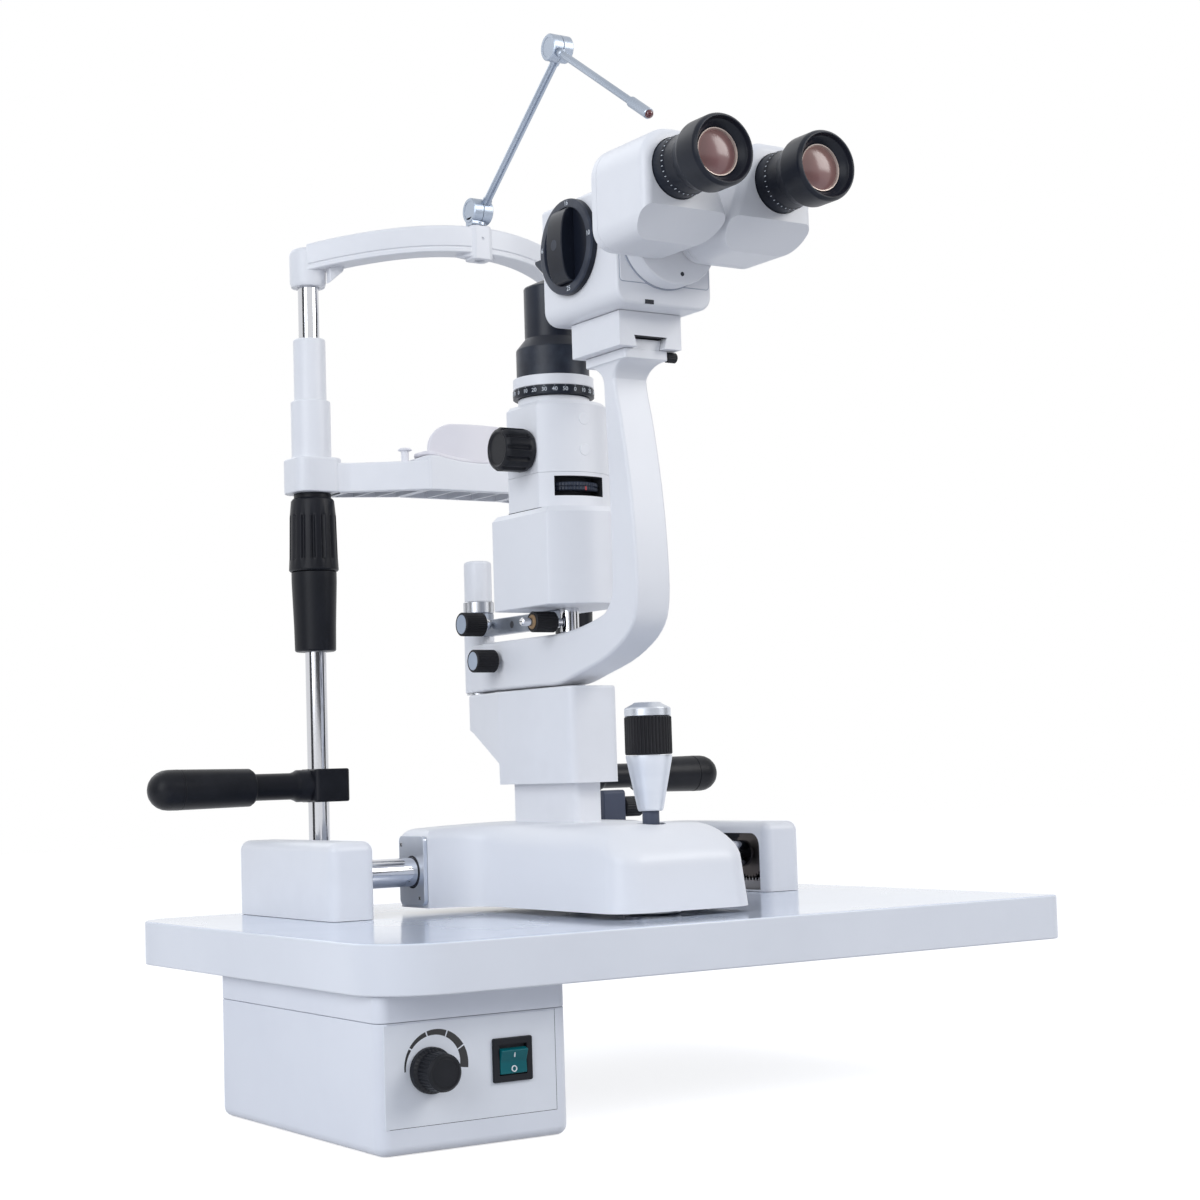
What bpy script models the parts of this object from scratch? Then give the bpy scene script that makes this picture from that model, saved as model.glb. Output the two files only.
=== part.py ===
"""Slit lamp on a table board: headrest, rolling carriage, microscope and illumination tower.

Metres, +Z up. X runs from the operator's left to right, Y towards the patient. The origin is on the
board's underside, at the centre of the seat where the table's lift column is bolted on.
"""

import math

import bmesh
import bpy
from mathutils import Euler, Matrix, Vector

# ---------------------------------------------------------------------------------------------
# Driving dimensions
# ---------------------------------------------------------------------------------------------
GAP = 0.0003            # clearance between pieces that touch or run in each other
BITE = 0.001            # how far a cutter runs past the face that it opens
SIDES = 16              # sides of a turned piece
WIDE_SIDES = 20         # sides of one whose running fit is over 15 mm in radius
BROAD_SIDES = 24        # sides of one over 24 mm
TUCK = 0.0005           # how far a joined solid stays inside its neighbour's faces

# Table board and what is fixed to it
BOARD_X = (-0.275, 0.254)
BOARD_HALF_Y = 0.1925
BOARD_THICK = 0.030
BOARD_FRONT_LEFT_R = 0.045
BOARD_BACK_LEFT_R = 0.030
BOARD_CORNER_R = 0.010
SEAT_HALF = Vector((0.090, 0.070))      # flat seat of the lift column's plate
SEAT_GROOVE = Vector((0.006, 0.002))    # width and depth of the groove around it
SEAT_BOLT_HALF = Vector((0.060, 0.045))
SEAT_BOLT_R = 0.0034
SEAT_BOLT_DEPTH = 0.018

RAIL_INNER_X = 0.165
RAIL_OUTER_X = 0.198
RAIL_FRONT_Y = 0.028
RAIL_BACK_Y = 0.182
RAIL_TOP = 0.083
RAIL_WALL = 0.003
RAIL_CORNER_R = 0.007
RACK_HALF_WIDTH = 0.0085
RACK_TOP = 0.040

# Headrest
POST_X = 0.117
POST_REACH = 0.0215     # how far the posts stand behind the board
POST_Y = BOARD_HALF_Y + POST_REACH
POST_R = 0.008
POST_FOOT = -0.004
BRACKET_HALF_X = 0.140
BRACKET_LOW = -0.008
BRACKET_TOP = 0.024
BRACKET_PLATE = 0.008
BRACKET_FOOT = 0.045    # how far the bracket's foot reaches under the board
BRACKET_BLOCK_HALF = 0.015
HANDLE_Z = 0.121
HANDLE_CLAMP_HALF_Z = 0.0125
HANDLE_CLAMP_INNER = 0.020
HANDLE_CLAMP_OUTER = 0.009
HANDLE_CLAMP_HALF_Y = 0.014
HANDLE_BOSS_R = 0.0121
HANDLE_BOSS_END = 0.1357
HANDLE_ARM_R = 0.010
HANDLE_ARM_END = 0.172
GRIP_R_IN = 0.0141
GRIP_R_OUT = 0.015
GRIP_END = 0.2533
SUPPORT_LOW = 0.2226
SUPPORT_R_LOW = 0.01565
SUPPORT_R_TOP = 0.0172
ELEVATION_LOW = 0.284
ELEVATION_TOP = 0.3437
ELEVATION_R_LOW = 0.01895
ELEVATION_R_TOP = 0.0165
LIFT_TUBE_LOW = 0.250
LIFT_TUBE_R = 0.011
CHIN_LIFT = 0.045       # travel of the chin bar
CHIN_LOW = 0.344
CHIN_TOP = 0.3708
CHIN_STEP = 0.004
CHIN_END_IN = 0.097
CHIN_END_OUT = 0.136
CHIN_END_HALF_Y = 0.018
CHIN_BLOCK_HALF = 0.045
CHIN_REACH = 0.054      # how far the chin bar bows forward from the posts
CHIN_FRONT_Y = POST_Y - CHIN_REACH
CHIN_BACK = 0.002
CHIN_BACK_Y = POST_Y - CHIN_BACK
CHIN_FLOOR = 0.006      # how far up the lift tube reaches into the end block
LOWER_SLEEVE_R = 0.0152
LOWER_SLEEVE_TOP = 0.4154
UPPER_SLEEVE_R = 0.01235
UPPER_SLEEVE_LOW = 0.400
UPPER_SLEEVE_TOP = 0.4638
CUP_HALF = 0.042        # the chin cup's tray, a saddle that is lowest in its middle
CUP_FRONT_INSET = 0.0025
CUP_BACK_INSET = 0.0165
CUP_Y = (CHIN_FRONT_Y + CUP_FRONT_INSET, CHIN_BACK_Y - CUP_BACK_INSET)
CUP_LOW = 0.3668
CUP_RISE = 0.006        # how much higher the tray's sides lie
CUP_FLOOR = 0.003
CUP_WALL = 0.0035
CUP_WALL_HALF = 0.0385
CUP_WALL_R = 0.016
CUP_TOP = 0.397
CUP_BOW = 0.008         # how far the wall curves back at its ends
CUP_STEP = 0.0008
CUP_PARTS = 8
PIN_X = 0.053
PIN_REACH = 0.032
PIN_Y = POST_Y - PIN_REACH
PIN_R = 0.003
PIN_HEAD_R = 0.0055
PIN_TOP = 0.3785
BAND_END_LOW = 0.5045
BAND_END_TOP = 0.5343
BAND_END_R = 0.014
BAND_HALF = Vector((0.010, 0.01075))    # half depth and half height of the band's section
BAND_SPAN = 0.122
BAND_BOW = 0.058        # how far the band bows towards the operator
BAND_CROWN = 0.015      # how much its middle rises
BAND_TOP = 0.5354
BAND_STEPS = 12
POST_TOP = 0.515
BOSS_HALF_X = 0.009
BOSS_REACH = 0.0695
BOSS_FRONT_Y = POST_Y - BOSS_REACH
BOSS_LOW = 0.524
BOSS_TOP = 0.551

# Fixation target: two drum joints and two thin rods
SWIVEL_REACH = 0.063
SWIVEL_Y = POST_Y - SWIVEL_REACH
SWIVEL_PIN_R = 0.004
SWIVEL_PIN_LOW = 0.533
DRUM_R = 0.010
DRUM_HALF = 0.0085
LOWER_DRUM_Z = 0.563
LOWER_ROD_REACH = 0.1224
UPPER_DRUM = Vector((0.0, SWIVEL_Y - LOWER_ROD_REACH, 0.657))
FIXATION_REACH = 0.2417
FIXATION_TIP = Vector((0.0, SWIVEL_Y - FIXATION_REACH, 0.5756))
ROD_SHIFT = 0.0032
LOWER_ROD_R = 0.0025
UPPER_ROD_R = 0.00235
TIP_R = 0.0039
TIP_LENGTH = 0.025

# Supply box under the board
SUPPLY_X = (-0.268, -0.139)
SUPPLY_Y = (-0.170, 0.057)
SUPPLY_LOW = -0.092
SUPPLY_SEAM = -0.016
SUPPLY_WALL = 0.0025
SUPPLY_CORNER_R = 0.006
PANEL_X = (-0.264, -0.149)
PANEL_LOW = -0.076
PANEL_THICK = 0.0009
BRIGHTNESS_AT = Vector((-0.2346, -0.0446))      # X and Z on the panel
BRIGHTNESS_RING_R = 0.0135
BRIGHTNESS_RING = 0.004
BRIGHTNESS_R = 0.011
BRIGHTNESS_LENGTH = 0.019
BRIGHTNESS_SHAFT_R = 0.0035
SWITCH_AT = Vector((-0.1793, -0.0435))
SWITCH_FLANGE_HALF = Vector((0.0135, 0.013))
SWITCH_BODY_HALF = Vector((0.011, 0.0105))
SWITCH_WELL_HALF = Vector((0.0095, 0.009))
SWITCH_PROUD = 0.0017
SWITCH_DEPTH = 0.020
ROCKER_HALF = Vector((0.0092, 0.0076))
ROCKER_TILT = math.radians(8.0)
COIL_HALF = Vector((0.034, 0.028))
COIL_TOP = -0.034
COIL_Y = 0.005

# Axle and carriage
AXLE_Y = 0.061
AXLE_Z = 0.059
AXLE_R = 0.010
AXLE_HALF = 0.170
SHAFT_R = 0.005
CENTRE_X = -0.024       # the carriage's middle plane, where it stands on the axle at rest
COVER_LOW = 0.034
COVER_TOP = 0.091
COVER_HALF = 0.047
COVER_FRONT_Y = -0.140
COVER_BACK_Y = 0.088
COVER_FRONT_R = 0.020
COVER_WALL = 0.003
COVER_TOP_R = 0.012
FLARE_START_Y = 0.010
WING_FRONT_Y = 0.044
WING_HALF = 0.096
END_PLATE = 0.003
END_PLATE_BACK_Y = 0.080
END_PLATE_TOP = 0.084
BASE_LOW = 0.036
BASE_TOP = 0.042
FOOT_R = 0.018
COLUMN_HALF = 0.011
COLUMN_Y = (-0.022, 0.064)
COLUMN_TOP = 0.150
COLUMN_HEEL = 0.072     # the column's rear steps up to this height to pass over the axle
COLUMN_HEEL_Y = 0.0455
LOCK_BRACKET_X = (0.038, 0.057)
LOCK_BRACKET_HALF_Y = 0.006
LOCK_BRACKET_TOP = 0.111
LOCK_KNOB_R = 0.0075
LOCK_KNOB_Z = 0.0985
LOCK_KNOB_X = (0.0573, 0.073)
LOCK_SCREW_R = 0.003
LOCK_SCREW_IN = 0.012

# Joystick
STICK_Y = -0.0966
STICK_PIVOT_Z = 0.080
STICK_BALL_R = 0.0077
STICK_R = 0.00565
STICK_HOLE_R = 0.0092
STICK_CONE = (0.0978, 0.1349)
STICK_CONE_R = (0.0083, 0.0155)
STICK_CORE_R = 0.008
STICK_GRIP_TOP = 0.1606
STICK_GRIP_R = 0.0158
STICK_CAP_TOP = 0.1702
STICK_CAP_R = 0.00935
STICK_TAIL_Z = 0.056
SOCKET_R = (0.0125, 0.0150)
GIMBAL_R = (0.008, 0.010)
GIMBAL_HALF = 0.002
GIMBAL_PIN_R = 0.0012

# Column head and pivot
HEAD_HALF = 0.020
HEAD_Y = (-0.032, 0.066)
HEAD_LOW = 0.1177
HEAD_TOP = 0.1846
HEAD_REAR_LOW = 0.1326
HEAD_TONGUE = (0.114, 0.158)            # where the slanted underside ends
HEAD_CAVITY_TOP = 0.170
PIVOT_Y = 0.125
PIVOT_R = 0.006
PIVOT_BOSS_R = 0.011
PIVOT_SEAT = 0.164
WASHER_R = 0.0105
HUB_R = 0.01125
SCOPE_HUB = (0.1865, 0.2317)
LAMP_HUB = (0.232, 0.2457)
PIVOT_RING_R = 0.0115
PIVOT_RING_TOP = 0.255
PIVOT_CAP_R = 0.01035
PIVOT_CAP_TOP = 0.2855

# Microscope
ARM_HALF = 0.014
ARM_EDGE = 0.003
ARM_OUTER = [(-0.021, 0.187), (-0.032, 0.193), (-0.070, 0.202), (-0.104, 0.218), (-0.110, 0.237),
             (-0.108, 0.276), (-0.104, 0.316), (-0.0945, 0.357), (-0.089, 0.383), (-0.090, 0.4005)]
ARM_INNER = [(-0.076, 0.4005), (-0.076, 0.383), (-0.078, 0.300), (-0.079, 0.245), (-0.076, 0.236),
             (-0.064, 0.2306), (-0.038, 0.225), (-0.012, 0.2215)]
ARM_SHOULDER = 0.2218
ARM_TAPER_Y = 0.090
ARM_PLATE_HALF = 0.0175
ARM_PLATE_Y = (-0.1096, -0.060)
ARM_PLATE_Z = (0.399, 0.406)
TAIL_HALF = (0.0105, 0.0125)            # dovetail half widths at its foot and its top
TAIL_TOP = 0.4135
MOUNT_HALF = 0.025
MOUNT_Y = (-0.115, -0.056)
MOUNT_TOP = 0.430
BODY_HALF = 0.038
BODY_Y = (-0.1338, -0.041)
BODY_TOP = 0.511
BODY_CHAMFER = 0.008
OPTIC_Z = 0.478
OPTIC_R = 0.009
OPTIC_HALF = 0.012
FLANGE_R = 0.034
FLANGE_Z = 0.476
FLANGE_Y = -0.1482
FLANGE_EDGE = 0.002
OBJECTIVE_R = 0.020
OBJECTIVE_Y = (-0.0508, -0.036)
DRUM_CENTRE_Y = -0.0795
CHANGER_CAVITY_R = 0.028
CHANGER_CAVITY_END = 0.033
CHANGER_R = 0.027
CHANGER_END = 0.032
DIAL_R = 0.0325
DIAL_THICK = 0.005
DIAL_BAR_HALF = Vector((0.008, 0.024))
DIAL_BAR_OUT = 0.009
ARM_KNOB = Vector((-0.059, 0.075, 0.2075))
ARM_KNOB_R = 0.0083
ARM_KNOB_LENGTH = 0.018
TAIL_KNOB_R = 0.0035
TAIL_KNOB_LENGTH = 0.0082
TAIL_KNOB_INSET = 0.003

# Prism housings and eyepieces
HINGE_HALF = 0.012      # the two swing axes stand this far from the middle plane
HINGE_Z = 0.476
PRISM_Y = (-0.200, -0.1485)
PRISM_Z = (0.4575, 0.526)
PRISM_IN = 0.0015
PRISM_OUT = 0.066
PRISM_LEAN = math.radians(20.0)
PRISM_CHAMFER = (0.484, -0.171)
EYE_HALF = 0.040
EYE_Z = 0.500
BARREL_R = 0.0152
BARREL_END_Y = -0.240
EYE_PROFILE = [(0.0195, 0.0003), (0.0195, 0.014), (0.0185, 0.0145), (0.0185, 0.037),
               (0.0228, 0.0395), (0.0228, 0.057)]
EYE_RIM_R = 0.0212
EYE_LENGTH = 0.059
EYE_LENS_R = 0.014
EYE_RECESS = 0.009

# Illumination
LAMP_ARM_HALF = 0.004
LAMP_ARM_Z = (0.228, 0.240)
LAMP_SHAFT_Y = -0.0027
LAMP_SHAFT_R = 0.0067
LAMP_SHAFT_Z = (0.223, 0.250)
LAMP_ARM_HOLE_Y = 0.070
LAMP_ARM_HOLE_R = 0.003
LAMP_KNOB_Y = 0.0994
LAMP_KNOB_Z = 0.236
LAMP_KNOB_R = 0.00875
LAMP_KNOB_X = (-0.054, -0.036)
CENTRING_Z = 0.2304
CENTRING_R = 0.0073
CENTRING_X = (-0.055, -0.037)
CENTRING_TIP = 0.009
TOWER_Y = 0.0096
HOUSING_Z = (0.2403, 0.3084)
HOUSING_R = 0.056
HOUSING_HALF = 0.036
HOUSING_BACK = 0.0332
HOUSING_SHOULDER = 0.006
HOUSING_FLOOR = 0.254
HOUSING_WALL = 0.003
HOUSING_MOUTH_R = 0.022
BULB_R = 0.009
BULB_TOP = 0.296
SLIT_Z = (0.3087, 0.385)
SLIT_R = 0.0385
SLIT_HALF = 0.030
SLIT_BACK = 0.0184
SLIT_NECK_R = 0.0255
SLIT_NECK_TOP = 0.3904
LIGHT_R = 0.013
CHAMBER_R = 0.020
CHAMBER_LOW = 0.346
WHEEL_Y = -0.006
WHEEL_R = 0.0215
WHEEL_Z = (0.3212, 0.3272)
WINDOW_X = (-0.0215, 0.0165)     # from the middle plane
WINDOW_Z = (0.3171, 0.331)
WINDOW_DEPTH = 0.011
FILTER_R = 0.005
FILTER_RADIUS = 0.0145
JAW = Vector((0.011, 0.007, 0.0014))
SLIT_KNOB = Vector((-0.078, 0.0, 0.351))
SLIT_KNOB_R = 0.0154
SLIT_SHAFT_R = 0.003
SCALE_R = 0.029
SCALE_TOP = 0.397
CONE_BAND_R = 0.0288
CONE_BAND_TOP = 0.405
CONE_R = 0.026
CONE_TOP = 0.426
NECK_R = 0.0194
NECK_Z = (0.434, 0.474)
MIRROR_HALF = 0.007
MIRROR_Y = (-0.002, 0.0186)
MIRROR_TOP = 0.492
MIRROR_SCREW_R = 0.003

# ---------------------------------------------------------------------------------------------
# Scene, materials and modelling helpers
# ---------------------------------------------------------------------------------------------
for old in list(bpy.data.objects):
    bpy.data.objects.remove(old, do_unlink=True)

PARTS = bpy.data.collections.new("slit_lamp")
CUTTERS = bpy.data.collections.new("cutters")
for group in (PARTS, CUTTERS):
    bpy.context.scene.collection.children.link(group)

TURN = {
    "z": Euler((0.0, 0.0, 0.0)),
    "x": Euler((0.0, math.pi / 2, 0.0)),
    "-x": Euler((0.0, -math.pi / 2, 0.0)),
    "y": Euler((-math.pi / 2, 0.0, 0.0)),
    "-y": Euler((math.pi / 2, 0.0, 0.0)),
}
# The plane of a flat outline: X and Y seen from above, Y and Z for "x", X and Z for "y".
LAY = {
    "z": Matrix(((1, 0, 0), (0, 1, 0), (0, 0, 1))),
    "x": Matrix(((0, 0, 1), (1, 0, 0), (0, 1, 0))),
    "y": Matrix(((1, 0, 0), (0, 0, -1), (0, 1, 0))),
}


def material(name, colour, roughness, metallic=0.0):
    made = bpy.data.materials.new(name)
    made.use_nodes = True
    shader = made.node_tree.nodes["Principled BSDF"]
    shader.inputs["Base Color"].default_value = (*colour, 1.0)
    shader.inputs["Roughness"].default_value = roughness
    shader.inputs["Metallic"].default_value = metallic
    return made


WHITE_PAINT = material("white_paint", (0.86, 0.87, 0.88), 0.45)
WHITE_LAMINATE = material("white_laminate", (0.82, 0.84, 0.86), 0.18)
WHITE_PLASTIC = material("white_plastic", (0.88, 0.86, 0.84), 0.40)
BLACK_PLASTIC = material("black_plastic", (0.02, 0.02, 0.022), 0.38)
BLACK_ANODISED = material("black_anodised", (0.03, 0.03, 0.033), 0.30, 0.6)
CHROME = material("chrome", (0.80, 0.80, 0.82), 0.10, 1.0)
SATIN_STEEL = material("satin_steel", (0.62, 0.63, 0.65), 0.32, 1.0)
GREY_PAINT = material("grey_paint", (0.45, 0.48, 0.52), 0.40)
TEAL_PLASTIC = material("teal_plastic", (0.02, 0.30, 0.30), 0.20)
DARK_GLASS = material("dark_glass", (0.05, 0.04, 0.06), 0.05)


def place(name, data, at=(0.0, 0.0, 0.0), turn=None, group=CUTTERS):
    made = bpy.data.objects.new(name, data)
    made.location = at
    if turn is not None:
        made.rotation_euler = turn
    group.objects.link(made)
    bpy.context.view_layer.update()
    return made


def evaluated_mesh(source):
    """The mesh that an object's modifiers or curve settings give."""
    graph = bpy.context.evaluated_depsgraph_get()
    return bpy.data.meshes.new_from_object(source.evaluated_get(graph), depsgraph=graph)


def from_curve(curve_object):
    """Turn a curve into a mesh with its caps welded on."""
    mesh = evaluated_mesh(curve_object)
    shape = bmesh.new()
    shape.from_mesh(mesh)
    bmesh.ops.remove_doubles(shape, verts=shape.verts, dist=1e-6)
    bmesh.ops.dissolve_limit(shape, angle_limit=0.01, verts=shape.verts, edges=shape.edges)
    bmesh.ops.recalc_face_normals(shape, faces=shape.faces)
    shape.to_mesh(mesh)
    shape.free()
    made = place(curve_object.name, mesh)
    made.matrix_world = curve_object.matrix_world.copy()
    bpy.data.objects.remove(curve_object, do_unlink=True)
    bpy.context.view_layer.update()
    return made


def rounded(corners, step=math.radians(22.5)):
    """An outline from corners (u, v, radius), each round one as an arc."""
    points = []
    count = len(corners)
    for index, (u, v, radius) in enumerate(corners):
        corner = Vector((u, v))
        if radius <= 0.0:
            points.append(corner)
            continue
        before = Vector(corners[index - 1][:2]) - corner
        after = Vector(corners[(index + 1) % count][:2]) - corner
        before.normalize()
        after.normalize()
        half = before.angle(after) / 2
        centre = corner + (before + after).normalized() * radius / math.sin(half)
        start = corner + before * radius / math.tan(half) - centre
        end = corner + after * radius / math.tan(half) - centre
        sweep = start.angle_signed(end)
        steps = max(1, round(abs(sweep) / step))
        for turn in range(steps + 1):
            angle = -sweep * turn / steps
            points.append(centre + Matrix.Rotation(angle, 2) @ start)
    return points


def slab(name, outlines, axis, low, high, rims=(0.0, 0.0), steps=1):
    """Flat outlines in the plane across an axis, filled from low to high, with rounded rims."""
    curve = bpy.data.curves.new(name, "CURVE")
    curve.dimensions = "2D"
    curve.fill_mode = "BOTH"
    curve.extrude = (high - low) / 2
    for outline in outlines:
        spline = curve.splines.new("POLY")
        spline.points.add(len(outline) - 1)
        for point, (u, v) in zip(spline.points, outline):
            point.co = (u, v, 0.0, 1.0)
        spline.use_cyclic_u = True
    middle = (low + high) / 2
    lay = LAY[axis]
    shift = -middle if axis == "y" else middle
    made = place(name, curve, lay @ Vector((0.0, 0.0, shift)), lay.to_euler())
    made = from_curve(made)
    # Along "y" the slab's own Z runs against the axis, so its low rim is on top.
    ends = (1, -1) if axis == "y" else (-1, 1)
    shape = bmesh.new()
    shape.from_mesh(made.data)
    for end, width in zip(ends, rims):
        if width > 0.0:
            level = end * (high - low) / 2
            rim = [
                edge for edge in shape.edges
                if all(abs(vert.co.z - level) < 1e-6 for vert in edge.verts)
            ]
            bmesh.ops.bevel(shape, geom=rim, offset=width, segments=steps, profile=0.5,
                            affect="EDGES", clamp_overlap=True, material=-1)
    shape.to_mesh(made.data)
    shape.free()
    return made


def box(name, low, high, corner=0.0, rims=(0.0, 0.0), axis="z", steps=1):
    """A box between two points, with round corners about an axis and rounded rims."""
    u, v, w = {"z": (0, 1, 2), "x": (1, 2, 0), "y": (0, 2, 1)}[axis]
    outline = rounded([
        (low[u], low[v], corner), (high[u], low[v], corner),
        (high[u], high[v], corner), (low[u], high[v], corner),
    ], math.radians(30.0))
    return slab(name, [outline], axis, low[w], high[w], rims, steps)


def turned(name, profile, at, axis="z", sides=SIDES, phase=0.0):
    """A profile of (radius, height) from top to bottom down its outer side, turned about an axis."""
    mesh = bpy.data.meshes.new(name)
    points = [(radius, 0.0, height) for radius, height in profile]
    edges = [(index, index + 1) for index in range(len(points) - 1)]
    if profile[0][0] > 0.0:
        edges.append((len(points) - 1, 0))
    mesh.from_pydata(points, edges, [])
    turn = TURN[axis].to_matrix() @ Matrix.Rotation(phase, 3, "Z")
    made = place(name, mesh, at, turn.to_euler())
    screw = made.modifiers.new("turn", "SCREW")
    screw.steps = sides
    screw.render_steps = sides
    screw.use_merge_vertices = True
    screw.merge_threshold = 1e-5
    bpy.context.view_layer.update()
    return made


def rod(name, radius, low, high, at, axis="z", sides=SIDES, phase=0.0):
    """A cylinder along an axis, from low to high on that axis, through a point."""
    along = {"x": 0, "y": 1, "z": 2}[axis]
    centre = Vector(at)
    centre[along] = (low + high) / 2
    half = (high - low) / 2
    return turned(name, [(0.0, half), (radius, half), (radius, -half), (0.0, -half)],
                  centre, axis, sides, phase)


def drill(name, radius, low, high, at, axis="z", sides=SIDES):
    """A cutter like a rod, whose corners lie between those of the piece around it."""
    return rod(name, radius, low, high, at, axis, sides, math.pi / sides)


def tube_between(name, start, end, radius, resolution=2):
    """A straight round bar between two points."""
    curve = bpy.data.curves.new(name, "CURVE")
    curve.dimensions = "3D"
    curve.bevel_depth = radius
    curve.bevel_resolution = resolution
    curve.use_fill_caps = True
    spline = curve.splines.new("POLY")
    spline.points.add(1)
    spline.points[0].co = (*start, 1.0)
    spline.points[1].co = (*end, 1.0)
    return from_curve(place(name, curve))


def combine(target, tool, operation):
    change = target.modifiers.new(operation.lower(), "BOOLEAN")
    change.operation = operation
    change.solver = "EXACT"
    change.object = tool
    tool.hide_render = True
    tool.display_type = "WIRE"


def cut(target, *tools):
    for tool in tools:
        combine(target, tool, "DIFFERENCE")
    return target


def join(target, *tools):
    for tool in tools:
        combine(target, tool, "UNION")
    return target


def common(target, tool):
    combine(target, tool, "INTERSECT")
    return target


def finish(made, name, look, carrier=None):
    """Name a part, give it its material, shade it and hang it on its joint's empty."""
    mesh = evaluated_mesh(made)
    made.modifiers.clear()
    made.data = mesh
    made.name = name
    mesh.name = name
    mesh.materials.clear()
    mesh.materials.append(look)
    mesh.shade_smooth()
    mesh.set_sharp_from_angle(angle=math.radians(35.0))
    CUTTERS.objects.unlink(made)
    PARTS.objects.link(made)
    if carrier is not None:
        made.parent = carrier
        made.matrix_parent_inverse = carrier.matrix_world.inverted()
    return made


def pivot(name, at, carrier=None):
    """An empty on a joint's axis, hung on the empty of the body that carries it."""
    made = place(name, None, at, group=PARTS)
    made.empty_display_size = 0.01
    if carrier is not None:
        made.parent = carrier
        made.matrix_parent_inverse = carrier.matrix_world.inverted()
    bpy.context.view_layer.update()
    return made


def across(u, v):
    """A point of the carriage, given from its own middle plane."""
    return (CENTRE_X + u, v)


def mirrored(outline):
    """The outline's mirror image in X, run the other way round."""
    return [Vector((-point[0], point[1])) for point in reversed(outline)]


SIDE_NAMES = ((-1, "left"), (1, "right"))


# ---------------------------------------------------------------------------------------------
# Table board, rail covers and racks
# ---------------------------------------------------------------------------------------------
def build_board():
    left, right = BOARD_X
    outline = rounded([
        (left, -BOARD_HALF_Y, BOARD_FRONT_LEFT_R), (right, -BOARD_HALF_Y, BOARD_CORNER_R),
        (right, BOARD_HALF_Y, BOARD_CORNER_R), (left, BOARD_HALF_Y, BOARD_BACK_LEFT_R),
    ], math.radians(15.0))
    board = slab("board", [outline], "z", 0.0, BOARD_THICK, (0.0015, 0.0015))
    width, depth = SEAT_GROOVE
    seat = Vector((*SEAT_HALF, depth))
    rim = seat + Vector((width, width, 0.0))
    groove = box("groove", (-rim.x, -rim.y, -BITE), rim)
    island = box("island", (-seat.x, -seat.y, -2 * BITE), seat + Vector((0.0, 0.0, BITE)))
    cut(board, cut(groove, island))
    for x in (-SEAT_BOLT_HALF.x, SEAT_BOLT_HALF.x):
        for y in (-SEAT_BOLT_HALF.y, SEAT_BOLT_HALF.y):
            cut(board, drill("bolt_hole", SEAT_BOLT_R, -BITE, SEAT_BOLT_DEPTH, (x, y, 0.0), sides=12))
    finish(board, "table_board", WHITE_LAMINATE)


def build_rail(side, name):
    def spread(inner, outer):
        return sorted((side * inner, side * outer))

    low_z = BOARD_THICK + GAP
    left, right = spread(RAIL_INNER_X, RAIL_OUTER_X)
    cover = box("cover", (left, RAIL_FRONT_Y, low_z), (right, RAIL_BACK_Y, RAIL_TOP),
                RAIL_CORNER_R, (0.0, RAIL_CORNER_R), steps=2)
    left, right = spread(RAIL_INNER_X + RAIL_WALL, RAIL_OUTER_X - RAIL_WALL)
    front = RAIL_FRONT_Y + RAIL_WALL
    back = RAIL_BACK_Y - RAIL_WALL
    inside = box("inside", (left, front, BOARD_THICK - BITE), (right, back, RAIL_TOP - RAIL_WALL))
    left, right = spread(RAIL_INNER_X - BITE, RAIL_INNER_X + RAIL_WALL + BITE)
    arch_top = RAIL_TOP - 2 * RAIL_WALL
    arch = box("arch", (left, front + RAIL_WALL, 0.0), (right, back - RAIL_WALL, arch_top),
               0.010, axis="x")
    cut(cover, inside, arch)
    finish(cover, name + "_rail_cover", WHITE_PAINT)

    middle = side * (RAIL_INNER_X + RAIL_OUTER_X) / 2
    rack = box("rack", (middle - RACK_HALF_WIDTH, front + GAP, low_z),
               (middle + RACK_HALF_WIDTH, back - GAP, RACK_TOP))
    finish(rack, name + "_rack", SATIN_STEEL)


# ---------------------------------------------------------------------------------------------
# Headrest
# ---------------------------------------------------------------------------------------------
def build_bracket():
    front = BOARD_HALF_Y + GAP
    plate_back = front + BRACKET_PLATE
    bracket = box("plate", (-BRACKET_HALF_X, front, BRACKET_LOW),
                  (BRACKET_HALF_X, plate_back, BRACKET_TOP), 0.003, axis="y")
    foot = box("foot", (-BRACKET_HALF_X, front - BRACKET_FOOT, BRACKET_LOW),
               (BRACKET_HALF_X, front + BITE, -GAP))
    join(bracket, foot)
    for side, _ in SIDE_NAMES:
        x = side * POST_X
        block = box("block", (x - BRACKET_BLOCK_HALF, front + BITE, BRACKET_LOW),
                    (x + BRACKET_BLOCK_HALF, POST_Y + BRACKET_BLOCK_HALF, BRACKET_TOP), 0.006)
        join(bracket, block)
        cut(bracket, drill("bore", POST_R + GAP, POST_FOOT - GAP, BRACKET_TOP + BITE, (x, POST_Y, 0.0)))
    finish(bracket, "headrest_bracket", SATIN_STEEL)


def build_post(side, name):
    at = (side * POST_X, POST_Y, 0.0)
    profile = [
        (0.0, POST_TOP), (POST_R, POST_TOP), (POST_R, UPPER_SLEEVE_TOP),
        (UPPER_SLEEVE_R - 0.002, UPPER_SLEEVE_TOP), (UPPER_SLEEVE_R, UPPER_SLEEVE_TOP - 0.002),
        (UPPER_SLEEVE_R, UPPER_SLEEVE_LOW), (POST_R, UPPER_SLEEVE_LOW),
    ]
    if side > 0:
        profile += [
            (POST_R, ELEVATION_TOP), (ELEVATION_R_TOP, ELEVATION_TOP), (ELEVATION_R_TOP, SUPPORT_LOW),
            (POST_R, SUPPORT_LOW),
        ]
    profile += [(POST_R, POST_FOOT), (0.0, POST_FOOT)]
    finish(turned("post", profile, at), name + "_post", CHROME)


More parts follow.
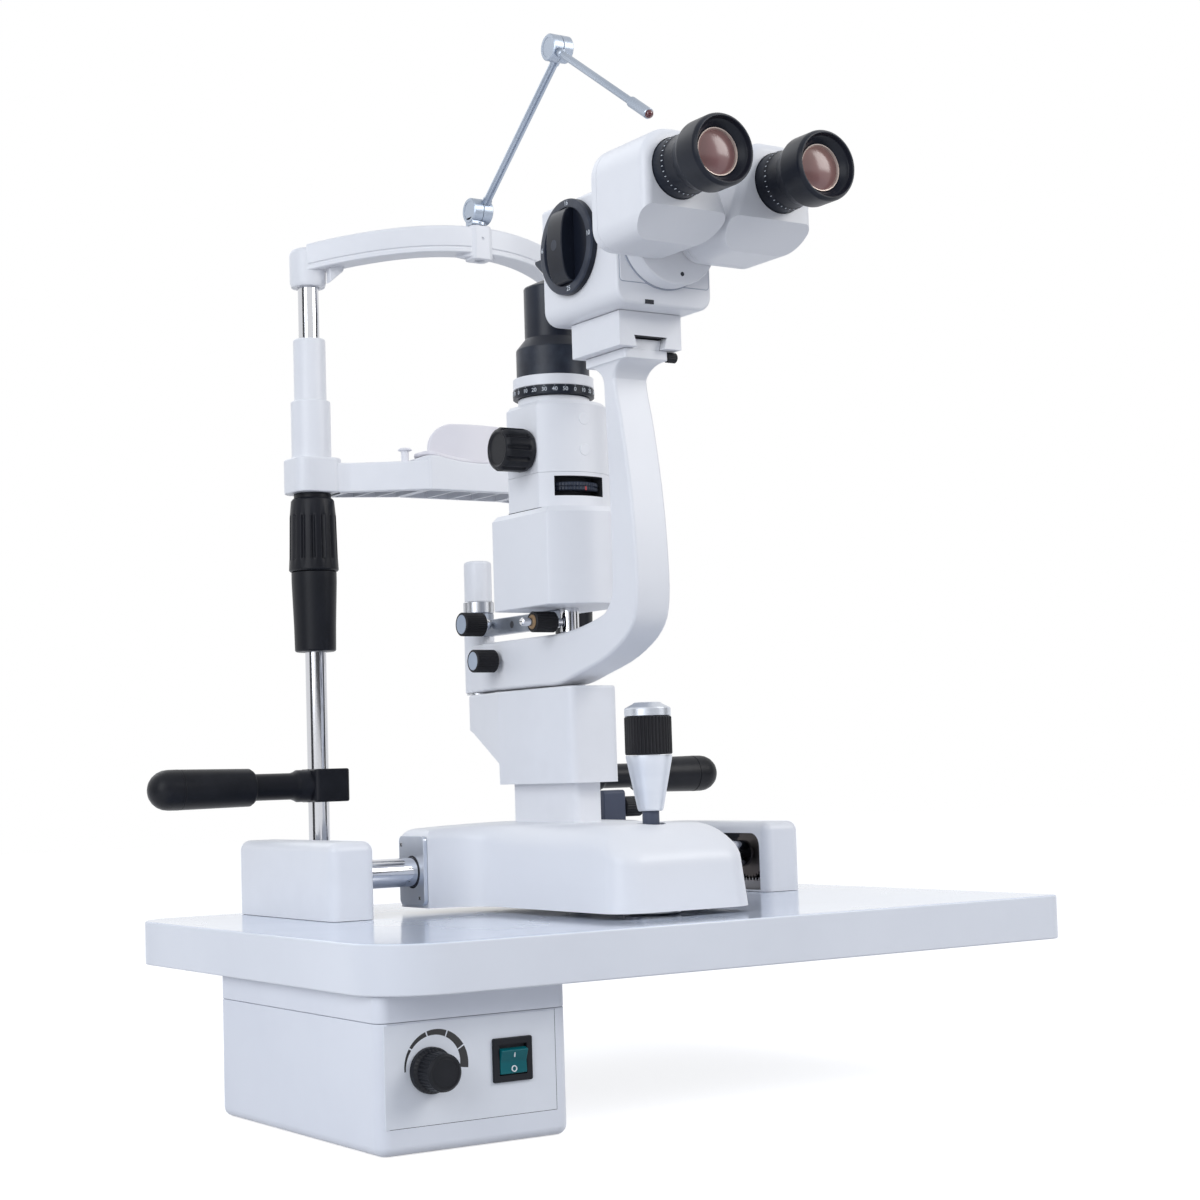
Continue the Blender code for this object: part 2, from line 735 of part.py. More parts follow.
def build_handle(side, name):
    x = side * POST_X
    low_x, high_x = sorted((side * (POST_X - HANDLE_CLAMP_INNER), side * (POST_X + HANDLE_CLAMP_OUTER)))
    handle = box("clamp", (low_x, POST_Y - HANDLE_CLAMP_HALF_Y, HANDLE_Z - HANDLE_CLAMP_HALF_Z),
                 (high_x, POST_Y + HANDLE_CLAMP_HALF_Y, HANDLE_Z + HANDLE_CLAMP_HALF_Z),
                 0.004, (0.0015, 0.0015))
    start = POST_X + HANDLE_CLAMP_OUTER - BITE
    dome = GRIP_END - GRIP_R_OUT
    profile = [(0.0, GRIP_END)]
    for turn in range(1, 6):
        angle = math.radians(18.0 * turn)
        profile.append((GRIP_R_OUT * math.sin(angle), dome + GRIP_R_OUT * math.cos(angle)))
    profile += [
        (GRIP_R_IN, HANDLE_ARM_END + 0.0015), (GRIP_R_IN - 0.0015, HANDLE_ARM_END),
        (HANDLE_ARM_R, HANDLE_ARM_END), (HANDLE_ARM_R, HANDLE_BOSS_END + 0.0015),
        (HANDLE_BOSS_R, HANDLE_BOSS_END), (HANDLE_BOSS_R, start), (0.0, start),
    ]
    arm = turned("arm", profile, (0.0, POST_Y, HANDLE_Z), "x" if side > 0 else "-x")
    join(handle, arm)
    reach = HANDLE_CLAMP_HALF_Z + BITE
    cut(handle, drill("bore", POST_R + GAP, HANDLE_Z - reach, HANDLE_Z + reach, (x, POST_Y, HANDLE_Z)))
    finish(handle, name + "_handle", BLACK_PLASTIC)


def build_elevation(chin, knob):
    at = (-POST_X, POST_Y, 0.0)
    counterbore = LIFT_TUBE_R + GAP
    tight = POST_R + GAP
    sleeve_top = ELEVATION_LOW - GAP
    sleeve = turned("sleeve", [
        (counterbore, sleeve_top), (SUPPORT_R_TOP, sleeve_top), (SUPPORT_R_LOW, SUPPORT_LOW + 0.001),
        (SUPPORT_R_LOW - 0.001, SUPPORT_LOW), (tight, SUPPORT_LOW), (tight, LIFT_TUBE_LOW - 0.004),
        (counterbore, LIFT_TUBE_LOW - 0.004),
    ], at)
    finish(sleeve, "left_support_sleeve", BLACK_PLASTIC)

    shoulder = ELEVATION_TOP - 0.004
    grip = turned("grip", [
        (counterbore, ELEVATION_TOP), (ELEVATION_R_TOP - 0.002, ELEVATION_TOP),
        (ELEVATION_R_TOP - 0.002, shoulder), (ELEVATION_R_TOP, shoulder - 0.002),
        (ELEVATION_R_LOW, ELEVATION_LOW + 0.001), (ELEVATION_R_LOW - 0.001, ELEVATION_LOW),
        (counterbore, ELEVATION_LOW),
    ], at)
    finish(grip, "chin_elevation_knob", BLACK_PLASTIC, knob)

    tube = turned("tube", [
        (tight, CHIN_LOW + CHIN_FLOOR), (LIFT_TUBE_R, CHIN_LOW + CHIN_FLOOR),
        (LIFT_TUBE_R, LIFT_TUBE_LOW), (tight, LIFT_TUBE_LOW),
    ], at)
    finish(tube, "chin_lift_tube", SATIN_STEEL, chin)


def build_chin_bar(chin):
    half = rounded([
        (0.0, CHIN_FRONT_Y, 0.0), (CHIN_BLOCK_HALF, CHIN_FRONT_Y, 0.008),
        (CHIN_END_IN, POST_Y - CHIN_END_HALF_Y + TUCK, 0.010),
        (CHIN_END_OUT, POST_Y - CHIN_END_HALF_Y, 0.010), (CHIN_END_OUT, POST_Y + CHIN_END_HALF_Y, 0.010),
        (CHIN_END_IN, POST_Y + CHIN_END_HALF_Y - TUCK, 0.004), (CHIN_BLOCK_HALF, CHIN_BACK_Y, 0.008),
        (0.0, CHIN_BACK_Y, 0.0),
    ], math.radians(30.0))
    bar = slab("bar", [half[1:-1] + mirrored(half[1:-1])], "z", CHIN_LOW, CHIN_TOP - CHIN_STEP)
    middle = box("middle", (-CHIN_BLOCK_HALF, CHIN_FRONT_Y + TUCK, CHIN_TOP - 2 * CHIN_STEP),
                 (CHIN_BLOCK_HALF, CHIN_BACK_Y - TUCK, CHIN_TOP), 0.006, (0.0, 0.001))
    join(bar, middle)
    for side, _ in SIDE_NAMES:
        x = side * POST_X
        left, right = sorted((side * CHIN_END_IN, side * (CHIN_END_OUT - TUCK)))
        half_y = CHIN_END_HALF_Y - TUCK
        block = box("block", (left, POST_Y - half_y, CHIN_TOP - 2 * CHIN_STEP),
                    (right, POST_Y + half_y, CHIN_TOP), 0.010, (0.0, 0.001))
        sleeve = rod("sleeve", LOWER_SLEEVE_R, CHIN_TOP - CHIN_STEP / 2, LOWER_SLEEVE_TOP,
                     (x, POST_Y, 0.0))
        floor = CHIN_LOW + CHIN_FLOOR
        foot_r = (LIFT_TUBE_R if side < 0 else POST_R) + GAP
        sleeve_r = UPPER_SLEEVE_R + GAP
        top = LOWER_SLEEVE_TOP + BITE
        bore = turned("bore", [
            (0.0, top), (sleeve_r, top), (sleeve_r, floor), (foot_r, floor),
            (foot_r, CHIN_LOW - BITE), (0.0, CHIN_LOW - BITE),
        ], (x, POST_Y, 0.0), phase=math.pi / SIDES)
        join(bar, block, sleeve)
        cut(bar, bore)
        stem_low = CHIN_TOP - 2 * CHIN_STEP
        pin = turned("pin", [
            (0.0, PIN_TOP), (PIN_HEAD_R - 0.0015, PIN_TOP), (PIN_HEAD_R, PIN_TOP - 0.0015),
            (PIN_HEAD_R - 0.0005, PIN_TOP - 0.003), (PIN_R, PIN_TOP - 0.003),
            (PIN_R, stem_low), (0.0, stem_low),
        ], (side * PIN_X, PIN_Y, 0.0), sides=12)
        join(bar, pin)
    seat = saddle(-GAP, CUP_HALF + GAP)
    seat += [Vector((CUP_HALF + GAP, CHIN_TOP + CHIN_STEP)), Vector((-CUP_HALF - GAP, CHIN_TOP + CHIN_STEP))]
    cut(bar, slab("seat", [seat], "y", CHIN_FRONT_Y - BITE, CUP_Y[1] + GAP))
    finish(bar, "chin_bar", WHITE_PAINT, chin)


def saddle(lift, reach):
    """Points across the chin cup's tray, lifted above its underside, out to a reach."""
    points = []
    for index in range(CUP_PARTS + 1):
        x = -reach + 2 * reach * index / CUP_PARTS
        points.append(Vector((x, CUP_LOW + CUP_RISE * (x / CUP_HALF) ** 2 + lift)))
    return points


def cup_front(inset, reach):
    """The curved front of the chin cup in plan, from one side of a reach to the other."""
    points = []
    for index in range(CUP_PARTS + 1):
        x = -reach + 2 * reach * index / CUP_PARTS
        points.append(Vector((x, CUP_Y[0] + inset + CUP_BOW * (x / CUP_HALF) ** 2)))
    return points


def build_chin_cup(chin):
    """A saddle-shaped tray with a wall that curves round on the operator's side."""
    front, back = CUP_Y
    side = CUP_LOW + CUP_RISE + CUP_FLOOR + CUP_STEP
    wall = rounded([
        (CUP_HALF, side, 0.0), (CUP_WALL_HALF, side, 0.0), (CUP_WALL_HALF, CUP_TOP, CUP_WALL_R),
        (-CUP_WALL_HALF, CUP_TOP, CUP_WALL_R), (-CUP_WALL_HALF, side, 0.0), (-CUP_HALF, side, 0.0),
    ])
    cup = slab("cup", [saddle(0.0, CUP_HALF) + wall], "y", front - BITE, back)
    wide = CUP_HALF + BITE
    plan = cup_front(0.0, wide) + [Vector((wide, back + BITE)), Vector((-wide, back + BITE))]
    common(cup, slab("plan", [plan], "z", CUP_LOW - BITE, CUP_TOP + BITE))
    above = CUP_TOP + BITE
    hollow = slab("hollow", [saddle(CUP_FLOOR, wide) + [Vector((wide, above)), Vector((-wide, above))]],
                  "y", front, back + BITE)
    wider = wide + BITE
    room = cup_front(CUP_WALL, wider)
    room += [Vector((wider, back + 2 * BITE)), Vector((-wider, back + 2 * BITE))]
    common(hollow, slab("room", [room], "z", CUP_LOW, above + BITE))
    cut(cup, hollow)
    finish(cup, "chin_cup", WHITE_PLASTIC, chin)


def build_band():
    curve = bpy.data.curves.new("band", "CURVE")
    curve.dimensions = "3D"
    curve.twist_mode = "Z_UP"
    section = bpy.data.curves.new("section", "CURVE")
    section.dimensions = "2D"
    outline = rounded([
        (-BAND_HALF.x, -BAND_HALF.y, 0.0), (BAND_HALF.x, -BAND_HALF.y, 0.0),
        (BAND_HALF.x, BAND_HALF.y, 0.004), (-BAND_HALF.x, BAND_HALF.y, 0.004),
    ], math.radians(45.0))
    loop = section.splines.new("POLY")
    loop.points.add(len(outline) - 1)
    for point, (u, v) in zip(loop.points, outline):
        point.co = (u, v, 0.0, 1.0)
    loop.use_cyclic_u = True
    guide = place("section", section)
    curve.bevel_mode = "OBJECT"
    curve.bevel_object = guide
    curve.use_fill_caps = True
    path = curve.splines.new("POLY")
    path.points.add(BAND_STEPS)
    reach = POST_X
    for index in range(BAND_STEPS + 1):
        x = -reach + 2 * reach * index / BAND_STEPS
        swell = 1.0 - (x / BAND_SPAN) ** 2
        y = POST_Y - BAND_BOW * swell
        z = BAND_TOP + BAND_CROWN * swell - BAND_HALF.y
        path.points[index].co = (x, y, z, 1.0)
    band = from_curve(place("band", curve))
    bpy.data.objects.remove(guide, do_unlink=True)
    for side, _ in SIDE_NAMES:
        x = side * POST_X
        socket = turned("socket", [
            (0.0, BAND_END_TOP), (BAND_END_R - 0.004, BAND_END_TOP),
            (BAND_END_R, BAND_END_TOP - 0.004), (BAND_END_R, BAND_END_LOW), (0.0, BAND_END_LOW),
        ], (x, POST_Y, 0.0))
        join(band, socket)
        cut(band, drill("bore", POST_R + GAP, BAND_END_LOW - BITE, POST_TOP + GAP, (x, POST_Y, 0.0)))
    boss = box("boss", (-BOSS_HALF_X, BOSS_FRONT_Y, BOSS_LOW),
               (BOSS_HALF_X, SWIVEL_Y + BOSS_HALF_X, BOSS_TOP), 0.004)
    join(band, boss)
    cut(band, drill("bore", SWIVEL_PIN_R + GAP, SWIVEL_PIN_LOW - GAP, BOSS_TOP + BITE,
                  (0.0, SWIVEL_Y, 0.0), sides=16))
    finish(band, "forehead_band", WHITE_PAINT)


def half_drum(name, centre, side):
    """One half of a drum joint, on one side of its seam."""
    low, high = sorted((side * GAP / 2, side * DRUM_HALF))
    return rod(name, DRUM_R, centre[0] + low, centre[0] + high, centre, "x", 16)


def build_fixation(swivel, elbow, wrist):
    lower_drum = Vector((0.0, SWIVEL_Y, LOWER_DRUM_Z))
    left = Vector((-ROD_SHIFT, 0.0, 0.0))
    right = -left

    foot = half_drum("foot", lower_drum, -1)
    pin_top = LOWER_DRUM_Z - DRUM_R * 0.55
    pin = rod("pin", SWIVEL_PIN_R, SWIVEL_PIN_LOW, BOSS_TOP + GAP + BITE, (0.0, SWIVEL_Y, 0.0), sides=16)
    shoulder = box("shoulder", (-DRUM_HALF, SWIVEL_Y - 0.005, BOSS_TOP + GAP),
                   (-GAP / 2, SWIVEL_Y + 0.005, pin_top))
    neck = rod("neck", 0.006, BOSS_TOP + GAP, LOWER_DRUM_Z - DRUM_R - GAP, (0.0, SWIVEL_Y, 0.0), sides=16)
    join(foot, shoulder, neck, pin)
    finish(foot, "fixation_swivel", SATIN_STEEL, swivel)

    lower = half_drum("lower", lower_drum, 1)
    join(lower, tube_between("rod_1", lower_drum + right, UPPER_DRUM + right, LOWER_ROD_R),
         half_drum("top", UPPER_DRUM, 1))
    finish(lower, "fixation_lower_rod", SATIN_STEEL, elbow)

    upper = half_drum("upper", UPPER_DRUM, -1)
    along = (FIXATION_TIP - UPPER_DRUM).normalized()
    tip = FIXATION_TIP + left
    join(upper, tube_between("rod_2", UPPER_DRUM + left, tip, UPPER_ROD_R),
         tube_between("tip", tip - along * TIP_LENGTH, tip + along * TIP_R, TIP_R))
    finish(upper, "fixation_upper_rod", SATIN_STEEL, wrist)


# ---------------------------------------------------------------------------------------------
# Supply box
# ---------------------------------------------------------------------------------------------
def build_supply(knob, rocker):
    left, right = SUPPLY_X
    front, back = SUPPLY_Y
    wall = Vector((SUPPLY_WALL, SUPPLY_WALL, 0.0))
    seam_low = SUPPLY_SEAM - GAP
    low = Vector((left, front, SUPPLY_LOW))
    high = Vector((right, back, seam_low))
    case = box("case", low, high, SUPPLY_CORNER_R, (0.002, 0.0))
    inside = box("inside", low + wall + Vector((0.0, 0.0, SUPPLY_WALL)),
                 high - wall + Vector((0.0, 0.0, BITE)))
    recess_back = front + PANEL_THICK + GAP
    recess = box("recess", (PANEL_X[0] - GAP, front - BITE, PANEL_LOW - GAP),
                 (PANEL_X[1] + GAP, recess_back, SUPPLY_SEAM + BITE))
    margin = 0.008
    opening = box("opening", (PANEL_X[0] + margin, front - BITE, PANEL_LOW + margin),
                  (PANEL_X[1] - margin, front + 2 * SUPPLY_WALL, SUPPLY_SEAM - margin))
    cut(case, inside, recess, opening)
    finish(case, "supply_case", WHITE_PAINT)

    lid = box("lid", (left, front, SUPPLY_SEAM + GAP), (right, back, -GAP), SUPPLY_CORNER_R)
    cut(lid, box("lid_inside", Vector((left, front, SUPPLY_SEAM - BITE)) + wall,
                 Vector((right, back, -SUPPLY_WALL - GAP)) - wall))
    finish(lid, "supply_lid", WHITE_PAINT)

    panel = box("panel", (PANEL_X[0], front, PANEL_LOW), (PANEL_X[1], front + PANEL_THICK, seam_low),
                0.0, axis="y")
    shaft_hole = drill("shaft_hole", BRIGHTNESS_SHAFT_R + GAP, front - BITE, front + 0.01,
                     (BRIGHTNESS_AT.x, 0.0, BRIGHTNESS_AT.y), "y", 12)
    body = SWITCH_BODY_HALF + Vector((GAP, GAP))
    window = box("window", (SWITCH_AT.x - body.x, front - BITE, SWITCH_AT.y - body.y),
                 (SWITCH_AT.x + body.x, front + 0.01, SWITCH_AT.y + body.y))
    cut(panel, shaft_hole, window)
    finish(panel, "supply_panel", GREY_PAINT)

    at = (BRIGHTNESS_AT.x, front, BRIGHTNESS_AT.y)
    face = BRIGHTNESS_LENGTH
    dial = turned("dial", [
        (0.0, face), (BRIGHTNESS_R - 0.0015, face), (BRIGHTNESS_R, face - 0.0015),
        (BRIGHTNESS_R, BRIGHTNESS_RING + 0.001), (BRIGHTNESS_RING_R, BRIGHTNESS_RING),
        (BRIGHTNESS_RING_R, GAP), (BRIGHTNESS_SHAFT_R, GAP), (BRIGHTNESS_SHAFT_R, -0.010),
        (0.0, -0.010),
    ], at, "-y")
    finish(dial, "brightness_knob", BLACK_PLASTIC, knob)

    x, z = SWITCH_AT
    frame = box("frame", (x - SWITCH_FLANGE_HALF.x, front - SWITCH_PROUD, z - SWITCH_FLANGE_HALF.y),
                (x + SWITCH_FLANGE_HALF.x, front - GAP, z + SWITCH_FLANGE_HALF.y), 0.001, axis="y")
    body = box("body", (x - SWITCH_BODY_HALF.x, front - BITE, z - SWITCH_BODY_HALF.y),
               (x + SWITCH_BODY_HALF.x, front + SWITCH_DEPTH, z + SWITCH_BODY_HALF.y))
    well = box("well", (x - SWITCH_WELL_HALF.x, front - 2 * SWITCH_PROUD, z - SWITCH_WELL_HALF.y),
               (x + SWITCH_WELL_HALF.x, front + SWITCH_DEPTH - 0.004, z + SWITCH_WELL_HALF.y))
    join(frame, body)
    cut(frame, well)
    finish(frame, "switch_bezel", BLACK_PLASTIC)

    # The rocker is turned about its axle so that its upper half is pressed in and it is on.
    axle = Vector((0.0, front + 0.006))
    turn = Matrix.Rotation(-ROCKER_TILT, 2)
    shape = [(-0.0095, 0.0070), (-0.0080, 0.0), (-0.0095, -0.0070), (-0.006, -ROCKER_HALF.y),
             (0.0075, -0.0050), (0.0075, 0.0050), (-0.006, ROCKER_HALF.y)]
    outline = []
    for depth, height in shape:
        moved = turn @ Vector((depth, height))
        outline.append(Vector((axle.y + moved.x, z + moved.y)))
    key = slab("key", [outline], "x", x - ROCKER_HALF.x, x + ROCKER_HALF.x)
    finish(key, "switch_rocker", TEAL_PLASTIC, rocker)

    middle = (left + right) / 2
    floor = SUPPLY_LOW + SUPPLY_WALL + GAP
    coil = box("coil", (middle - COIL_HALF.x, COIL_Y - COIL_HALF.y, floor),
               (middle + COIL_HALF.x, COIL_Y + COIL_HALF.y, COIL_TOP), 0.004)
    finish(coil, "supply_transformer", SATIN_STEEL)


# ---------------------------------------------------------------------------------------------
# Axle and carriage
# ---------------------------------------------------------------------------------------------
def build_axle(axle, wheels):
    at = (0.0, AXLE_Y, AXLE_Z)
    bore = SHAFT_R + GAP
    tube = turned("tube", [
        (bore, AXLE_HALF), (AXLE_R, AXLE_HALF), (AXLE_R, -AXLE_HALF), (bore, -AXLE_HALF),
    ], at, "x")
    finish(tube, "axle_tube", CHROME, axle)

    wheel_r = AXLE_Z - RACK_TOP - GAP
    middle = (RAIL_INNER_X + RAIL_OUTER_X) / 2
    inner, outer = middle - 0.007, middle + 0.007
    end = outer + 0.004
    half = [(0.0, end), (SHAFT_R, end), (SHAFT_R, outer), (wheel_r, outer), (wheel_r, inner),
            (SHAFT_R, inner)]
    profile = half + [(radius, -height) for radius, height in reversed(half)]
    finish(turned("wheels", profile, at, "x", BROAD_SIDES), "wheel_set", SATIN_STEEL, wheels)


def cover_outline(inset):
    """The carriage cover seen from above: a blunt nose that flares into two wings."""
    half = COVER_HALF - inset
    wing = WING_HALF - END_PLATE - GAP - inset
    nose = rounded([(0.0, COVER_FRONT_Y + inset, 0.0), (half, COVER_FRONT_Y + inset, COVER_FRONT_R),
                    (half, FLARE_START_Y, 0.0)])
    right = nose[1:-1]
    steps = 5
    for index in range(steps + 1):
        angle = math.pi / 2 * index / steps
        right.append(Vector((
            half + (wing - half) * (1.0 - math.cos(angle)),
            FLARE_START_Y + (WING_FRONT_Y + inset - FLARE_START_Y) * math.sin(angle),
        )))
    right.append(Vector((wing, COVER_BACK_Y - inset)))
    outline = right + mirrored(right)
    return [Vector(across(*point)) for point in outline]


def build_carriage(carriage):
    cover = slab("cover", [cover_outline(0.0)], "z", COVER_LOW, COVER_TOP, (0.0, COVER_TOP_R), 3)
    inside = slab("inside", [cover_outline(COVER_WALL)], "z", COVER_LOW - BITE, COVER_TOP - COVER_WALL,
                  (0.0, COVER_TOP_R - COVER_WALL), 2)
    slot_half = COLUMN_HALF + GAP
    slot = box("slot", (CENTRE_X - slot_half, COLUMN_Y[0] - GAP, COVER_TOP - 2 * COVER_WALL),
               (CENTRE_X + slot_half, COLUMN_Y[1] + GAP, COVER_TOP + BITE))
    stick = drill("stick", STICK_HOLE_R, COVER_TOP - 2 * COVER_WALL, COVER_TOP + BITE,
                (CENTRE_X, STICK_Y, 0.0))
    bore = drill("bore", AXLE_R + GAP, CENTRE_X - WING_HALF, CENTRE_X + WING_HALF,
               (0.0, AXLE_Y, AXLE_Z), "x")
    bracket = box("bracket", (LOCK_BRACKET_X[0], AXLE_Y - LOCK_BRACKET_HALF_Y, COVER_TOP - 2 * COVER_WALL),
                  (LOCK_BRACKET_X[1], AXLE_Y + LOCK_BRACKET_HALF_Y, LOCK_BRACKET_TOP),
                  0.003, axis="x")
    screw_hole = drill("screw_hole", LOCK_SCREW_R + GAP, LOCK_BRACKET_X[1] - LOCK_SCREW_IN - GAP,
                     LOCK_BRACKET_X[1] + BITE, (0.0, AXLE_Y, LOCK_KNOB_Z), "x", 12)
    bar_front = WING_FRONT_Y + COVER_WALL
    bar_room = box("bar_room", (CENTRE_X - WING_HALF, bar_front, COVER_LOW - BITE),
                   (CENTRE_X + WING_HALF, END_PLATE_BACK_Y + GAP, BASE_TOP + GAP))
    cut(cover, inside, slot, stick, bore, bar_room)
    join(cover, bracket)
    cut(cover, screw_hole)
    finish(cover, "carriage_cover", WHITE_PAINT, carriage)

    fit = COVER_WALL + 2 * GAP
    half = COVER_HALF - fit
    chassis = box("base", (CENTRE_X - half, COVER_FRONT_Y + COVER_FRONT_R, BASE_LOW),
                  (CENTRE_X + half, COLUMN_Y[1], BASE_TOP), 0.004)
    bar = box("bar", (CENTRE_X - WING_HALF + END_PLATE / 2, WING_FRONT_Y + fit, BASE_LOW),
              (CENTRE_X + WING_HALF - END_PLATE / 2, END_PLATE_BACK_Y, BASE_TOP))
    foot = rod("foot", FOOT_R, BOARD_THICK + GAP, BASE_LOW + BITE, (CENTRE_X, STICK_Y, 0.0))
    socket = turned("socket", [
        (SOCKET_R[0], STICK_PIVOT_Z + 0.004), (SOCKET_R[1], STICK_PIVOT_Z + 0.004),
        (SOCKET_R[1], BASE_TOP - BITE), (SOCKET_R[0], BASE_TOP - BITE),
    ], (CENTRE_X, STICK_Y, 0.0))
    join(chassis, bar, foot, socket)
    for side, _ in SIDE_NAMES:
        inner, outer = sorted((side * (WING_HALF - END_PLATE), side * WING_HALF))
        plate = box("plate", (CENTRE_X + inner, WING_FRONT_Y, BASE_LOW),
                    (CENTRE_X + outer, END_PLATE_BACK_Y, END_PLATE_TOP), 0.004, axis="x")
        join(chassis, plate)
    cut(chassis, drill("bore", AXLE_R + GAP, CENTRE_X - WING_HALF - BITE, CENTRE_X + WING_HALF + BITE,
                     (0.0, AXLE_Y, AXLE_Z), "x"))
    finish(chassis, "carriage_chassis", SATIN_STEEL, carriage)

    front, back = COLUMN_Y
    column = box("column", (CENTRE_X - COLUMN_HALF, front, COLUMN_HEEL),
                 (CENTRE_X + COLUMN_HALF, back, COLUMN_TOP), 0.004)
    heel = box("heel", (CENTRE_X - COLUMN_HALF, front, BASE_TOP + GAP),
               (CENTRE_X + COLUMN_HALF, COLUMN_HEEL_Y, COLUMN_HEEL + BITE), 0.004)
    join(column, heel)
    finish(column, "base_column", WHITE_PAINT, carriage)


def build_carriage_lock(lock):
    inner, outer = LOCK_KNOB_X
    tip = LOCK_BRACKET_X[1] - LOCK_SCREW_IN
    knob = turned("knob", [
        (0.0, outer), (LOCK_KNOB_R - 0.0015, outer), (LOCK_KNOB_R, outer - 0.0015),
        (LOCK_KNOB_R, inner), (LOCK_SCREW_R, inner), (LOCK_SCREW_R, tip), (0.0, tip),
    ], (0.0, AXLE_Y, LOCK_KNOB_Z), "x", 16)
    finish(knob, "carriage_lock_knob", BLACK_PLASTIC, lock)


def build_joystick(gimbal, stick, grip):
    at = (CENTRE_X, STICK_Y, 0.0)
    inner, outer = GIMBAL_R
    ring = turned("ring", [
        (inner, STICK_PIVOT_Z + GIMBAL_HALF), (outer, STICK_PIVOT_Z + GIMBAL_HALF),
        (outer, STICK_PIVOT_Z - GIMBAL_HALF), (inner, STICK_PIVOT_Z - GIMBAL_HALF),
    ], at)
    for side, _ in SIDE_NAMES:
        low, high = sorted((side * (outer - 0.0005), side * (SOCKET_R[0] - 2 * GAP)))
        join(ring, rod("pin", GIMBAL_PIN_R, CENTRE_X + low, CENTRE_X + high,
                       (0.0, STICK_Y, STICK_PIVOT_Z), "x", 8))
    finish(ring, "joystick_liner", SATIN_STEEL, gimbal)

    ball = []
    for turn in range(9):
        angle = math.radians(47.0 + 10.75 * turn)
        ball.append((STICK_BALL_R * math.sin(angle), STICK_PIVOT_Z + STICK_BALL_R * math.cos(angle)))
    tail_r = ball[-1][0] * 0.7
    profile = [
        (0.0, STICK_CAP_TOP), (STICK_CAP_R, STICK_CAP_TOP), (STICK_CONE_R[1], STICK_CAP_TOP - 0.005),
        (STICK_CONE_R[1], STICK_GRIP_TOP + GAP), (STICK_CORE_R, STICK_GRIP_TOP + GAP),
        (STICK_CORE_R, STICK_CONE[1]), (STICK_CONE_R[1], STICK_CONE[1]),
        (STICK_CONE_R[0], STICK_CONE[0]), (STICK_R, STICK_CONE[0]),
    ]
    profile += ball
    profile += [(tail_r, STICK_PIVOT_Z - STICK_BALL_R), (tail_r, STICK_TAIL_Z), (0.0, STICK_TAIL_Z)]
    finish(turned("stem", profile, at), "joystick_stem", SATIN_STEEL, stick)

    bore = STICK_CORE_R + GAP
    sleeve = turned("sleeve", [
        (bore, STICK_GRIP_TOP), (STICK_GRIP_R, STICK_GRIP_TOP), (STICK_GRIP_R, STICK_CONE[1] + GAP),
        (bore, STICK_CONE[1] + GAP),
    ], at)
    finish(sleeve, "joystick_grip", BLACK_PLASTIC, grip)


# ---------------------------------------------------------------------------------------------
# Column head and pivot
# ---------------------------------------------------------------------------------------------
def build_head(lift):
    front, back = HEAD_Y
    tip_y = PIVOT_Y + PIVOT_BOSS_R
    side_view = [
        Vector((front, HEAD_LOW)), Vector((back, HEAD_LOW)), Vector((back, HEAD_REAR_LOW)),
        Vector(HEAD_TONGUE), Vector((tip_y + BITE, HEAD_TONGUE[1])), Vector((tip_y + BITE, HEAD_TOP)),
        Vector((front, HEAD_TOP)),
    ]
    head = slab("head", [side_view], "x", CENTRE_X - HEAD_HALF - BITE, CENTRE_X + HEAD_HALF + BITE)
    plan = rounded([
        (-HEAD_HALF, front, 0.005), (HEAD_HALF, front, 0.005), (HEAD_HALF, back, 0.010),
        (PIVOT_BOSS_R, tip_y - 0.004, PIVOT_BOSS_R * 0.8),
        (-PIVOT_BOSS_R, tip_y - 0.004, PIVOT_BOSS_R * 0.8),
        (-HEAD_HALF, back, 0.010),
    ])
    plan = [Vector(across(*point)) for point in plan]
    common(head, slab("plan", [plan], "z", HEAD_LOW - BITE, HEAD_TOP, (0.0, 0.002)))
    run = COLUMN_HALF + GAP
    cavity = box("cavity", (CENTRE_X - run, COLUMN_Y[0] - GAP, HEAD_LOW - BITE),
                 (CENTRE_X + run, COLUMN_Y[1] + GAP, HEAD_CAVITY_TOP), 0.003)
    bore = drill("bore", PIVOT_R + GAP, PIVOT_SEAT - GAP, HEAD_TOP + BITE, (CENTRE_X, PIVOT_Y, 0.0))
    cut(head, cavity, bore)
    finish(head, "column_head", WHITE_PAINT, lift)

    washer = (HEAD_TOP + GAP, SCOPE_HUB[0] - GAP)
    post = turned("post", [
        (0.0, PIVOT_CAP_TOP), (PIVOT_CAP_R - 0.003, PIVOT_CAP_TOP), (PIVOT_CAP_R, PIVOT_CAP_TOP - 0.003),
        (PIVOT_CAP_R, PIVOT_RING_TOP), (PIVOT_RING_R, PIVOT_RING_TOP), (PIVOT_RING_R, LAMP_HUB[1] + GAP),
        (PIVOT_R, LAMP_HUB[1] + GAP), (PIVOT_R, washer[1]), (WASHER_R, washer[1]),
        (WASHER_R, washer[0]), (PIVOT_R, washer[0]), (PIVOT_R, PIVOT_SEAT), (0.0, PIVOT_SEAT),
    ], (CENTRE_X, PIVOT_Y, 0.0))
    finish(post, "pivot_post", WHITE_PAINT, lift)


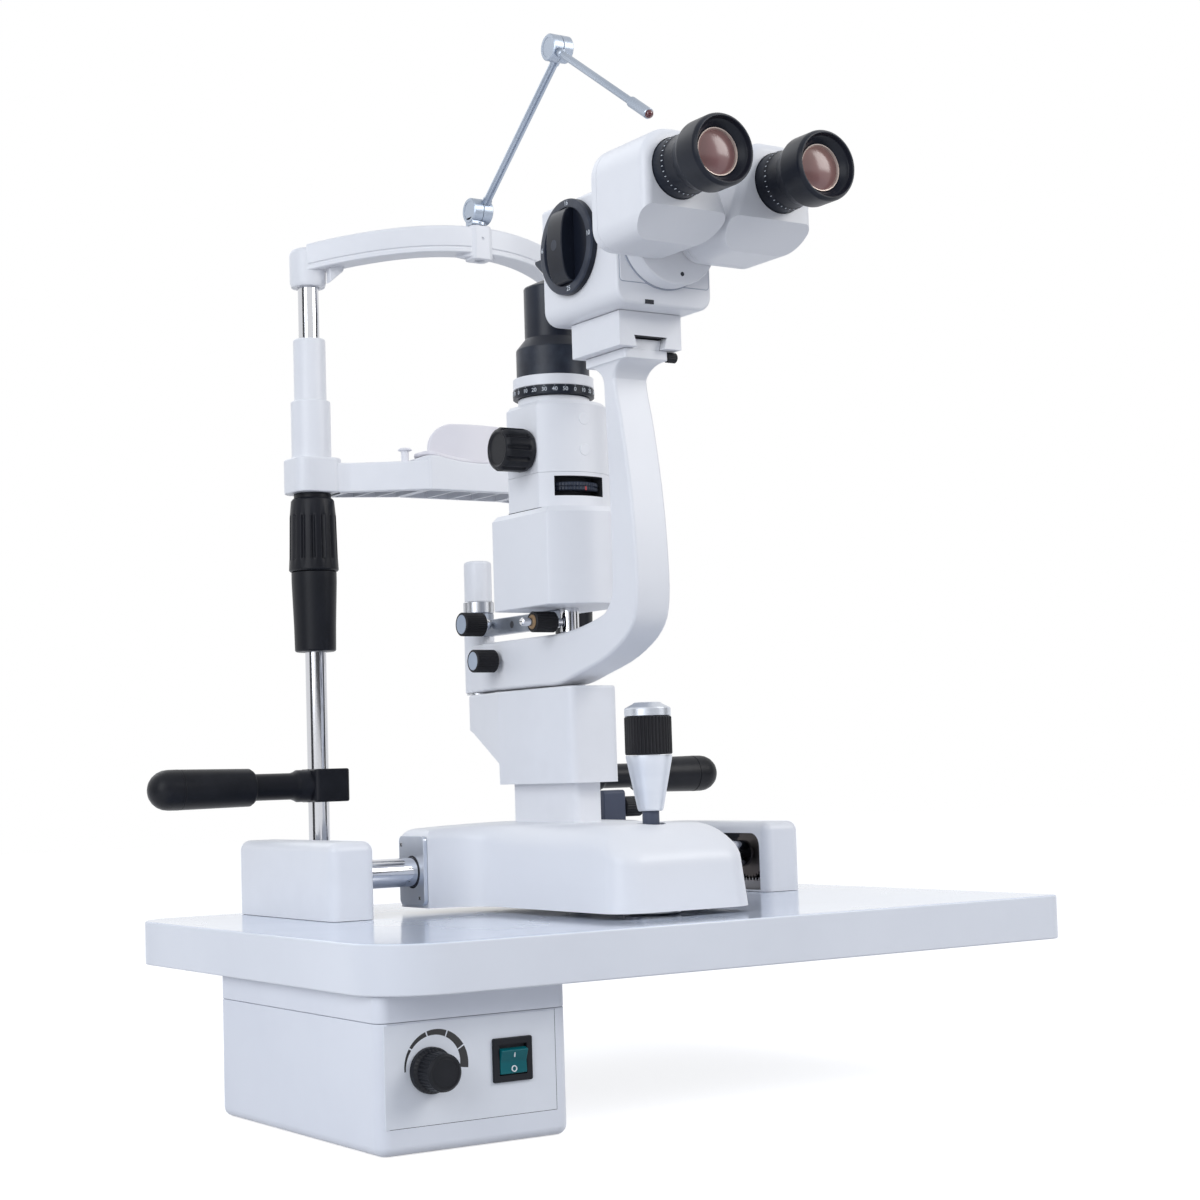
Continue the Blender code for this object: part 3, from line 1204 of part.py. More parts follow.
# ---------------------------------------------------------------------------------------------
# Microscope
# ---------------------------------------------------------------------------------------------
def build_scope_arm(scope):
    rear = PIVOT_Y
    low, high = SCOPE_HUB
    view = [Vector((rear, ARM_OUTER[0][1]))] + [Vector(point) for point in ARM_OUTER]
    view += [Vector(point) for point in ARM_INNER] + [Vector((rear, ARM_SHOULDER))]
    arm = slab("arm", [view], "x", CENTRE_X - ARM_HALF, CENTRE_X + ARM_HALF, (ARM_EDGE, ARM_EDGE), 1)
    plan = [
        across(-ARM_HALF - BITE, ARM_OUTER[4][0] - BITE), across(ARM_HALF + BITE, ARM_OUTER[4][0] - BITE),
        across(ARM_HALF + BITE, ARM_TAPER_Y), across(HUB_R - TUCK, rear), across(TUCK - HUB_R, rear),
        across(-ARM_HALF - BITE, ARM_TAPER_Y),
    ]
    common(arm, slab("plan", [plan], "z", low - BITE, ARM_PLATE_Z[0] + 2 * BITE))
    at = (CENTRE_X, PIVOT_Y, 0.0)
    hub = rod("hub", HUB_R, low, high, at)
    plate = box("plate", (CENTRE_X - ARM_PLATE_HALF, ARM_PLATE_Y[0], ARM_PLATE_Z[0]),
                (CENTRE_X + ARM_PLATE_HALF, ARM_PLATE_Y[1], ARM_PLATE_Z[1]), 0.002)
    foot, top = TAIL_HALF
    tail_outline = [
        across(-foot, ARM_PLATE_Z[1] - BITE), across(foot, ARM_PLATE_Z[1] - BITE),
        across(top, TAIL_TOP), across(-top, TAIL_TOP),
    ]
    tail = slab("tail", [tail_outline], "y", ARM_PLATE_Y[0] + TUCK, ARM_PLATE_Y[1] - TUCK)
    join(arm, hub, plate, tail)
    screw = drill("screw", 0.0015 + GAP, CENTRE_X + ARM_PLATE_HALF - TAIL_KNOB_INSET - GAP,
                CENTRE_X + ARM_PLATE_HALF + BITE,
                (0.0, ARM_PLATE_Y[0] + TAIL_KNOB_R, sum(ARM_PLATE_Z) / 2), "x", 12)
    cut(arm, drill("bore", PIVOT_R + GAP, low - BITE, high + BITE, at), screw)
    finish(arm, "microscope_arm", WHITE_PAINT, scope)

    mount_low = ARM_PLATE_Z[1] + GAP
    mount = box("mount", (CENTRE_X - MOUNT_HALF, MOUNT_Y[0], mount_low),
                (CENTRE_X + MOUNT_HALF, MOUNT_Y[1], MOUNT_TOP), 0.002)
    slot_outline = [
        across(-foot - GAP, mount_low - BITE), across(foot + GAP, mount_low - BITE),
        across(top + 2 * GAP, TAIL_TOP + GAP), across(-top - 2 * GAP, TAIL_TOP + GAP),
    ]
    cut(mount, slab("slot", [slot_outline], "y", MOUNT_Y[0] - BITE, MOUNT_Y[1] + BITE))
    finish(mount, "scope_mount", WHITE_PAINT, scope)


def build_scope_body(scope):
    low = MOUNT_TOP + GAP
    front, back = BODY_Y
    outline = [
        across(-BODY_HALF + BODY_CHAMFER, low), across(BODY_HALF - BODY_CHAMFER, low),
        across(BODY_HALF, low + BODY_CHAMFER), across(BODY_HALF, BODY_TOP),
        across(-BODY_HALF, BODY_TOP), across(-BODY_HALF, low + BODY_CHAMFER),
    ]
    body = slab("body", [outline], "y", front, back, (0.002, 0.002))
    flange = turned("flange", [
        (0.0, -FLANGE_Y), (FLANGE_R - FLANGE_EDGE, -FLANGE_Y), (FLANGE_R, -FLANGE_Y - FLANGE_EDGE),
        (FLANGE_R, -front - BITE), (0.0, -front - BITE),
    ], (CENTRE_X, 0.0, FLANGE_Z), "-y", BROAD_SIDES)
    join(body, flange)
    cavity = drill("cavity", CHANGER_CAVITY_R, CENTRE_X - BODY_HALF - BITE, CENTRE_X + CHANGER_CAVITY_END,
                 (0.0, DRUM_CENTRE_Y, OPTIC_Z), "x", BROAD_SIDES)
    rear = drill("rear", OBJECTIVE_R + GAP, OBJECTIVE_Y[0] - GAP, back + BITE,
                 (CENTRE_X, 0.0, OPTIC_Z), "y", WIDE_SIDES)
    cut(body, cavity, rear)
    for side, _ in SIDE_NAMES:
        x = CENTRE_X + side * OPTIC_HALF
        cut(body, drill("light", OPTIC_R, FLANGE_Y - BITE, DRUM_CENTRE_Y, (x, 0.0, OPTIC_Z), "y", 12))
    finish(body, "microscope_body", WHITE_PAINT, scope)

    seat, front_glass = OBJECTIVE_Y
    lens = turned("lens", [
        (0.0, front_glass - 0.002), (OBJECTIVE_R - 0.003, front_glass - 0.001),
        (OBJECTIVE_R - 0.003, front_glass), (OBJECTIVE_R, front_glass), (OBJECTIVE_R, seat),
        (0.0, seat),
    ], (CENTRE_X, 0.0, OPTIC_Z), "y", WIDE_SIDES)
    finish(lens, "objective", DARK_GLASS, scope)


def build_dial(dial):
    face = BODY_HALF + GAP
    top = face + DIAL_THICK
    end = -CHANGER_END
    wheel = turned("dial", [
        (0.0, top), (DIAL_R - 0.0015, top), (DIAL_R, top - 0.0015), (DIAL_R, face),
        (CHANGER_R, face), (CHANGER_R, end), (0.0, end),
    ], (CENTRE_X, DRUM_CENTRE_Y, OPTIC_Z), "-x", BROAD_SIDES)
    outer = CENTRE_X - top - DIAL_BAR_OUT
    bar = box("bar", (outer, DRUM_CENTRE_Y - DIAL_BAR_HALF.x, OPTIC_Z - DIAL_BAR_HALF.y),
              (CENTRE_X - top + BITE, DRUM_CENTRE_Y + DIAL_BAR_HALF.x, OPTIC_Z + DIAL_BAR_HALF.y),
              0.006, (0.003, 0.0), "x")
    join(wheel, bar)
    reach = CHANGER_R + BITE
    for side, _ in SIDE_NAMES:
        x = CENTRE_X + side * OPTIC_HALF
        cut(wheel, drill("lens_path", OPTIC_R, DRUM_CENTRE_Y - reach, DRUM_CENTRE_Y + reach,
                       (x, 0.0, OPTIC_Z), "y", 12))
    finish(wheel, "magnification_dial", BLACK_ANODISED, dial)


def build_scope_knobs(arm_lock, tail_lock):
    seat = CENTRE_X - ARM_HALF - GAP
    end = ARM_KNOB.x + ARM_KNOB_LENGTH
    knob = turned("knob", [
        (0.0, -ARM_KNOB.x), (ARM_KNOB_R - 0.001, -ARM_KNOB.x), (ARM_KNOB_R, -ARM_KNOB.x - 0.001),
        (ARM_KNOB_R, -end), (0.0035, -end), (0.0035, -seat), (0.0, -seat),
    ], (0.0, ARM_KNOB.y, ARM_KNOB.z), "-x")
    finish(knob, "arm_lock_knob", BLACK_PLASTIC, arm_lock)

    face = CENTRE_X + ARM_PLATE_HALF
    small = turned("small", [
        (0.0, face + TAIL_KNOB_LENGTH), (TAIL_KNOB_R, face + TAIL_KNOB_LENGTH), (TAIL_KNOB_R, face + GAP),
        (0.0015, face + GAP), (0.0015, face - TAIL_KNOB_INSET), (0.0, face - TAIL_KNOB_INSET),
    ], (0.0, ARM_PLATE_Y[0] + TAIL_KNOB_R, sum(ARM_PLATE_Z) / 2), "x", 12)
    finish(small, "dovetail_lock_knob", BLACK_PLASTIC, tail_lock)


def build_eyepiece(side, name, housing_pivot, eye_pivot):
    low, high = PRISM_Z
    front, back = PRISM_Y
    lean = (high - HINGE_Z) * math.tan(PRISM_LEAN)
    right = rounded([
        (PRISM_IN, low, 0.016), (PRISM_OUT, low, 0.014), (PRISM_OUT, high, 0.022),
        (PRISM_IN + lean, high, 0.012), (PRISM_IN, HINGE_Z, 0.0),
    ])
    outline = right if side > 0 else mirrored(right)
    outline = [Vector(across(*point)) for point in outline]
    housing = slab("housing", [outline], "y", front, back, (0.004, 0.0))
    slope = [Vector((front - BITE, PRISM_CHAMFER[0])), Vector((PRISM_CHAMFER[1], low - BITE)),
             Vector((front - BITE, low - BITE))]
    cut(housing, slab("slope", [slope], "x", CENTRE_X - PRISM_OUT - BITE,
                      CENTRE_X + PRISM_OUT + BITE))
    x = CENTRE_X + side * EYE_HALF
    barrel = rod("barrel", BARREL_R, BARREL_END_Y, front + BITE, (x, 0.0, EYE_Z), "y", WIDE_SIDES)
    join(housing, barrel)
    finish(housing, name + "_prism_housing", WHITE_PAINT, housing_pivot)

    barrel_length = front - BARREL_END_Y
    bore = BARREL_R + GAP
    lens_z = EYE_LENGTH - EYE_RECESS
    outer = [(radius, height) for radius, height in reversed(EYE_PROFILE)]
    ring = turned("ring", [
        (0.0, lens_z), (EYE_LENS_R, lens_z - 0.0015), (EYE_LENS_R + 0.002, EYE_LENGTH),
        (EYE_RIM_R, EYE_LENGTH), *outer, (bore, EYE_PROFILE[0][1]), (bore, barrel_length + GAP),
        (0.0, barrel_length + GAP),
    ], (x, front, EYE_Z), "-y", WIDE_SIDES)
    finish(ring, name + "_dioptre_ring", BLACK_ANODISED, eye_pivot)


# ---------------------------------------------------------------------------------------------
# Illumination
# ---------------------------------------------------------------------------------------------
def build_lamp_arm(lamp):
    low, high = LAMP_ARM_Z
    clear = PIVOT_Y - HUB_R - 0.0015
    view = [
        Vector((LAMP_SHAFT_Y, low)), Vector((clear, low)), Vector((clear, LAMP_HUB[0] + TUCK)),
        Vector((PIVOT_Y - PIVOT_R - BITE, LAMP_HUB[0] + TUCK)), Vector((PIVOT_Y - PIVOT_R - BITE, high)),
        Vector((LAMP_SHAFT_Y, high)),
    ]
    arm = slab("arm", [view], "x", CENTRE_X - LAMP_ARM_HALF, CENTRE_X + LAMP_ARM_HALF)
    hub_at = (CENTRE_X, PIVOT_Y, 0.0)
    shaft_at = (CENTRE_X, LAMP_SHAFT_Y, 0.0)
    join(arm, rod("hub", HUB_R, LAMP_HUB[0], LAMP_HUB[1], hub_at),
         rod("shaft", LAMP_SHAFT_R, LAMP_SHAFT_Z[0], LAMP_SHAFT_Z[1], shaft_at))
    cut(arm, drill("bore", PIVOT_R + GAP, LAMP_HUB[0] - BITE, LAMP_HUB[1] + BITE, hub_at),
        drill("hole", LAMP_ARM_HOLE_R, CENTRE_X - 0.01, CENTRE_X + 0.01,
            (0.0, LAMP_ARM_HOLE_Y, (low + high) / 2), "x", 12))
    finish(arm, "illumination_arm", GREY_PAINT, lamp)


def build_lamp_knobs(lock, centring):
    outer, inner = LAMP_KNOB_X
    seat = CENTRE_X - LAMP_ARM_HALF - GAP
    knob = turned("knob", [
        (0.0, -outer), (LAMP_KNOB_R - 0.001, -outer), (LAMP_KNOB_R, -outer - 0.001),
        (LAMP_KNOB_R, -inner), (0.004, -inner), (0.004, -seat + 0.002), (0.002, -seat), (0.0, -seat),
    ], (0.0, LAMP_KNOB_Y, LAMP_KNOB_Z), "-x")
    finish(knob, "illumination_lock_knob", BLACK_PLASTIC, lock)

    outer, inner = CENTRING_X
    seat = CENTRE_X - LAMP_SHAFT_R - GAP
    tip = -outer + CENTRING_TIP
    screw = turned("screw", [
        (0.0, tip), (0.003, tip), (0.0035, -outer), (CENTRING_R - 0.001, -outer),
        (CENTRING_R, -outer - 0.001), (CENTRING_R, -inner), (0.003, -inner), (0.003, -seat),
        (0.0, -seat),
    ], (0.0, LAMP_SHAFT_Y, CENTRING_Z), "-x")
    finish(screw, "centring_knob", BLACK_PLASTIC, centring)


def tower_outline(radius, half, back):
    """A round front between two flat sides, with a flat back, about the tower's axis."""
    reach = math.asin(half / radius)
    steps = 6
    outline = []
    for index in range(steps + 1):
        angle = -reach + 2 * reach * index / steps
        outline.append(Vector((radius * math.sin(angle), -radius * math.cos(angle))))
    outline += [Vector((half, back)), Vector((-half, back))]
    return [Vector((CENTRE_X + point.x, TOWER_Y + point.y)) for point in outline]


def build_tower(tower):
    axis = (CENTRE_X, TOWER_Y, 0.0)
    shaft_at = (CENTRE_X, LAMP_SHAFT_Y, 0.0)
    low, high = HOUSING_Z
    housing = slab("housing", [tower_outline(HOUSING_R, HOUSING_HALF, HOUSING_BACK)], "z", low, high,
                   (0.001, HOUSING_SHOULDER))
    wall = HOUSING_WALL
    inside = slab("inside", [tower_outline(HOUSING_R - wall, HOUSING_HALF - wall, HOUSING_BACK - wall)],
                  "z", HOUSING_FLOOR, high - HOUSING_SHOULDER - wall / 2)
    mouth = drill("mouth", HOUSING_MOUTH_R, HOUSING_FLOOR + BITE, high + BITE, axis)
    socket = drill("socket", LAMP_SHAFT_R + GAP, low - BITE, LAMP_SHAFT_Z[1] + GAP, shaft_at)
    cut(housing, inside, mouth, socket)
    finish(housing, "lamp_housing", WHITE_PAINT, tower)

    floor = HOUSING_FLOOR + GAP
    bulb = turned("bulb", [
        (0.0, BULB_TOP), (BULB_R * 0.5, BULB_TOP - 0.001), (BULB_R * 0.9, BULB_TOP - 0.005),
        (BULB_R * 0.9, floor + 0.016), (BULB_R, floor + 0.014), (BULB_R, floor), (0.0, floor),
    ], axis)
    finish(bulb, "bulb", DARK_GLASS, tower)

    low, high = SLIT_Z
    body = slab("body", [tower_outline(SLIT_R, SLIT_HALF, SLIT_BACK)], "z", low, high, (0.0, 0.004))
    join(body, rod("neck", SLIT_NECK_R, high - BITE, SLIT_NECK_TOP, axis, sides=BROAD_SIDES))
    wheel_room = drill("wheel_room", WHEEL_R + GAP, WHEEL_Z[0] - GAP, WHEEL_Z[1] + GAP,
                     (CENTRE_X, WHEEL_Y, 0.0), sides=BROAD_SIDES)
    window_front = TOWER_Y - SLIT_R - BITE
    window = box("window", (CENTRE_X + WINDOW_X[0], window_front, WINDOW_Z[0]),
                 (CENTRE_X + WINDOW_X[1], window_front + WINDOW_DEPTH, WINDOW_Z[1]))
    shaft = drill("shaft", SLIT_SHAFT_R + GAP, CENTRE_X - SLIT_HALF - BITE, CENTRE_X - CHAMBER_R / 2,
                (0.0, SLIT_KNOB.y, SLIT_KNOB.z), "x", 12)
    light = turned("light", [
        (0.0, SLIT_NECK_TOP + BITE), (CHAMBER_R, SLIT_NECK_TOP + BITE), (CHAMBER_R, CHAMBER_LOW),
        (LIGHT_R, CHAMBER_LOW), (LIGHT_R, low - BITE), (0.0, low - BITE),
    ], axis, phase=math.pi / SIDES)
    cut(body, light, wheel_room, window, shaft)
    finish(body, "slit_body", WHITE_PAINT, tower)

    screw_top = MIRROR_TOP + 0.0025
    cone = turned("cone", [
        (0.0, NECK_Z[1]), (NECK_R - 0.003, NECK_Z[1]), (NECK_R, NECK_Z[1] - 0.005), (NECK_R, NECK_Z[0]),
        (CONE_R, CONE_TOP), (CONE_R, CONE_BAND_TOP), (CONE_BAND_R, CONE_BAND_TOP),
        (CONE_BAND_R, SCALE_TOP + GAP), (LIGHT_R, SCALE_TOP + GAP), (LIGHT_R, NECK_Z[1] - 0.004),
        (0.0, NECK_Z[1] - 0.004),
    ], axis, sides=BROAD_SIDES)
    near, far = MIRROR_Y
    rise = MIRROR_TOP - NECK_Z[1]
    view = [
        Vector((near, NECK_Z[1] - BITE)), Vector((far - rise, NECK_Z[1] - BITE)),
        Vector((far - rise, NECK_Z[1])), Vector((far, MIRROR_TOP)), Vector((near, MIRROR_TOP)),
    ]
    mirror = slab("mirror", [view], "x", CENTRE_X - MIRROR_HALF, CENTRE_X + MIRROR_HALF)
    screw = rod("screw", MIRROR_SCREW_R, MIRROR_TOP - BITE, screw_top,
                (CENTRE_X, near + MIRROR_SCREW_R + BITE, 0.0), sides=12)
    join(cone, mirror, screw)
    port = box("port", (CENTRE_X - MIRROR_HALF, far - rise + BITE, NECK_Z[1] - 0.006),
               (CENTRE_X + MIRROR_HALF, far, NECK_Z[1] + 0.0005))
    cut(cone, port)
    finish(cone, "mirror_cone", BLACK_ANODISED, tower)


def build_slit_parts(ring_pivot, knob_pivot, left_jaw, right_jaw, wheel_pivot):
    axis = (CENTRE_X, TOWER_Y, 0.0)
    scale_low = SLIT_NECK_TOP + GAP
    scale = turned("scale", [
        (CHAMBER_R, SCALE_TOP), (SCALE_R, SCALE_TOP), (SCALE_R, scale_low), (CHAMBER_R, scale_low),
    ], axis, sides=BROAD_SIDES)
    finish(scale, "slit_ring", BLACK_ANODISED, ring_pivot)

    face = CENTRE_X - SLIT_HALF - GAP
    outer = -SLIT_KNOB.x
    end = CENTRE_X - CHAMBER_R + 0.0022
    knob = turned("knob", [
        (0.0, outer), (SLIT_KNOB_R - 0.002, outer), (SLIT_KNOB_R, outer - 0.002),
        (SLIT_KNOB_R, -face), (SLIT_SHAFT_R, -face), (SLIT_SHAFT_R, -end), (0.0, -end),
    ], (0.0, SLIT_KNOB.y, SLIT_KNOB.z), "-x")
    finish(knob, "slit_width_knob", BLACK_PLASTIC, knob_pivot)

    low = CHAMBER_LOW + GAP
    for side, name, carrier in ((-1, "slit_jaw_left", left_jaw), (1, "slit_jaw_right", right_jaw)):
        inner, outer = sorted((side * GAP / 2, side * JAW.x))
        jaw = box("jaw", (CENTRE_X + inner, TOWER_Y - JAW.y, low),
                  (CENTRE_X + outer, TOWER_Y + JAW.y, low + JAW.z))
        finish(jaw, name, SATIN_STEEL, carrier)

    wheel_at = (CENTRE_X, WHEEL_Y, 0.0)
    wheel = rod("wheel", WHEEL_R, WHEEL_Z[0], WHEEL_Z[1], wheel_at, sides=BROAD_SIDES)
    for index in range(5):
        angle = math.radians(90.0 + 72.0 * index)
        hole_x = CENTRE_X + FILTER_RADIUS * math.cos(angle)
        hole_y = WHEEL_Y + FILTER_RADIUS * math.sin(angle)
        cut(wheel, drill("filter_hole", FILTER_R, WHEEL_Z[0] - BITE, WHEEL_Z[1] + BITE,
                         (hole_x, hole_y, 0.0), sides=12))
    finish(wheel, "filter_wheel", BLACK_ANODISED, wheel_pivot)


# ---------------------------------------------------------------------------------------------
# The joints' empties, then every part
# ---------------------------------------------------------------------------------------------
def build_all():
    build_board()
    for side, name in SIDE_NAMES:
        build_rail(side, name)
        build_post(side, name)
        build_handle(side, name)
    build_bracket()
    build_band()

    chin = pivot("chin_lift", (0.0, POST_Y, CHIN_LOW))
    elevation = pivot("elevation_turn", (-POST_X, POST_Y, ELEVATION_LOW))
    build_elevation(chin, elevation)
    build_chin_bar(chin)
    build_chin_cup(chin)

    swivel = pivot("fixation_turn", (0.0, SWIVEL_Y, LOWER_DRUM_Z))
    elbow = pivot("fixation_elbow", (0.0, SWIVEL_Y, LOWER_DRUM_Z), swivel)
    wrist = pivot("fixation_wrist", UPPER_DRUM, elbow)
    build_fixation(swivel, elbow, wrist)

    knob = pivot("brightness_turn", (BRIGHTNESS_AT.x, SUPPLY_Y[0], BRIGHTNESS_AT.y))
    rocker = pivot("rocker_tilt", (SWITCH_AT.x, SUPPLY_Y[0] + 0.006, SWITCH_AT.y))
    build_supply(knob, rocker)

    axle = pivot("axle_roll", (0.0, AXLE_Y, AXLE_Z))
    wheels = pivot("wheels_turn", (0.0, AXLE_Y, AXLE_Z), axle)
    build_axle(axle, wheels)
    carriage = pivot("carriage_slide", (CENTRE_X, AXLE_Y, AXLE_Z), axle)
    lock = pivot("carriage_lock_turn", (LOCK_KNOB_X[0], AXLE_Y, LOCK_KNOB_Z), carriage)
    build_carriage(carriage)
    build_carriage_lock(lock)
    stick_at = (CENTRE_X, STICK_Y, STICK_PIVOT_Z)
    gimbal = pivot("joystick_nod", stick_at, carriage)
    stick = pivot("joystick_lean", stick_at, gimbal)
    grip = pivot("joystick_turn", stick_at, stick)
    build_joystick(gimbal, stick, grip)

    lift = pivot("head_lift", (CENTRE_X, sum(COLUMN_Y) / 2, HEAD_LOW), carriage)
    build_head(lift)
    scope = pivot("scope_swing", (CENTRE_X, PIVOT_Y, SCOPE_HUB[0]), lift)
    build_scope_arm(scope)
    build_scope_body(scope)
    build_dial(pivot("dial_turn", (CENTRE_X, DRUM_CENTRE_Y, OPTIC_Z), scope))
    build_scope_knobs(
        pivot("arm_lock_turn", ARM_KNOB, scope),
        pivot("tail_lock_turn",
              (CENTRE_X + ARM_PLATE_HALF, ARM_PLATE_Y[0] + TAIL_KNOB_R, sum(ARM_PLATE_Z) / 2), scope),
    )
    for side, name in SIDE_NAMES:
        housing = pivot(name + "_swing", (CENTRE_X + side * HINGE_HALF, PRISM_Y[1], HINGE_Z), scope)
        eye = pivot(name + "_dioptre_turn", (CENTRE_X + side * EYE_HALF, PRISM_Y[0], EYE_Z), housing)
        build_eyepiece(side, name, housing, eye)

    lamp = pivot("lamp_swing", (CENTRE_X, PIVOT_Y, LAMP_HUB[0]), lift)
    build_lamp_arm(lamp)
    build_lamp_knobs(
        pivot("lamp_lock_turn", (LAMP_KNOB_X[1], LAMP_KNOB_Y, LAMP_KNOB_Z), lamp),
        pivot("centring_turn", (CENTRING_X[1], LAMP_SHAFT_Y, CENTRING_Z), lamp),
    )
    tower = pivot("tower_turn", (CENTRE_X, LAMP_SHAFT_Y, HOUSING_Z[0]), lamp)
    build_tower(tower)
    build_slit_parts(
        pivot("slit_turn", (CENTRE_X, TOWER_Y, SLIT_NECK_TOP), tower),
        pivot("slit_width_turn", (CENTRE_X - SLIT_HALF, SLIT_KNOB.y, SLIT_KNOB.z), tower),
        pivot("left_jaw_slide", (CENTRE_X, TOWER_Y, CHAMBER_LOW), tower),
        pivot("right_jaw_slide", (CENTRE_X, TOWER_Y, CHAMBER_LOW), tower),
        pivot("filter_turn", (CENTRE_X, WHEEL_Y, WHEEL_Z[0]), tower),
    )


build_all()
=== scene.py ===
import math

import bmesh
import bpy
from mathutils import Matrix, Vector


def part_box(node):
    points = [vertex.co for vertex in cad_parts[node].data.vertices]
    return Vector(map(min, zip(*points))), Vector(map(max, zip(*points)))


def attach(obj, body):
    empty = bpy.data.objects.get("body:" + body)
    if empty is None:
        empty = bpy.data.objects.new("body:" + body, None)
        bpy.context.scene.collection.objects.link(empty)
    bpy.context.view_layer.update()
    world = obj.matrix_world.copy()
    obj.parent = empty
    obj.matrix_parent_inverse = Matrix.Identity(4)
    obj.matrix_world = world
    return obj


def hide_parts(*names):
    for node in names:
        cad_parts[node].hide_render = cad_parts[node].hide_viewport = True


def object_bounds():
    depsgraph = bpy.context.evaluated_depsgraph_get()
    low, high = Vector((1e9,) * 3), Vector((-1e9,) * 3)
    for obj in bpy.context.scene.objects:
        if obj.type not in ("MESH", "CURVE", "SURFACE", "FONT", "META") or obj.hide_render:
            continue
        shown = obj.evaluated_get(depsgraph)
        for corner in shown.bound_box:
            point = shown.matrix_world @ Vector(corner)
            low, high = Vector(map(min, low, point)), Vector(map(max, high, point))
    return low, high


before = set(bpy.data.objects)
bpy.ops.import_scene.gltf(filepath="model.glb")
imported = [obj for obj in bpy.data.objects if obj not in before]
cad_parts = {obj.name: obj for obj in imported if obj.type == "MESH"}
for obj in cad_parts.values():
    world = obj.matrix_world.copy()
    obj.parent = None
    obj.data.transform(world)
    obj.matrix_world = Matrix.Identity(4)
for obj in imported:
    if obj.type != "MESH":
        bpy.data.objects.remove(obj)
cad_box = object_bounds()

# --- Camera, floor and lamps ---
# A long lens stands low in front of the instrument, to its left. The floor and the sky are plain
# white to the lens, and the floor keeps a soft shadow. Three black cards give the chrome its streaks.
scene = bpy.context.scene
SENSOR = 0.036
camera_data = bpy.data.cameras.new("camera")
camera_data.sensor_width = SENSOR * 1000
camera_data.lens = 66.375
camera_data.clip_start = 0.05
camera = bpy.data.objects.new("camera", camera_data)
camera.location = (-0.855, -1.318, 0.125)
camera.rotation_euler = [math.radians(turn) for turn in (94.431, 1.77, -32.955)]
scene.collection.objects.link(camera)
scene.camera = camera
scene.view_settings.view_transform = "Standard"


def set_inputs(item, **values):
    """Sets a node's inputs by name. An underscore stands for a space."""
    for title, value in values.items():
        item.inputs[title.replace("_", " ")].default_value = value


def node(tree, kind, operation=None, **values):
    """A new shader node with its inputs set."""
    made = tree.nodes.new("ShaderNode" + kind)
    if operation:
        made.operation = operation
    set_inputs(made, **values)
    return made


def wire(tree, *runs):
    """Links nodes. Each run is (node, output socket, node, input socket)."""
    for start, out, end, into in runs:
        tree.links.new(start.outputs[out], end.inputs[into])


def seen_share(tree, share):
    """The share of plain white that camera, mirror and glass rays find, and no others."""
    rays = node(tree, "LightPath")
    either = node(tree, "Math", "MAXIMUM")
    any_ray = node(tree, "Math", "MAXIMUM")
    scaled = node(tree, "Math", "MULTIPLY")
    scaled.inputs[1].default_value = share
    wire(tree, (rays, "Is Camera Ray", either, 0), (rays, "Is Glossy Ray", either, 1), (either, 0, any_ray, 0),
        (rays, "Is Transmission Ray", any_ray, 1), (any_ray, 0, scaled, 0))
    return scaled


sky = bpy.data.worlds.new("sky")
sky.use_nodes = True
scene.world = sky
sky_tree = sky.node_tree
sky_tree.nodes.clear()
soft_sky = node(sky_tree, "Background", Color=(0.8, 0.87, 1.0, 1.0), Strength=0.55)
white_sky = node(sky_tree, "Background", Color=(1.0, 1.0, 1.0, 1.0))
sky_mix = node(sky_tree, "MixShader")
sky_out = node(sky_tree, "OutputWorld")
wire(sky_tree, (seen_share(sky_tree, 1.0), 0, sky_mix, 0), (soft_sky, 0, sky_mix, 1),
    (white_sky, 0, sky_mix, 2), (sky_mix, 0, sky_out, "Surface"))

floor_look = bpy.data.materials.new("studio_floor")
floor_look.use_nodes = True
floor_tree = floor_look.node_tree
floor_tree.nodes.clear()
floor_paint = node(floor_tree, "BsdfDiffuse", Color=(0.5, 0.5, 0.51, 1.0))
floor_light = node(floor_tree, "Emission")
floor_sum = node(floor_tree, "AddShader")
floor_out = node(floor_tree, "OutputMaterial")
wire(floor_tree, (seen_share(floor_tree, 0.8), 0, floor_light, "Strength"), (floor_paint, 0, floor_sum, 0),
    (floor_light, 0, floor_sum, 1), (floor_sum, 0, floor_out, "Surface"))


def turn_to(facing):
    """The turn that brings Z round to facing."""
    return Vector((0, 0, 1)).rotation_difference(Vector(facing)).to_matrix()


def stage_sheet(name, look, at, half, facing):
    """A flat sheet of the studio, centred on at and turned towards facing."""
    bm = bmesh.new()
    turn = turn_to(facing).to_4x4()
    bmesh.ops.create_grid(bm, x_segments=1, y_segments=1, size=1.0, matrix=Matrix.Translation(at) @ turn
        @ Matrix.Diagonal((*half, 1.0, 1.0)))
    mesh = bpy.data.meshes.new(name)
    bm.to_mesh(mesh)
    bm.free()
    mesh.materials.append(look)
    sheet = bpy.data.objects.new(name, mesh)
    scene.collection.objects.link(sheet)
    return sheet


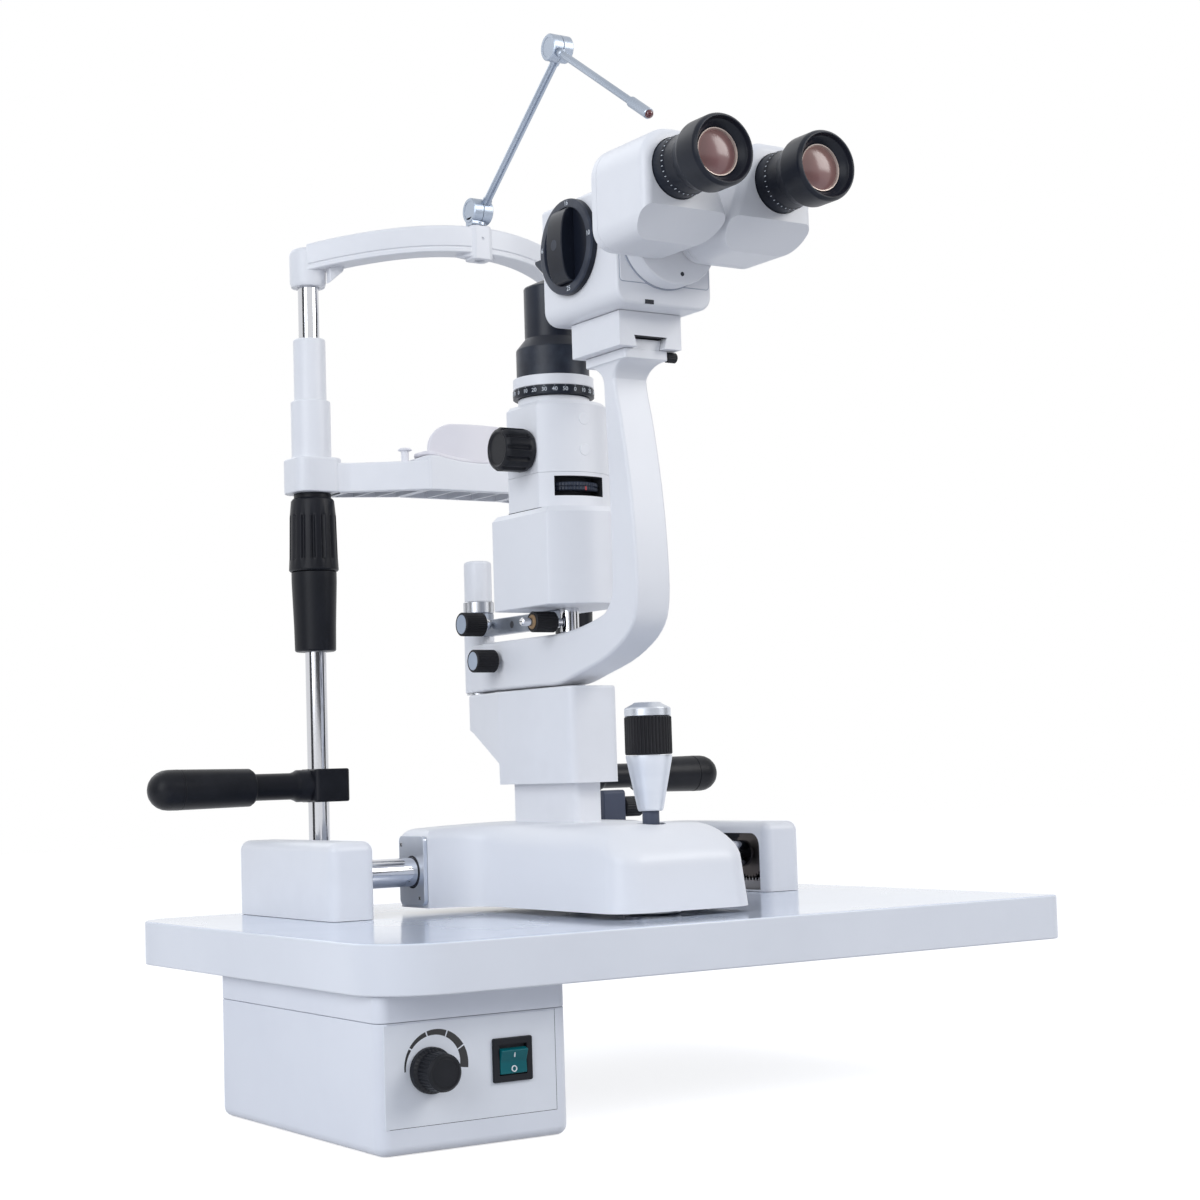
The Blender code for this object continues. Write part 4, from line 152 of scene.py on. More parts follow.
FLOOR_Z = cad_box[0].z - 0.0004
stage_sheet("floor", floor_look, (0.0, 0.0, FLOOR_Z), (6.0, 6.0), (0.0, 0.0, 1.0))
card_look = bpy.data.materials.new("studio_card")
card_look.use_nodes = True
card_look.node_tree.nodes["Principled BSDF"].inputs["Base Color"].default_value = (0.01, 0.01, 0.012, 1)
CARDS = (
    ("card_left", (-1.3, 0.1, 0.4), (0.9, 0.3)),
    ("card_front", (-0.1, -1.5, 0.4), (0.9, 0.2)),
    ("card_right", (1.2, -0.5, 0.4), (0.9, 0.28)),
)
for card_name, card_at, card_half in CARDS:
    toward = (-card_at[0], -card_at[1], 0)
    card = stage_sheet(card_name, card_look, card_at, card_half, toward)
    card.visible_camera = False
    card.visible_diffuse = False
    card.visible_shadow = False
    card.visible_transmission = False

LAMPS = (
    ("lamp_key", (1.3, -1.5, 1.35), 1.1, 21.5, (1.0, 0.985, 0.96)),
    ("lamp_fill", (-1.7, -0.6, 0.9), 1.3, 17.0, (0.94, 0.965, 1.0)),
    ("lamp_back", (-0.3, 1.8, 1.5), 1.2, 5.0, (0.96, 0.98, 1.0)),
)
for lamp_name, lamp_at, lamp_size, watts, lamp_colour in LAMPS:
    lamp_data = bpy.data.lights.new(lamp_name, "AREA")
    lamp_data.size = lamp_size
    lamp_data.energy = watts
    lamp_data.color = lamp_colour
    lamp = bpy.data.objects.new(lamp_name, lamp_data)
    lamp.location = lamp_at
    lamp.rotation_euler = (Vector((0.0, 0.0, 0.25)) - Vector(lamp_at)).to_track_quat("-Z", "Y").to_euler()
    scene.collection.objects.link(lamp)

# --- Table board ---
# A 30 mm particle board top, pressed with glossy white laminate and edged with satin white band.
# Underneath, a routed groove frames the lift column's seat, and four pilot holes take its screws.
def group(name, inputs, outputs):
    """A node group with these sockets, and its own input and output nodes."""
    tree = bpy.data.node_groups.new(name, "ShaderNodeTree")
    for title, kind, value in inputs:
        socket = tree.interface.new_socket(name=title, in_out="INPUT", socket_type="NodeSocket" + kind)
        if value is not None:
            socket.default_value = value
    for title, kind in outputs:
        tree.interface.new_socket(name=title, in_out="OUTPUT", socket_type="NodeSocket" + kind)
    return tree, tree.nodes.new("NodeGroupInput"), tree.nodes.new("NodeGroupOutput")


def ramp(tree, low, high, bottom, top):
    """Maps low and high to bottom and top, and stops there."""
    return node(tree, "MapRange", From_Min=low, From_Max=high, To_Min=bottom, To_Max=top)


def blended(tree):
    """A colour mix."""
    mix = node(tree, "Mix")
    mix.data_type = "RGBA"
    return mix


SKIN, skin_in, skin_out = group("skin", [
    ("Vector", "Vector", None),
    ("Color", "Color", (0.8, 0.8, 0.8, 1)),
    ("Shade", "Color", (0.7, 0.7, 0.7, 1)),
    ("Roughness", "Float", 0.4),
    ("Spread", "Float", 0.08),
    ("Grain", "Float", 900.0),
], [("Color", "Color"), ("Roughness", "Float"), ("Height", "Float")])
cloud = node(SKIN, "TexNoise", Scale=9.0, Detail=3.0)
speck = node(SKIN, "TexNoise", Scale=900.0, Detail=2.0)
cloud_mask = ramp(SKIN, 0.35, 0.65, 0, 1)
cloud_mix = blended(SKIN)
half_spread = node(SKIN, "Math", "MULTIPLY_ADD")
wire(SKIN, (skin_in, "Vector", cloud, "Vector"), (skin_in, "Vector", speck, "Vector"),
    (skin_in, "Grain", speck, "Scale"), (cloud, "Fac", cloud_mask, "Value"),
    (cloud_mask, 0, cloud_mix, "Factor"), (skin_in, "Color", cloud_mix, "A"),
    (skin_in, "Shade", cloud_mix, "B"), (cloud_mask, 0, half_spread, 0), (skin_in, "Spread", half_spread, 1),
    (skin_in, "Roughness", half_spread, 2), (cloud_mix, "Result", skin_out, "Color"),
    (half_spread, 0, skin_out, "Roughness"), (speck, "Fac", skin_out, "Height"))

# Mixes convex edges, under a noise mask, towards a lighter tone: partly wear, partly a painted highlight along
# the edges.
EDGE_WEAR_AND_HIGHLIGHT, wear_highlight_in, wear_highlight_out = group("edge_wear_and_highlight", [
    ("Vector", "Vector", None),
    ("Color", "Color", (0.8, 0.8, 0.8, 1)),
    ("Bare", "Color", (0.9, 0.9, 0.9, 1)),
    ("Amount", "Float", 0.3),
], [("Color", "Color"), ("Mask", "Float")])
shape = node(EDGE_WEAR_AND_HIGHLIGHT, "NewGeometry")
edge_mask = ramp(EDGE_WEAR_AND_HIGHLIGHT, 0.505, 0.56, 0, 1)
patch = node(EDGE_WEAR_AND_HIGHLIGHT, "TexNoise", Scale=60.0, Detail=3.0)
patch_mask = ramp(EDGE_WEAR_AND_HIGHLIGHT, 0.35, 0.7, 0, 1)
wear_highlight_mask = node(EDGE_WEAR_AND_HIGHLIGHT, "Math", "MULTIPLY")
wear_highlight_share = node(EDGE_WEAR_AND_HIGHLIGHT, "Math", "MULTIPLY")
wear_highlight_mix = blended(EDGE_WEAR_AND_HIGHLIGHT)
wire(EDGE_WEAR_AND_HIGHLIGHT, (shape, "Pointiness", edge_mask, "Value"), (wear_highlight_in, "Vector", patch, "Vector"),
    (patch, "Fac", patch_mask, "Value"), (edge_mask, 0, wear_highlight_mask, 0), (patch_mask, 0, wear_highlight_mask, 1),
    (wear_highlight_mask, 0, wear_highlight_share, 0), (wear_highlight_in, "Amount", wear_highlight_share, 1), (wear_highlight_share, 0, wear_highlight_mix, "Factor"),
    (wear_highlight_in, "Color", wear_highlight_mix, "A"), (wear_highlight_in, "Bare", wear_highlight_mix, "B"),
    (wear_highlight_mix, "Result", wear_highlight_out, "Color"), (wear_highlight_share, 0, wear_highlight_out, "Mask"))


def finish(name, colour, shade, roughness, spread=0.06, grain=900.0, depth=0.00001, metal=0.0, coat=0.0,
        edge_tone=None, wear_and_highlight=0.25, stretch=(1, 1, 1), specular=0.5):
    """A surface with drifting tone, a fine grain and edges lightened partly by wear, partly as a painted
    highlight. depth is the grain's height.
    """
    look = bpy.data.materials.new(name)
    look.use_nodes = True
    tree = look.node_tree
    shader = tree.nodes["Principled BSDF"]
    where = node(tree, "TexCoord")
    place = node(tree, "Mapping", Scale=stretch)
    skin = node(tree, "Group")
    skin.node_tree = SKIN
    wear_highlight = node(tree, "Group")
    wear_highlight.node_tree = EDGE_WEAR_AND_HIGHLIGHT
    bump = node(tree, "Bump", Distance=depth)
    edge_tone = edge_tone or [min(1, channel * 1.08) for channel in colour]
    set_inputs(shader, Metallic=metal, Specular_IOR_Level=specular, Coat_Weight=coat, Coat_Roughness=0.08)
    set_inputs(skin, Color=(*colour, 1), Shade=(*shade, 1), Roughness=roughness, Spread=spread, Grain=grain)
    set_inputs(wear_highlight, Bare=(*edge_tone, 1), Amount=wear_and_highlight)
    wire(tree, (where, "Object", place, "Vector"), (place, 0, skin, "Vector"), (place, 0, wear_highlight, "Vector"),
        (skin, "Color", wear_highlight, "Color"), (wear_highlight, "Color", shader, "Base Color"),
        (skin, "Roughness", shader, "Roughness"), (skin, "Height", bump, "Height"),
        (bump, "Normal", shader, "Normal"))
    return look


def points_in(made):
    return [part for part in made if isinstance(part, bmesh.types.BMVert)]


def edges_in(made):
    return [part for part in made if isinstance(part, bmesh.types.BMEdge)]


def faces_in(made):
    return [part for part in made if isinstance(part, bmesh.types.BMFace)]


def outward(bm):
    """Turns the faces of every closed skin outwards."""
    bmesh.ops.recalc_face_normals(bm, faces=bm.faces[:])


def ring_of(bm, spots):
    """A closed ring of edges through spots."""
    points = [bm.verts.new(spot) for spot in spots]
    return [bm.edges.new(pair) for pair in zip(points, points[1:] + points[:1])]


def cut(bm, spot, across, faces=None, **more):
    """Cuts the whole mesh, or only these faces, along a plane."""
    if faces is None:
        parts = bm.verts[:] + bm.edges[:] + bm.faces[:]
    else:
        parts = faces + list({edge for face in faces for edge in face.edges})
        parts += list({point for face in faces for point in face.verts})
    bmesh.ops.bisect_plane(bm, geom=parts, plane_co=spot, plane_no=across, **more)


def put(bm, matrix):
    """Moves a whole mesh by a matrix."""
    bmesh.ops.transform(bm, matrix=matrix, verts=bm.verts[:])


def bevel(bm, edges, width, segments=3):
    """Rounds edges, or chamfers them with a single segment."""
    bmesh.ops.bevel(bm, geom=list(edges), offset=width, offset_type="OFFSET", segments=segments, profile=0.5,
        affect="EDGES", material=-1, clamp_overlap=True)


def sharp_edges(bm, turn=0.45):
    """The edges where the skin turns by more than an angle in radians."""
    return [edge for edge in bm.edges if edge.is_manifold and edge.calc_face_angle(0) > turn]


ACROSS, UP, ALONG = (1, 0, 0), (0, 1, 0), (0, 0, 1)
LAY = {"z": (ACROSS, UP, ALONG), "x": (ALONG, ACROSS, UP), "y": (ACROSS, ALONG, UP)}


def edges_at(bm, height):
    """The edges that lie at one height."""
    return [edge for edge in bm.edges if all(abs(point.co.z - height) < 1e-6 for point in edge.verts)]


def rise_of(edge):
    """How far an edge climbs."""
    return abs(edge.verts[0].co.z - edge.verts[1].co.z)


def slab(corners, low, high, axis="z", rims=(0, 0), steps=8, rim_steps=4):
    """A slab along an axis. Its corners are (across, up, radius), and rims are its two rims' radii."""
    bm = bmesh.new()
    face = bm.faces.new([bm.verts.new((corner[0], corner[1], low)) for corner in corners])
    raised = bmesh.ops.extrude_face_region(bm, geom=[face])["geom"]
    bmesh.ops.translate(bm, verts=points_in(raised), vec=(0, 0, high - low))
    for index, (u, v, radius) in enumerate(corners):
        if not radius:
            continue
        here = Vector((u, v))
        back = here - Vector(corners[index - 1][:2])
        ahead = Vector(corners[(index + 1) % len(corners)][:2]) - here
        turn = abs(back.angle_signed(ahead))
        upright = [edge for edge in bm.edges if all((p.co.xy - here).length < 1e-7 for p in edge.verts)]
        bevel(bm, upright, radius * math.tan(turn / 2), max(2, round(steps * turn / 1.57)))
    outward(bm)
    for height, width in zip((low, high), rims):
        if width:
            bevel(bm, edges_at(bm, height), width, rim_steps)
    put(bm, Matrix(LAY[axis]).to_4x4())
    outward(bm)
    return bm


def rectangle(left, right, low, high):
    """The corners of a rectangle, in order."""
    return [(left, low), (right, low), (right, high), (left, high)]


def block(low, high, corner=0.0, axis="z", rims=(0, 0), steps=8, rim_steps=4):
    """A box between two corner points, with its four edges along the axis rounded."""
    u, v, w = {"z": (0, 1, 2), "x": (1, 2, 0), "y": (0, 2, 1)}[axis]
    plan = [(*spot, corner) for spot in rectangle(low[u], high[u], low[v], high[v])]
    return slab(plan, low[w], high[w], axis, rims, steps, rim_steps)


def circle(centre, radius, facing, steps=32):
    """Points round a circle whose axis points along facing."""
    turn = turn_to(facing)
    angles = [math.tau * step / steps for step in range(steps)]
    return [Vector(centre) + turn @ Vector((radius * math.cos(angle), radius * math.sin(angle), 0))
        for angle in angles]


def open_up(bm, face, rings, normal=None):
    """Swaps a flat face for one that is open inside each ring of edges, and returns its normal and look."""
    facing, look, border = face.normal.copy(), face.material_index, face.edges[:]
    bmesh.ops.delete(bm, geom=[face], context="FACES_ONLY")
    border += sum(rings, [])
    filled = bmesh.ops.triangle_fill(bm, use_beauty=True, edges=border, normal=normal or facing)
    for part in faces_in(filled["geom"]):
        part.material_index = look
    return facing, look


def sink(bm, face, rims, depth, floor_look=None):
    """Sinks a pocket below each rim of points that lies in a flat face, and gives its floor a look."""
    rings = [ring_of(bm, rim) for rim in rims]
    normal, look = open_up(bm, face, rings)
    for ring in rings:
        rim_points = {point for edge in ring for point in edge.verts}
        walls = bmesh.ops.extrude_edge_only(bm, edges=ring)["geom"]
        bmesh.ops.translate(bm, verts=points_in(walls), vec=-normal * depth)
        foot = [edge for edge in edges_in(walls) if not rim_points & set(edge.verts)]
        bottom = bmesh.ops.edgeloop_fill(bm, edges=foot)["faces"]
        for part in faces_in(walls) + bottom:
            part.material_index = look
        for part in bottom if floor_look is not None else ():
            part.material_index = floor_look
    outward(bm)


def face_at(bm, point, facing):
    """The flat face that looks along facing and lies nearest to a point."""
    facing = Vector(facing)
    gaps = {face: abs((face.calc_center_median() - Vector(point)).dot(facing)) for face in bm.faces
        if face.normal.dot(facing) > 0.95}
    near = [face for face, gap in gaps.items() if gap < min(gaps.values()) + 1e-5]
    return max(near, key=lambda face: face.calc_area())


def press(bm, facing, cuts, inside, depth, look=None, flat=None):
    """Presses part of a side in: cuts its flat faces along planes, and sinks those that are inside."""
    facing = Vector(facing)
    flat = flat or (lambda face: face.normal.dot(facing) > 0.95)
    for spot, across in cuts:
        cut(bm, spot, across, [face for face in bm.faces if flat(face)])
    before = set(bm.faces)
    sunk = [face for face in before if flat(face) and inside(face.calc_center_median())]
    moved = bmesh.ops.extrude_face_region(bm, geom=sunk)["geom"]
    bmesh.ops.translate(bm, verts=points_in(moved), vec=-facing * depth)
    bmesh.ops.delete(bm, geom=[face for face in sunk if face.is_valid], context="FACES_ONLY")
    for face in set(bm.faces) - before if look is not None else ():
        face.material_index = look
    outward(bm)


def piece(bm, name, looks, body, nodes=(), crease=35.0):
    """Makes a mesh a finished piece that rides on a body and stands for CAD nodes."""
    mesh = bpy.data.meshes.new(name)
    bm.to_mesh(mesh)
    bm.free()
    for look in looks if isinstance(looks, (list, tuple)) else [looks]:
        mesh.materials.append(look)
    mesh.shade_smooth()
    mesh.set_sharp_from_angle(angle=math.radians(crease))
    made = bpy.data.objects.new(name, mesh)
    scene.collection.objects.link(made)
    made.modifiers.new("flat_normals", "WEIGHTED_NORMAL").keep_sharp = True
    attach(made, body)
    if nodes:
        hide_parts(*nodes)
    return made


LAMINATE = finish("glossy_laminate", (0.66, 0.72, 0.84), (0.64, 0.7, 0.82), 0.14, 0.03, 300.0, 0.0000006,
    coat=0.35, wear_and_highlight=0.1)
EDGE_BAND = finish("edge_band", (0.79, 0.81, 0.86), (0.76, 0.78, 0.83), 0.32, 0.06, 700.0, 0.00001)
board_low, board_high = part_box("table_board")
board = slab([(board_low.x, board_low.y, 0.045), (board_high.x, board_low.y, 0.01),
        (board_high.x, board_high.y, 0.01), (board_low.x, board_high.y, 0.03)], board_low.z, board_high.z, "z",
    (0.0012, 0.0012), steps=16)
for face in board.faces:
    face.material_index = 0 if face.normal.z > 0.6 else 1
SEAT = Vector((0.09, 0.07))
under = face_at(board, (0, 0, board_low.z), (0, 0, -1))
screw_rims = [circle((x, y, board_low.z), 0.0034, (0, 0, 1), 20) for x in (-0.06, 0.06)
    for y in (-0.045, 0.045)]
sink(board, under, screw_rims, 0.018)
GROOVE = SEAT + Vector((0.006, 0.006))
press(board, (0, 0, -1), [((side * edge.x, 0, 0), (1, 0, 0)) for edge in (SEAT, GROOVE) for side in (-1, 1)]
    + [((0, side * edge.y, 0), (0, 1, 0)) for edge in (SEAT, GROOVE) for side in (-1, 1)],
    lambda spot: abs(spot.x) < GROOVE.x and abs(spot.y) < GROOVE.y and spot.z < 0.001
    and (abs(spot.x) > SEAT.x or abs(spot.y) > SEAT.y), 0.002)
piece(board, "laminated_board", [LAMINATE, EDGE_BAND], "stand", ["table_board"])

# --- Rail covers ---
# Two deep drawn steel covers, sprayed white, hide the rails that the wheels roll on. The inner side
# is open under a lipped arch, so that the axle can pass, and a toothed rack is screwed down inside.
ENAMEL = finish("white_enamel", (0.81, 0.815, 0.84), (0.785, 0.79, 0.815), 0.36, 0.06, 1500.0, 0.000012)
# A near-black look for dark parts, and painted shade in recesses, gaps, slots and the insides of covers.
DARK_AND_PAINTED_SHADE = finish("dark_and_painted_shade", (0.035, 0.037, 0.045), (0.02, 0.02, 0.025), 0.7, 0.1, 600.0)
RACK_STEEL = finish("rack_steel", (0.24, 0.24, 0.26), (0.17, 0.17, 0.19), 0.38, 0.12, 700.0, metal=1.0)


def merge(bm, *others):
    """Adds finished meshes to a mesh, each as a shell of its own."""
    for other in others:
        part = bpy.data.meshes.new("part")
        other.to_mesh(part)
        other.free()
        bm.from_mesh(part)
        bpy.data.meshes.remove(part)
    return bm


def tint(bm, index, test=None):
    """Gives the faces whose centre passes a test, or all of them, another of the piece's looks."""
    for face in bm.faces:
        if test is None or test(face.calc_center_median()):
            face.material_index = index
    return bm


def arc(centre, radius, start, end, steps):
    """Points along an arc between two angles in degrees."""
    turns = [math.radians(start + (end - start) * step / steps) for step in range(steps + 1)]
    return [Vector(centre) + radius * Vector((math.cos(turn), math.sin(turn))) for turn in turns]


RAIL_WALL = 0.003
for rail_name, side in (("left", -1), ("right", 1)):
    low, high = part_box(rail_name + "_rail_cover")
    inner_x = high.x if side < 0 else low.x
    shell = block(low, high, 0.007, "z", (0, 0.007), 8, 6)
    room = block(low + Vector((RAIL_WALL, RAIL_WALL, 0)), high - Vector((RAIL_WALL, RAIL_WALL, RAIL_WALL)),
        0.005, "z", (0, 0.004), 6, 4)
    bmesh.ops.reverse_faces(room, faces=room.faces[:])
    # The inside of the cover takes the dark look: painted shade.
    tint(room, 1)
    for part, wall_x in ((shell, inner_x), (room, inner_x + side * RAIL_WALL)):
        flank = face_at(part, (wall_x, 0, 0), (-side if part is shell else side, 0, 0))
        rim_low, rim_high = low.y + 0.0085, high.y - 0.0085
        rim_top = high.z - 0.0085
        bend = 0.01
        arch = [(rim_low, low.z + 0.0012), (rim_high, low.z + 0.0012)]
        arch += arc((rim_high - bend, rim_top - bend), bend, 0, 90, 6)
        arch += arc((rim_low + bend, rim_top - bend), bend, 90, 180, 6)
        open_up(part, flank, [ring_of(part, [(wall_x, y, z) for y, z in arch])], (side, 0, 0))
    merge(shell, room)
    rims = [edge for edge in shell.edges if edge.is_boundary]
    bmesh.ops.bridge_loops(shell, edges=rims)
    outward(shell)
    piece(shell, rail_name + "_rail_housing", [ENAMEL, DARK_AND_PAINTED_SHADE], "stand", [rail_name + "_rail_cover"])

    rack_low, rack_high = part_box(rail_name + "_rack")
    tooth = 0.004
    teeth = block(rack_low, rack_high - Vector((0, 0, 0.002)), 0.0005, "y")
    for index in range(int((rack_high.y - rack_low.y) / tooth)):
        start = rack_low.y + tooth * (index + 0.2)
        merge(teeth, slab([(start, rack_high.z - 0.0021, 0), (start + tooth * 0.6, rack_high.z - 0.0021, 0),
                    (start + tooth * 0.42, rack_high.z, 0), (start + tooth * 0.18, rack_high.z, 0)],
                rack_low.x + 0.0004, rack_high.x - 0.0004, "x"))
    piece(teeth, rail_name + "_toothed_rack", RACK_STEEL, "stand", [rail_name + "_rack"])

# --- Headrest bracket and posts ---
# A satin steel angle is screwed to the board's rear edge. Two chrome plated tubes stand in it, each
# with a white plastic sleeve pushed on at the top, and a plain black sleeve on the right one.
STEEL = finish("satin_steel", (0.6, 0.62, 0.66), (0.52, 0.54, 0.58), 0.28, 0.04, 500.0, 0.0000012, metal=1.0,
    wear_and_highlight=0.15)
CHROME = finish("chrome_plate", (0.66, 0.67, 0.7), (0.6, 0.61, 0.65), 0.1, 0.03, 900.0, 0.0000005, metal=1.0,
    wear_and_highlight=0.1, stretch=(1, 1, 0.15))
BLACK = finish("black_plastic", (0.009, 0.01, 0.015), (0.006, 0.007, 0.01), 0.36, 0.08, 2200.0, 0.00002,
    edge_tone=(0.03, 0.032, 0.04), wear_and_highlight=0.3, specular=0.2)
CASTING = finish("white_casting", (0.815, 0.82, 0.845), (0.79, 0.795, 0.82), 0.38, 0.06, 1200.0, 0.000018)
AXES = {"x": Vector((1, 0, 0)), "y": Vector((0, 1, 0)), "z": Vector((0, 0, 1)), "-x": Vector((-1, 0, 0)),
    "-y": Vector((0, -1, 0))}


def turned(profile, at=(0, 0, 0), axis="z", soft=0.0, steps=64, soft_steps=3):
    """A turned solid. Its profile runs as (radius, place along the axis), and soft rounds its corners."""
    bm = bmesh.new()
    points = [bm.verts.new((radius, 0, height)) for radius, height in profile]
    edges = [bm.edges.new(pair) for pair in zip(points, points[1:])]
    if profile[0][0] > 0.0 and profile[-1][0] > 0.0:
        edges.append(bm.edges.new((points[-1], points[0])))
    bmesh.ops.spin(bm, geom=points + edges, cent=(0, 0, 0), axis=(0, 0, 1), angle=math.tau, steps=steps,
        use_merge=True)
    bmesh.ops.remove_doubles(bm, verts=bm.verts[:], dist=1e-7)
    outward(bm)
    if soft:
        bevel(bm, sharp_edges(bm), soft, soft_steps)
    facing = AXES[axis] if isinstance(axis, str) else axis
    put(bm, Matrix.Translation(at) @ turn_to(facing).to_4x4())
    return bm


def bush(bore, radius, start, end, at=(0, 0, 0), axis="z", soft=0.0, steps=64):
    """A plain turned ring between two places on its axis, or a pin where it has no bore."""
    return turned([(bore, start), (radius, start), (radius, end), (bore, end)], at, axis, soft, steps)


def cross_screw(at, facing, radius, look=0):
    """A pan head with a cross slot drawn as two raised bars in the next look, which is painted shade where that
    look is dark.
    """
    head = turned([(0, radius * 0.55), (radius * 0.55, radius * 0.5), (radius * 0.92, radius * 0.2),
            (radius, 0), (radius, -radius * 0.4), (0, -radius * 0.4)], at, facing, steps=24)
    turn = turn_to(facing).to_4x4()
    tint(head, look)
    for arm in range(2):
        bar = block(Vector((-radius * 0.6, -radius * 0.12, radius * 0.46)),
            Vector((radius * 0.6, radius * 0.12, radius * 0.585)))
        put(bar, Matrix.Translation(at) @ turn @ Matrix.Rotation(math.pi / 4 + arm * math.pi / 2, 4, "Z"))
        tint(bar, look + 1)
        merge(head, bar)
    return head


low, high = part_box("headrest_bracket")
post_x, post_y = 0.117, 0.214
plate_back = board_high.y + 0.0083
angle = block((low.x, board_high.y + 0.0003, low.z), (high.x, plate_back, high.z), 0.003, "y", (0, 0.0008))
merge(angle, block((low.x, low.y, low.z), (high.x, board_high.y + 0.001, -0.0003), 0.001, "x"))
for side in (-1, 1):
    merge(angle, block((side * post_x - 0.015, board_high.y + 0.001, low.z),
            (side * post_x + 0.015, high.y, high.z), 0.006, "z", (0.001, 0.001)))
for x in (-0.075, -0.03, 0.03, 0.075):
    merge(angle, cross_screw((x, plate_back, 0.008), (0, 1, 0), 0.004))
piece(angle, "post_angle", [STEEL, DARK_AND_PAINTED_SHADE], "stand", ["headrest_bracket"])

for post_name, side in (("left", -1), ("right", 1)):
    low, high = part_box(post_name + "_post")
    at = (side * post_x, post_y, 0)
    post_r = 0.008
    tube = bush(0, post_r, low.z, high.z, at, soft=0.0006)
    piece(tube, post_name + "_tube", CHROME, "stand", [post_name + "_post"])
    sleeve = bush(post_r, 0.01235, 0.4638, 0.4, at, soft=0.0016)
    piece(sleeve, post_name + "_upper_sleeve", CASTING, "stand", ())
    if side > 0:
        plain = turned([(post_r, 0.3434), (0.0155, 0.3434), (0.0165, 0.33), (0.0165, 0.29), (0.0152, 0.236),
                (0.0145, 0.2226), (post_r, 0.2226)], at, soft=0.0012)
        piece(plain, "right_support_sleeve", BLACK, "stand", ())

# --- Chin height control ---
# A tapered black sleeve is pinned to the left post, and the fluted ring nut above it turns on the
# lift tube's thread to raise the chin bar. Both are moulded in black plastic.


def flute(bm, count, depth, share, test, centre, axis="z"):
    """Presses count grooves into a turned piece where test passes; share is how wide each groove is."""
    across, up = {"z": (0, 1), "x": (1, 2), "y": (0, 2)}[axis]
    for point in bm.verts:
        if not test(point.co):
            continue
        offset = Vector((point.co[across] - centre[across], point.co[up] - centre[up]))
        turn = (math.atan2(offset.y, offset.x) / math.tau * count) % 1.0
        wave = abs(turn - 0.5) * 2.0
        dent = depth * max(0, 1.0 - (wave / share) ** 2) if wave < share else 0.0
        offset *= 1.0 - dent / offset.length
        point.co[across] = centre[across] + offset.x
        point.co[up] = centre[up] + offset.y


low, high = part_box("left_support_sleeve")
at = (-post_x, post_y, 0)
wide, bore = (high.x - low.x) / 2, 0.0113
support = turned([(0.0083, low.z), (0.0146, low.z), (0.01565, low.z + 0.001), (0.016, low.z + 0.02),
        (wide, high.z - 0.008), (wide, high.z), (bore, high.z), (bore, high.z - 0.035),
        (0.0083, high.z - 0.035)], at, soft=0.0008)
piece(support, "support_sleeve", BLACK, "stand", ["left_support_sleeve"])

low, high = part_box("chin_elevation_knob")
nut = turned([(bore, low.z), (0.018, low.z), (0.01895, low.z + 0.0012), (0.0186, low.z + 0.008),
        (0.0184, low.z + 0.01), (0.0177, high.z - 0.018), (0.0175, high.z - 0.016), (0.0165, high.z - 0.0055),
        (0.0152, high.z - 0.0038), (0.0142, high.z - 0.0036), (0.0142, high.z), (bore, high.z)], at,
    steps=14 * 16)
flute(nut, 14, 0.0017, 0.42, lambda spot: low.z + 0.009 < spot.z < high.z - 0.017
    and (spot.xy - Vector(at).xy).length > 0.013, at)
bevel(nut, [edge for edge in sharp_edges(nut, 0.7) if rise_of(edge) < 1e-5], 0.0003, 2)
piece(nut, "fluted_ring_nut", BLACK, "elevation", ["chin_elevation_knob"], 50.0)

low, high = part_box("chin_lift_tube")
screw = [(0.0083, low.z), (0.0106, low.z)]
for turn in range(int((high.z - low.z - 0.01) / 0.0015)):
    start = low.z + 0.0005 + turn * 0.0015
    screw += [(0.0106, start), (0.011, start + 0.0005), (0.011, start + 0.0009), (0.0106, start + 0.0014)]
screw += [(0.011, high.z - 0.008), (0.011, high.z), (0.0083, high.z)]
piece(turned(screw, at, steps=40), "threaded_lift_tube", STEEL, "chin", ["chin_lift_tube"])

# --- Hand grips ---
# Each grip is one black moulding: a split clamp on the post, a round arm and a fatter handle with a
# rounded cap pushed on its end. A socket screw behind the post closes the clamp.
SCREW = finish("screw_steel", (0.66, 0.66, 0.68), (0.56, 0.56, 0.58), 0.42, 0.08, 800.0, metal=0.8)
for grip_name, side in (("left", -1), ("right", 1)):
    low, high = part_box(grip_name + "_handle")
    level = 0.121
    end = max(abs(low.x), abs(high.x))
    inner, outer = sorted((side * (post_x - 0.02), side * (post_x + 0.009)))
    clamp = block((inner, low.y, level - 0.0125), (outer, high.y, level + 0.0125), 0.004, "z", (0.0015, 0.0015))
    dome = [(0.0149 * math.sin(math.radians(15 * turn)), end - 0.015 + 0.015
            * math.cos(math.radians(15 * turn))) for turn in range(7)]
    merge(clamp, turned(dome + [(0.015, 0.2303), (0.0146, 0.23), (0.0146, 0.2294), (0.0149, 0.2291),
                (0.0141, 0.1745), (0.0126, 0.1722), (0.0098, 0.1715), (0.01, 0.17), (0.01, 0.14),
                (0.0112, 0.1368), (0.0121, 0.1352), (0.0121, 0.124), (0, 0.124)], (0, post_y, level), "x"
            if side > 0 else "-x", steps=72))
    # The clamp's split is a thin block in the dark look: painted shade.
    merge(clamp, tint(block((inner - 0.0001, post_y - 0.0009, level - 0.01251),
                (inner + 0.006, post_y + 0.0009, level + 0.01251)), 1))
    merge(clamp, turned([(0, 0.0006), (0.0018, 0.0006), (0.0018, 0.0022), (0.0036, 0.0022), (0.0036, -0.002),
                (0, -0.002)], (side * (post_x - 0.014), high.y - 0.0022, level), "y", 0.0003, 24))
    piece(clamp, grip_name + "_hand_grip", [BLACK, DARK_AND_PAINTED_SHADE], "stand", [grip_name + "_handle"])

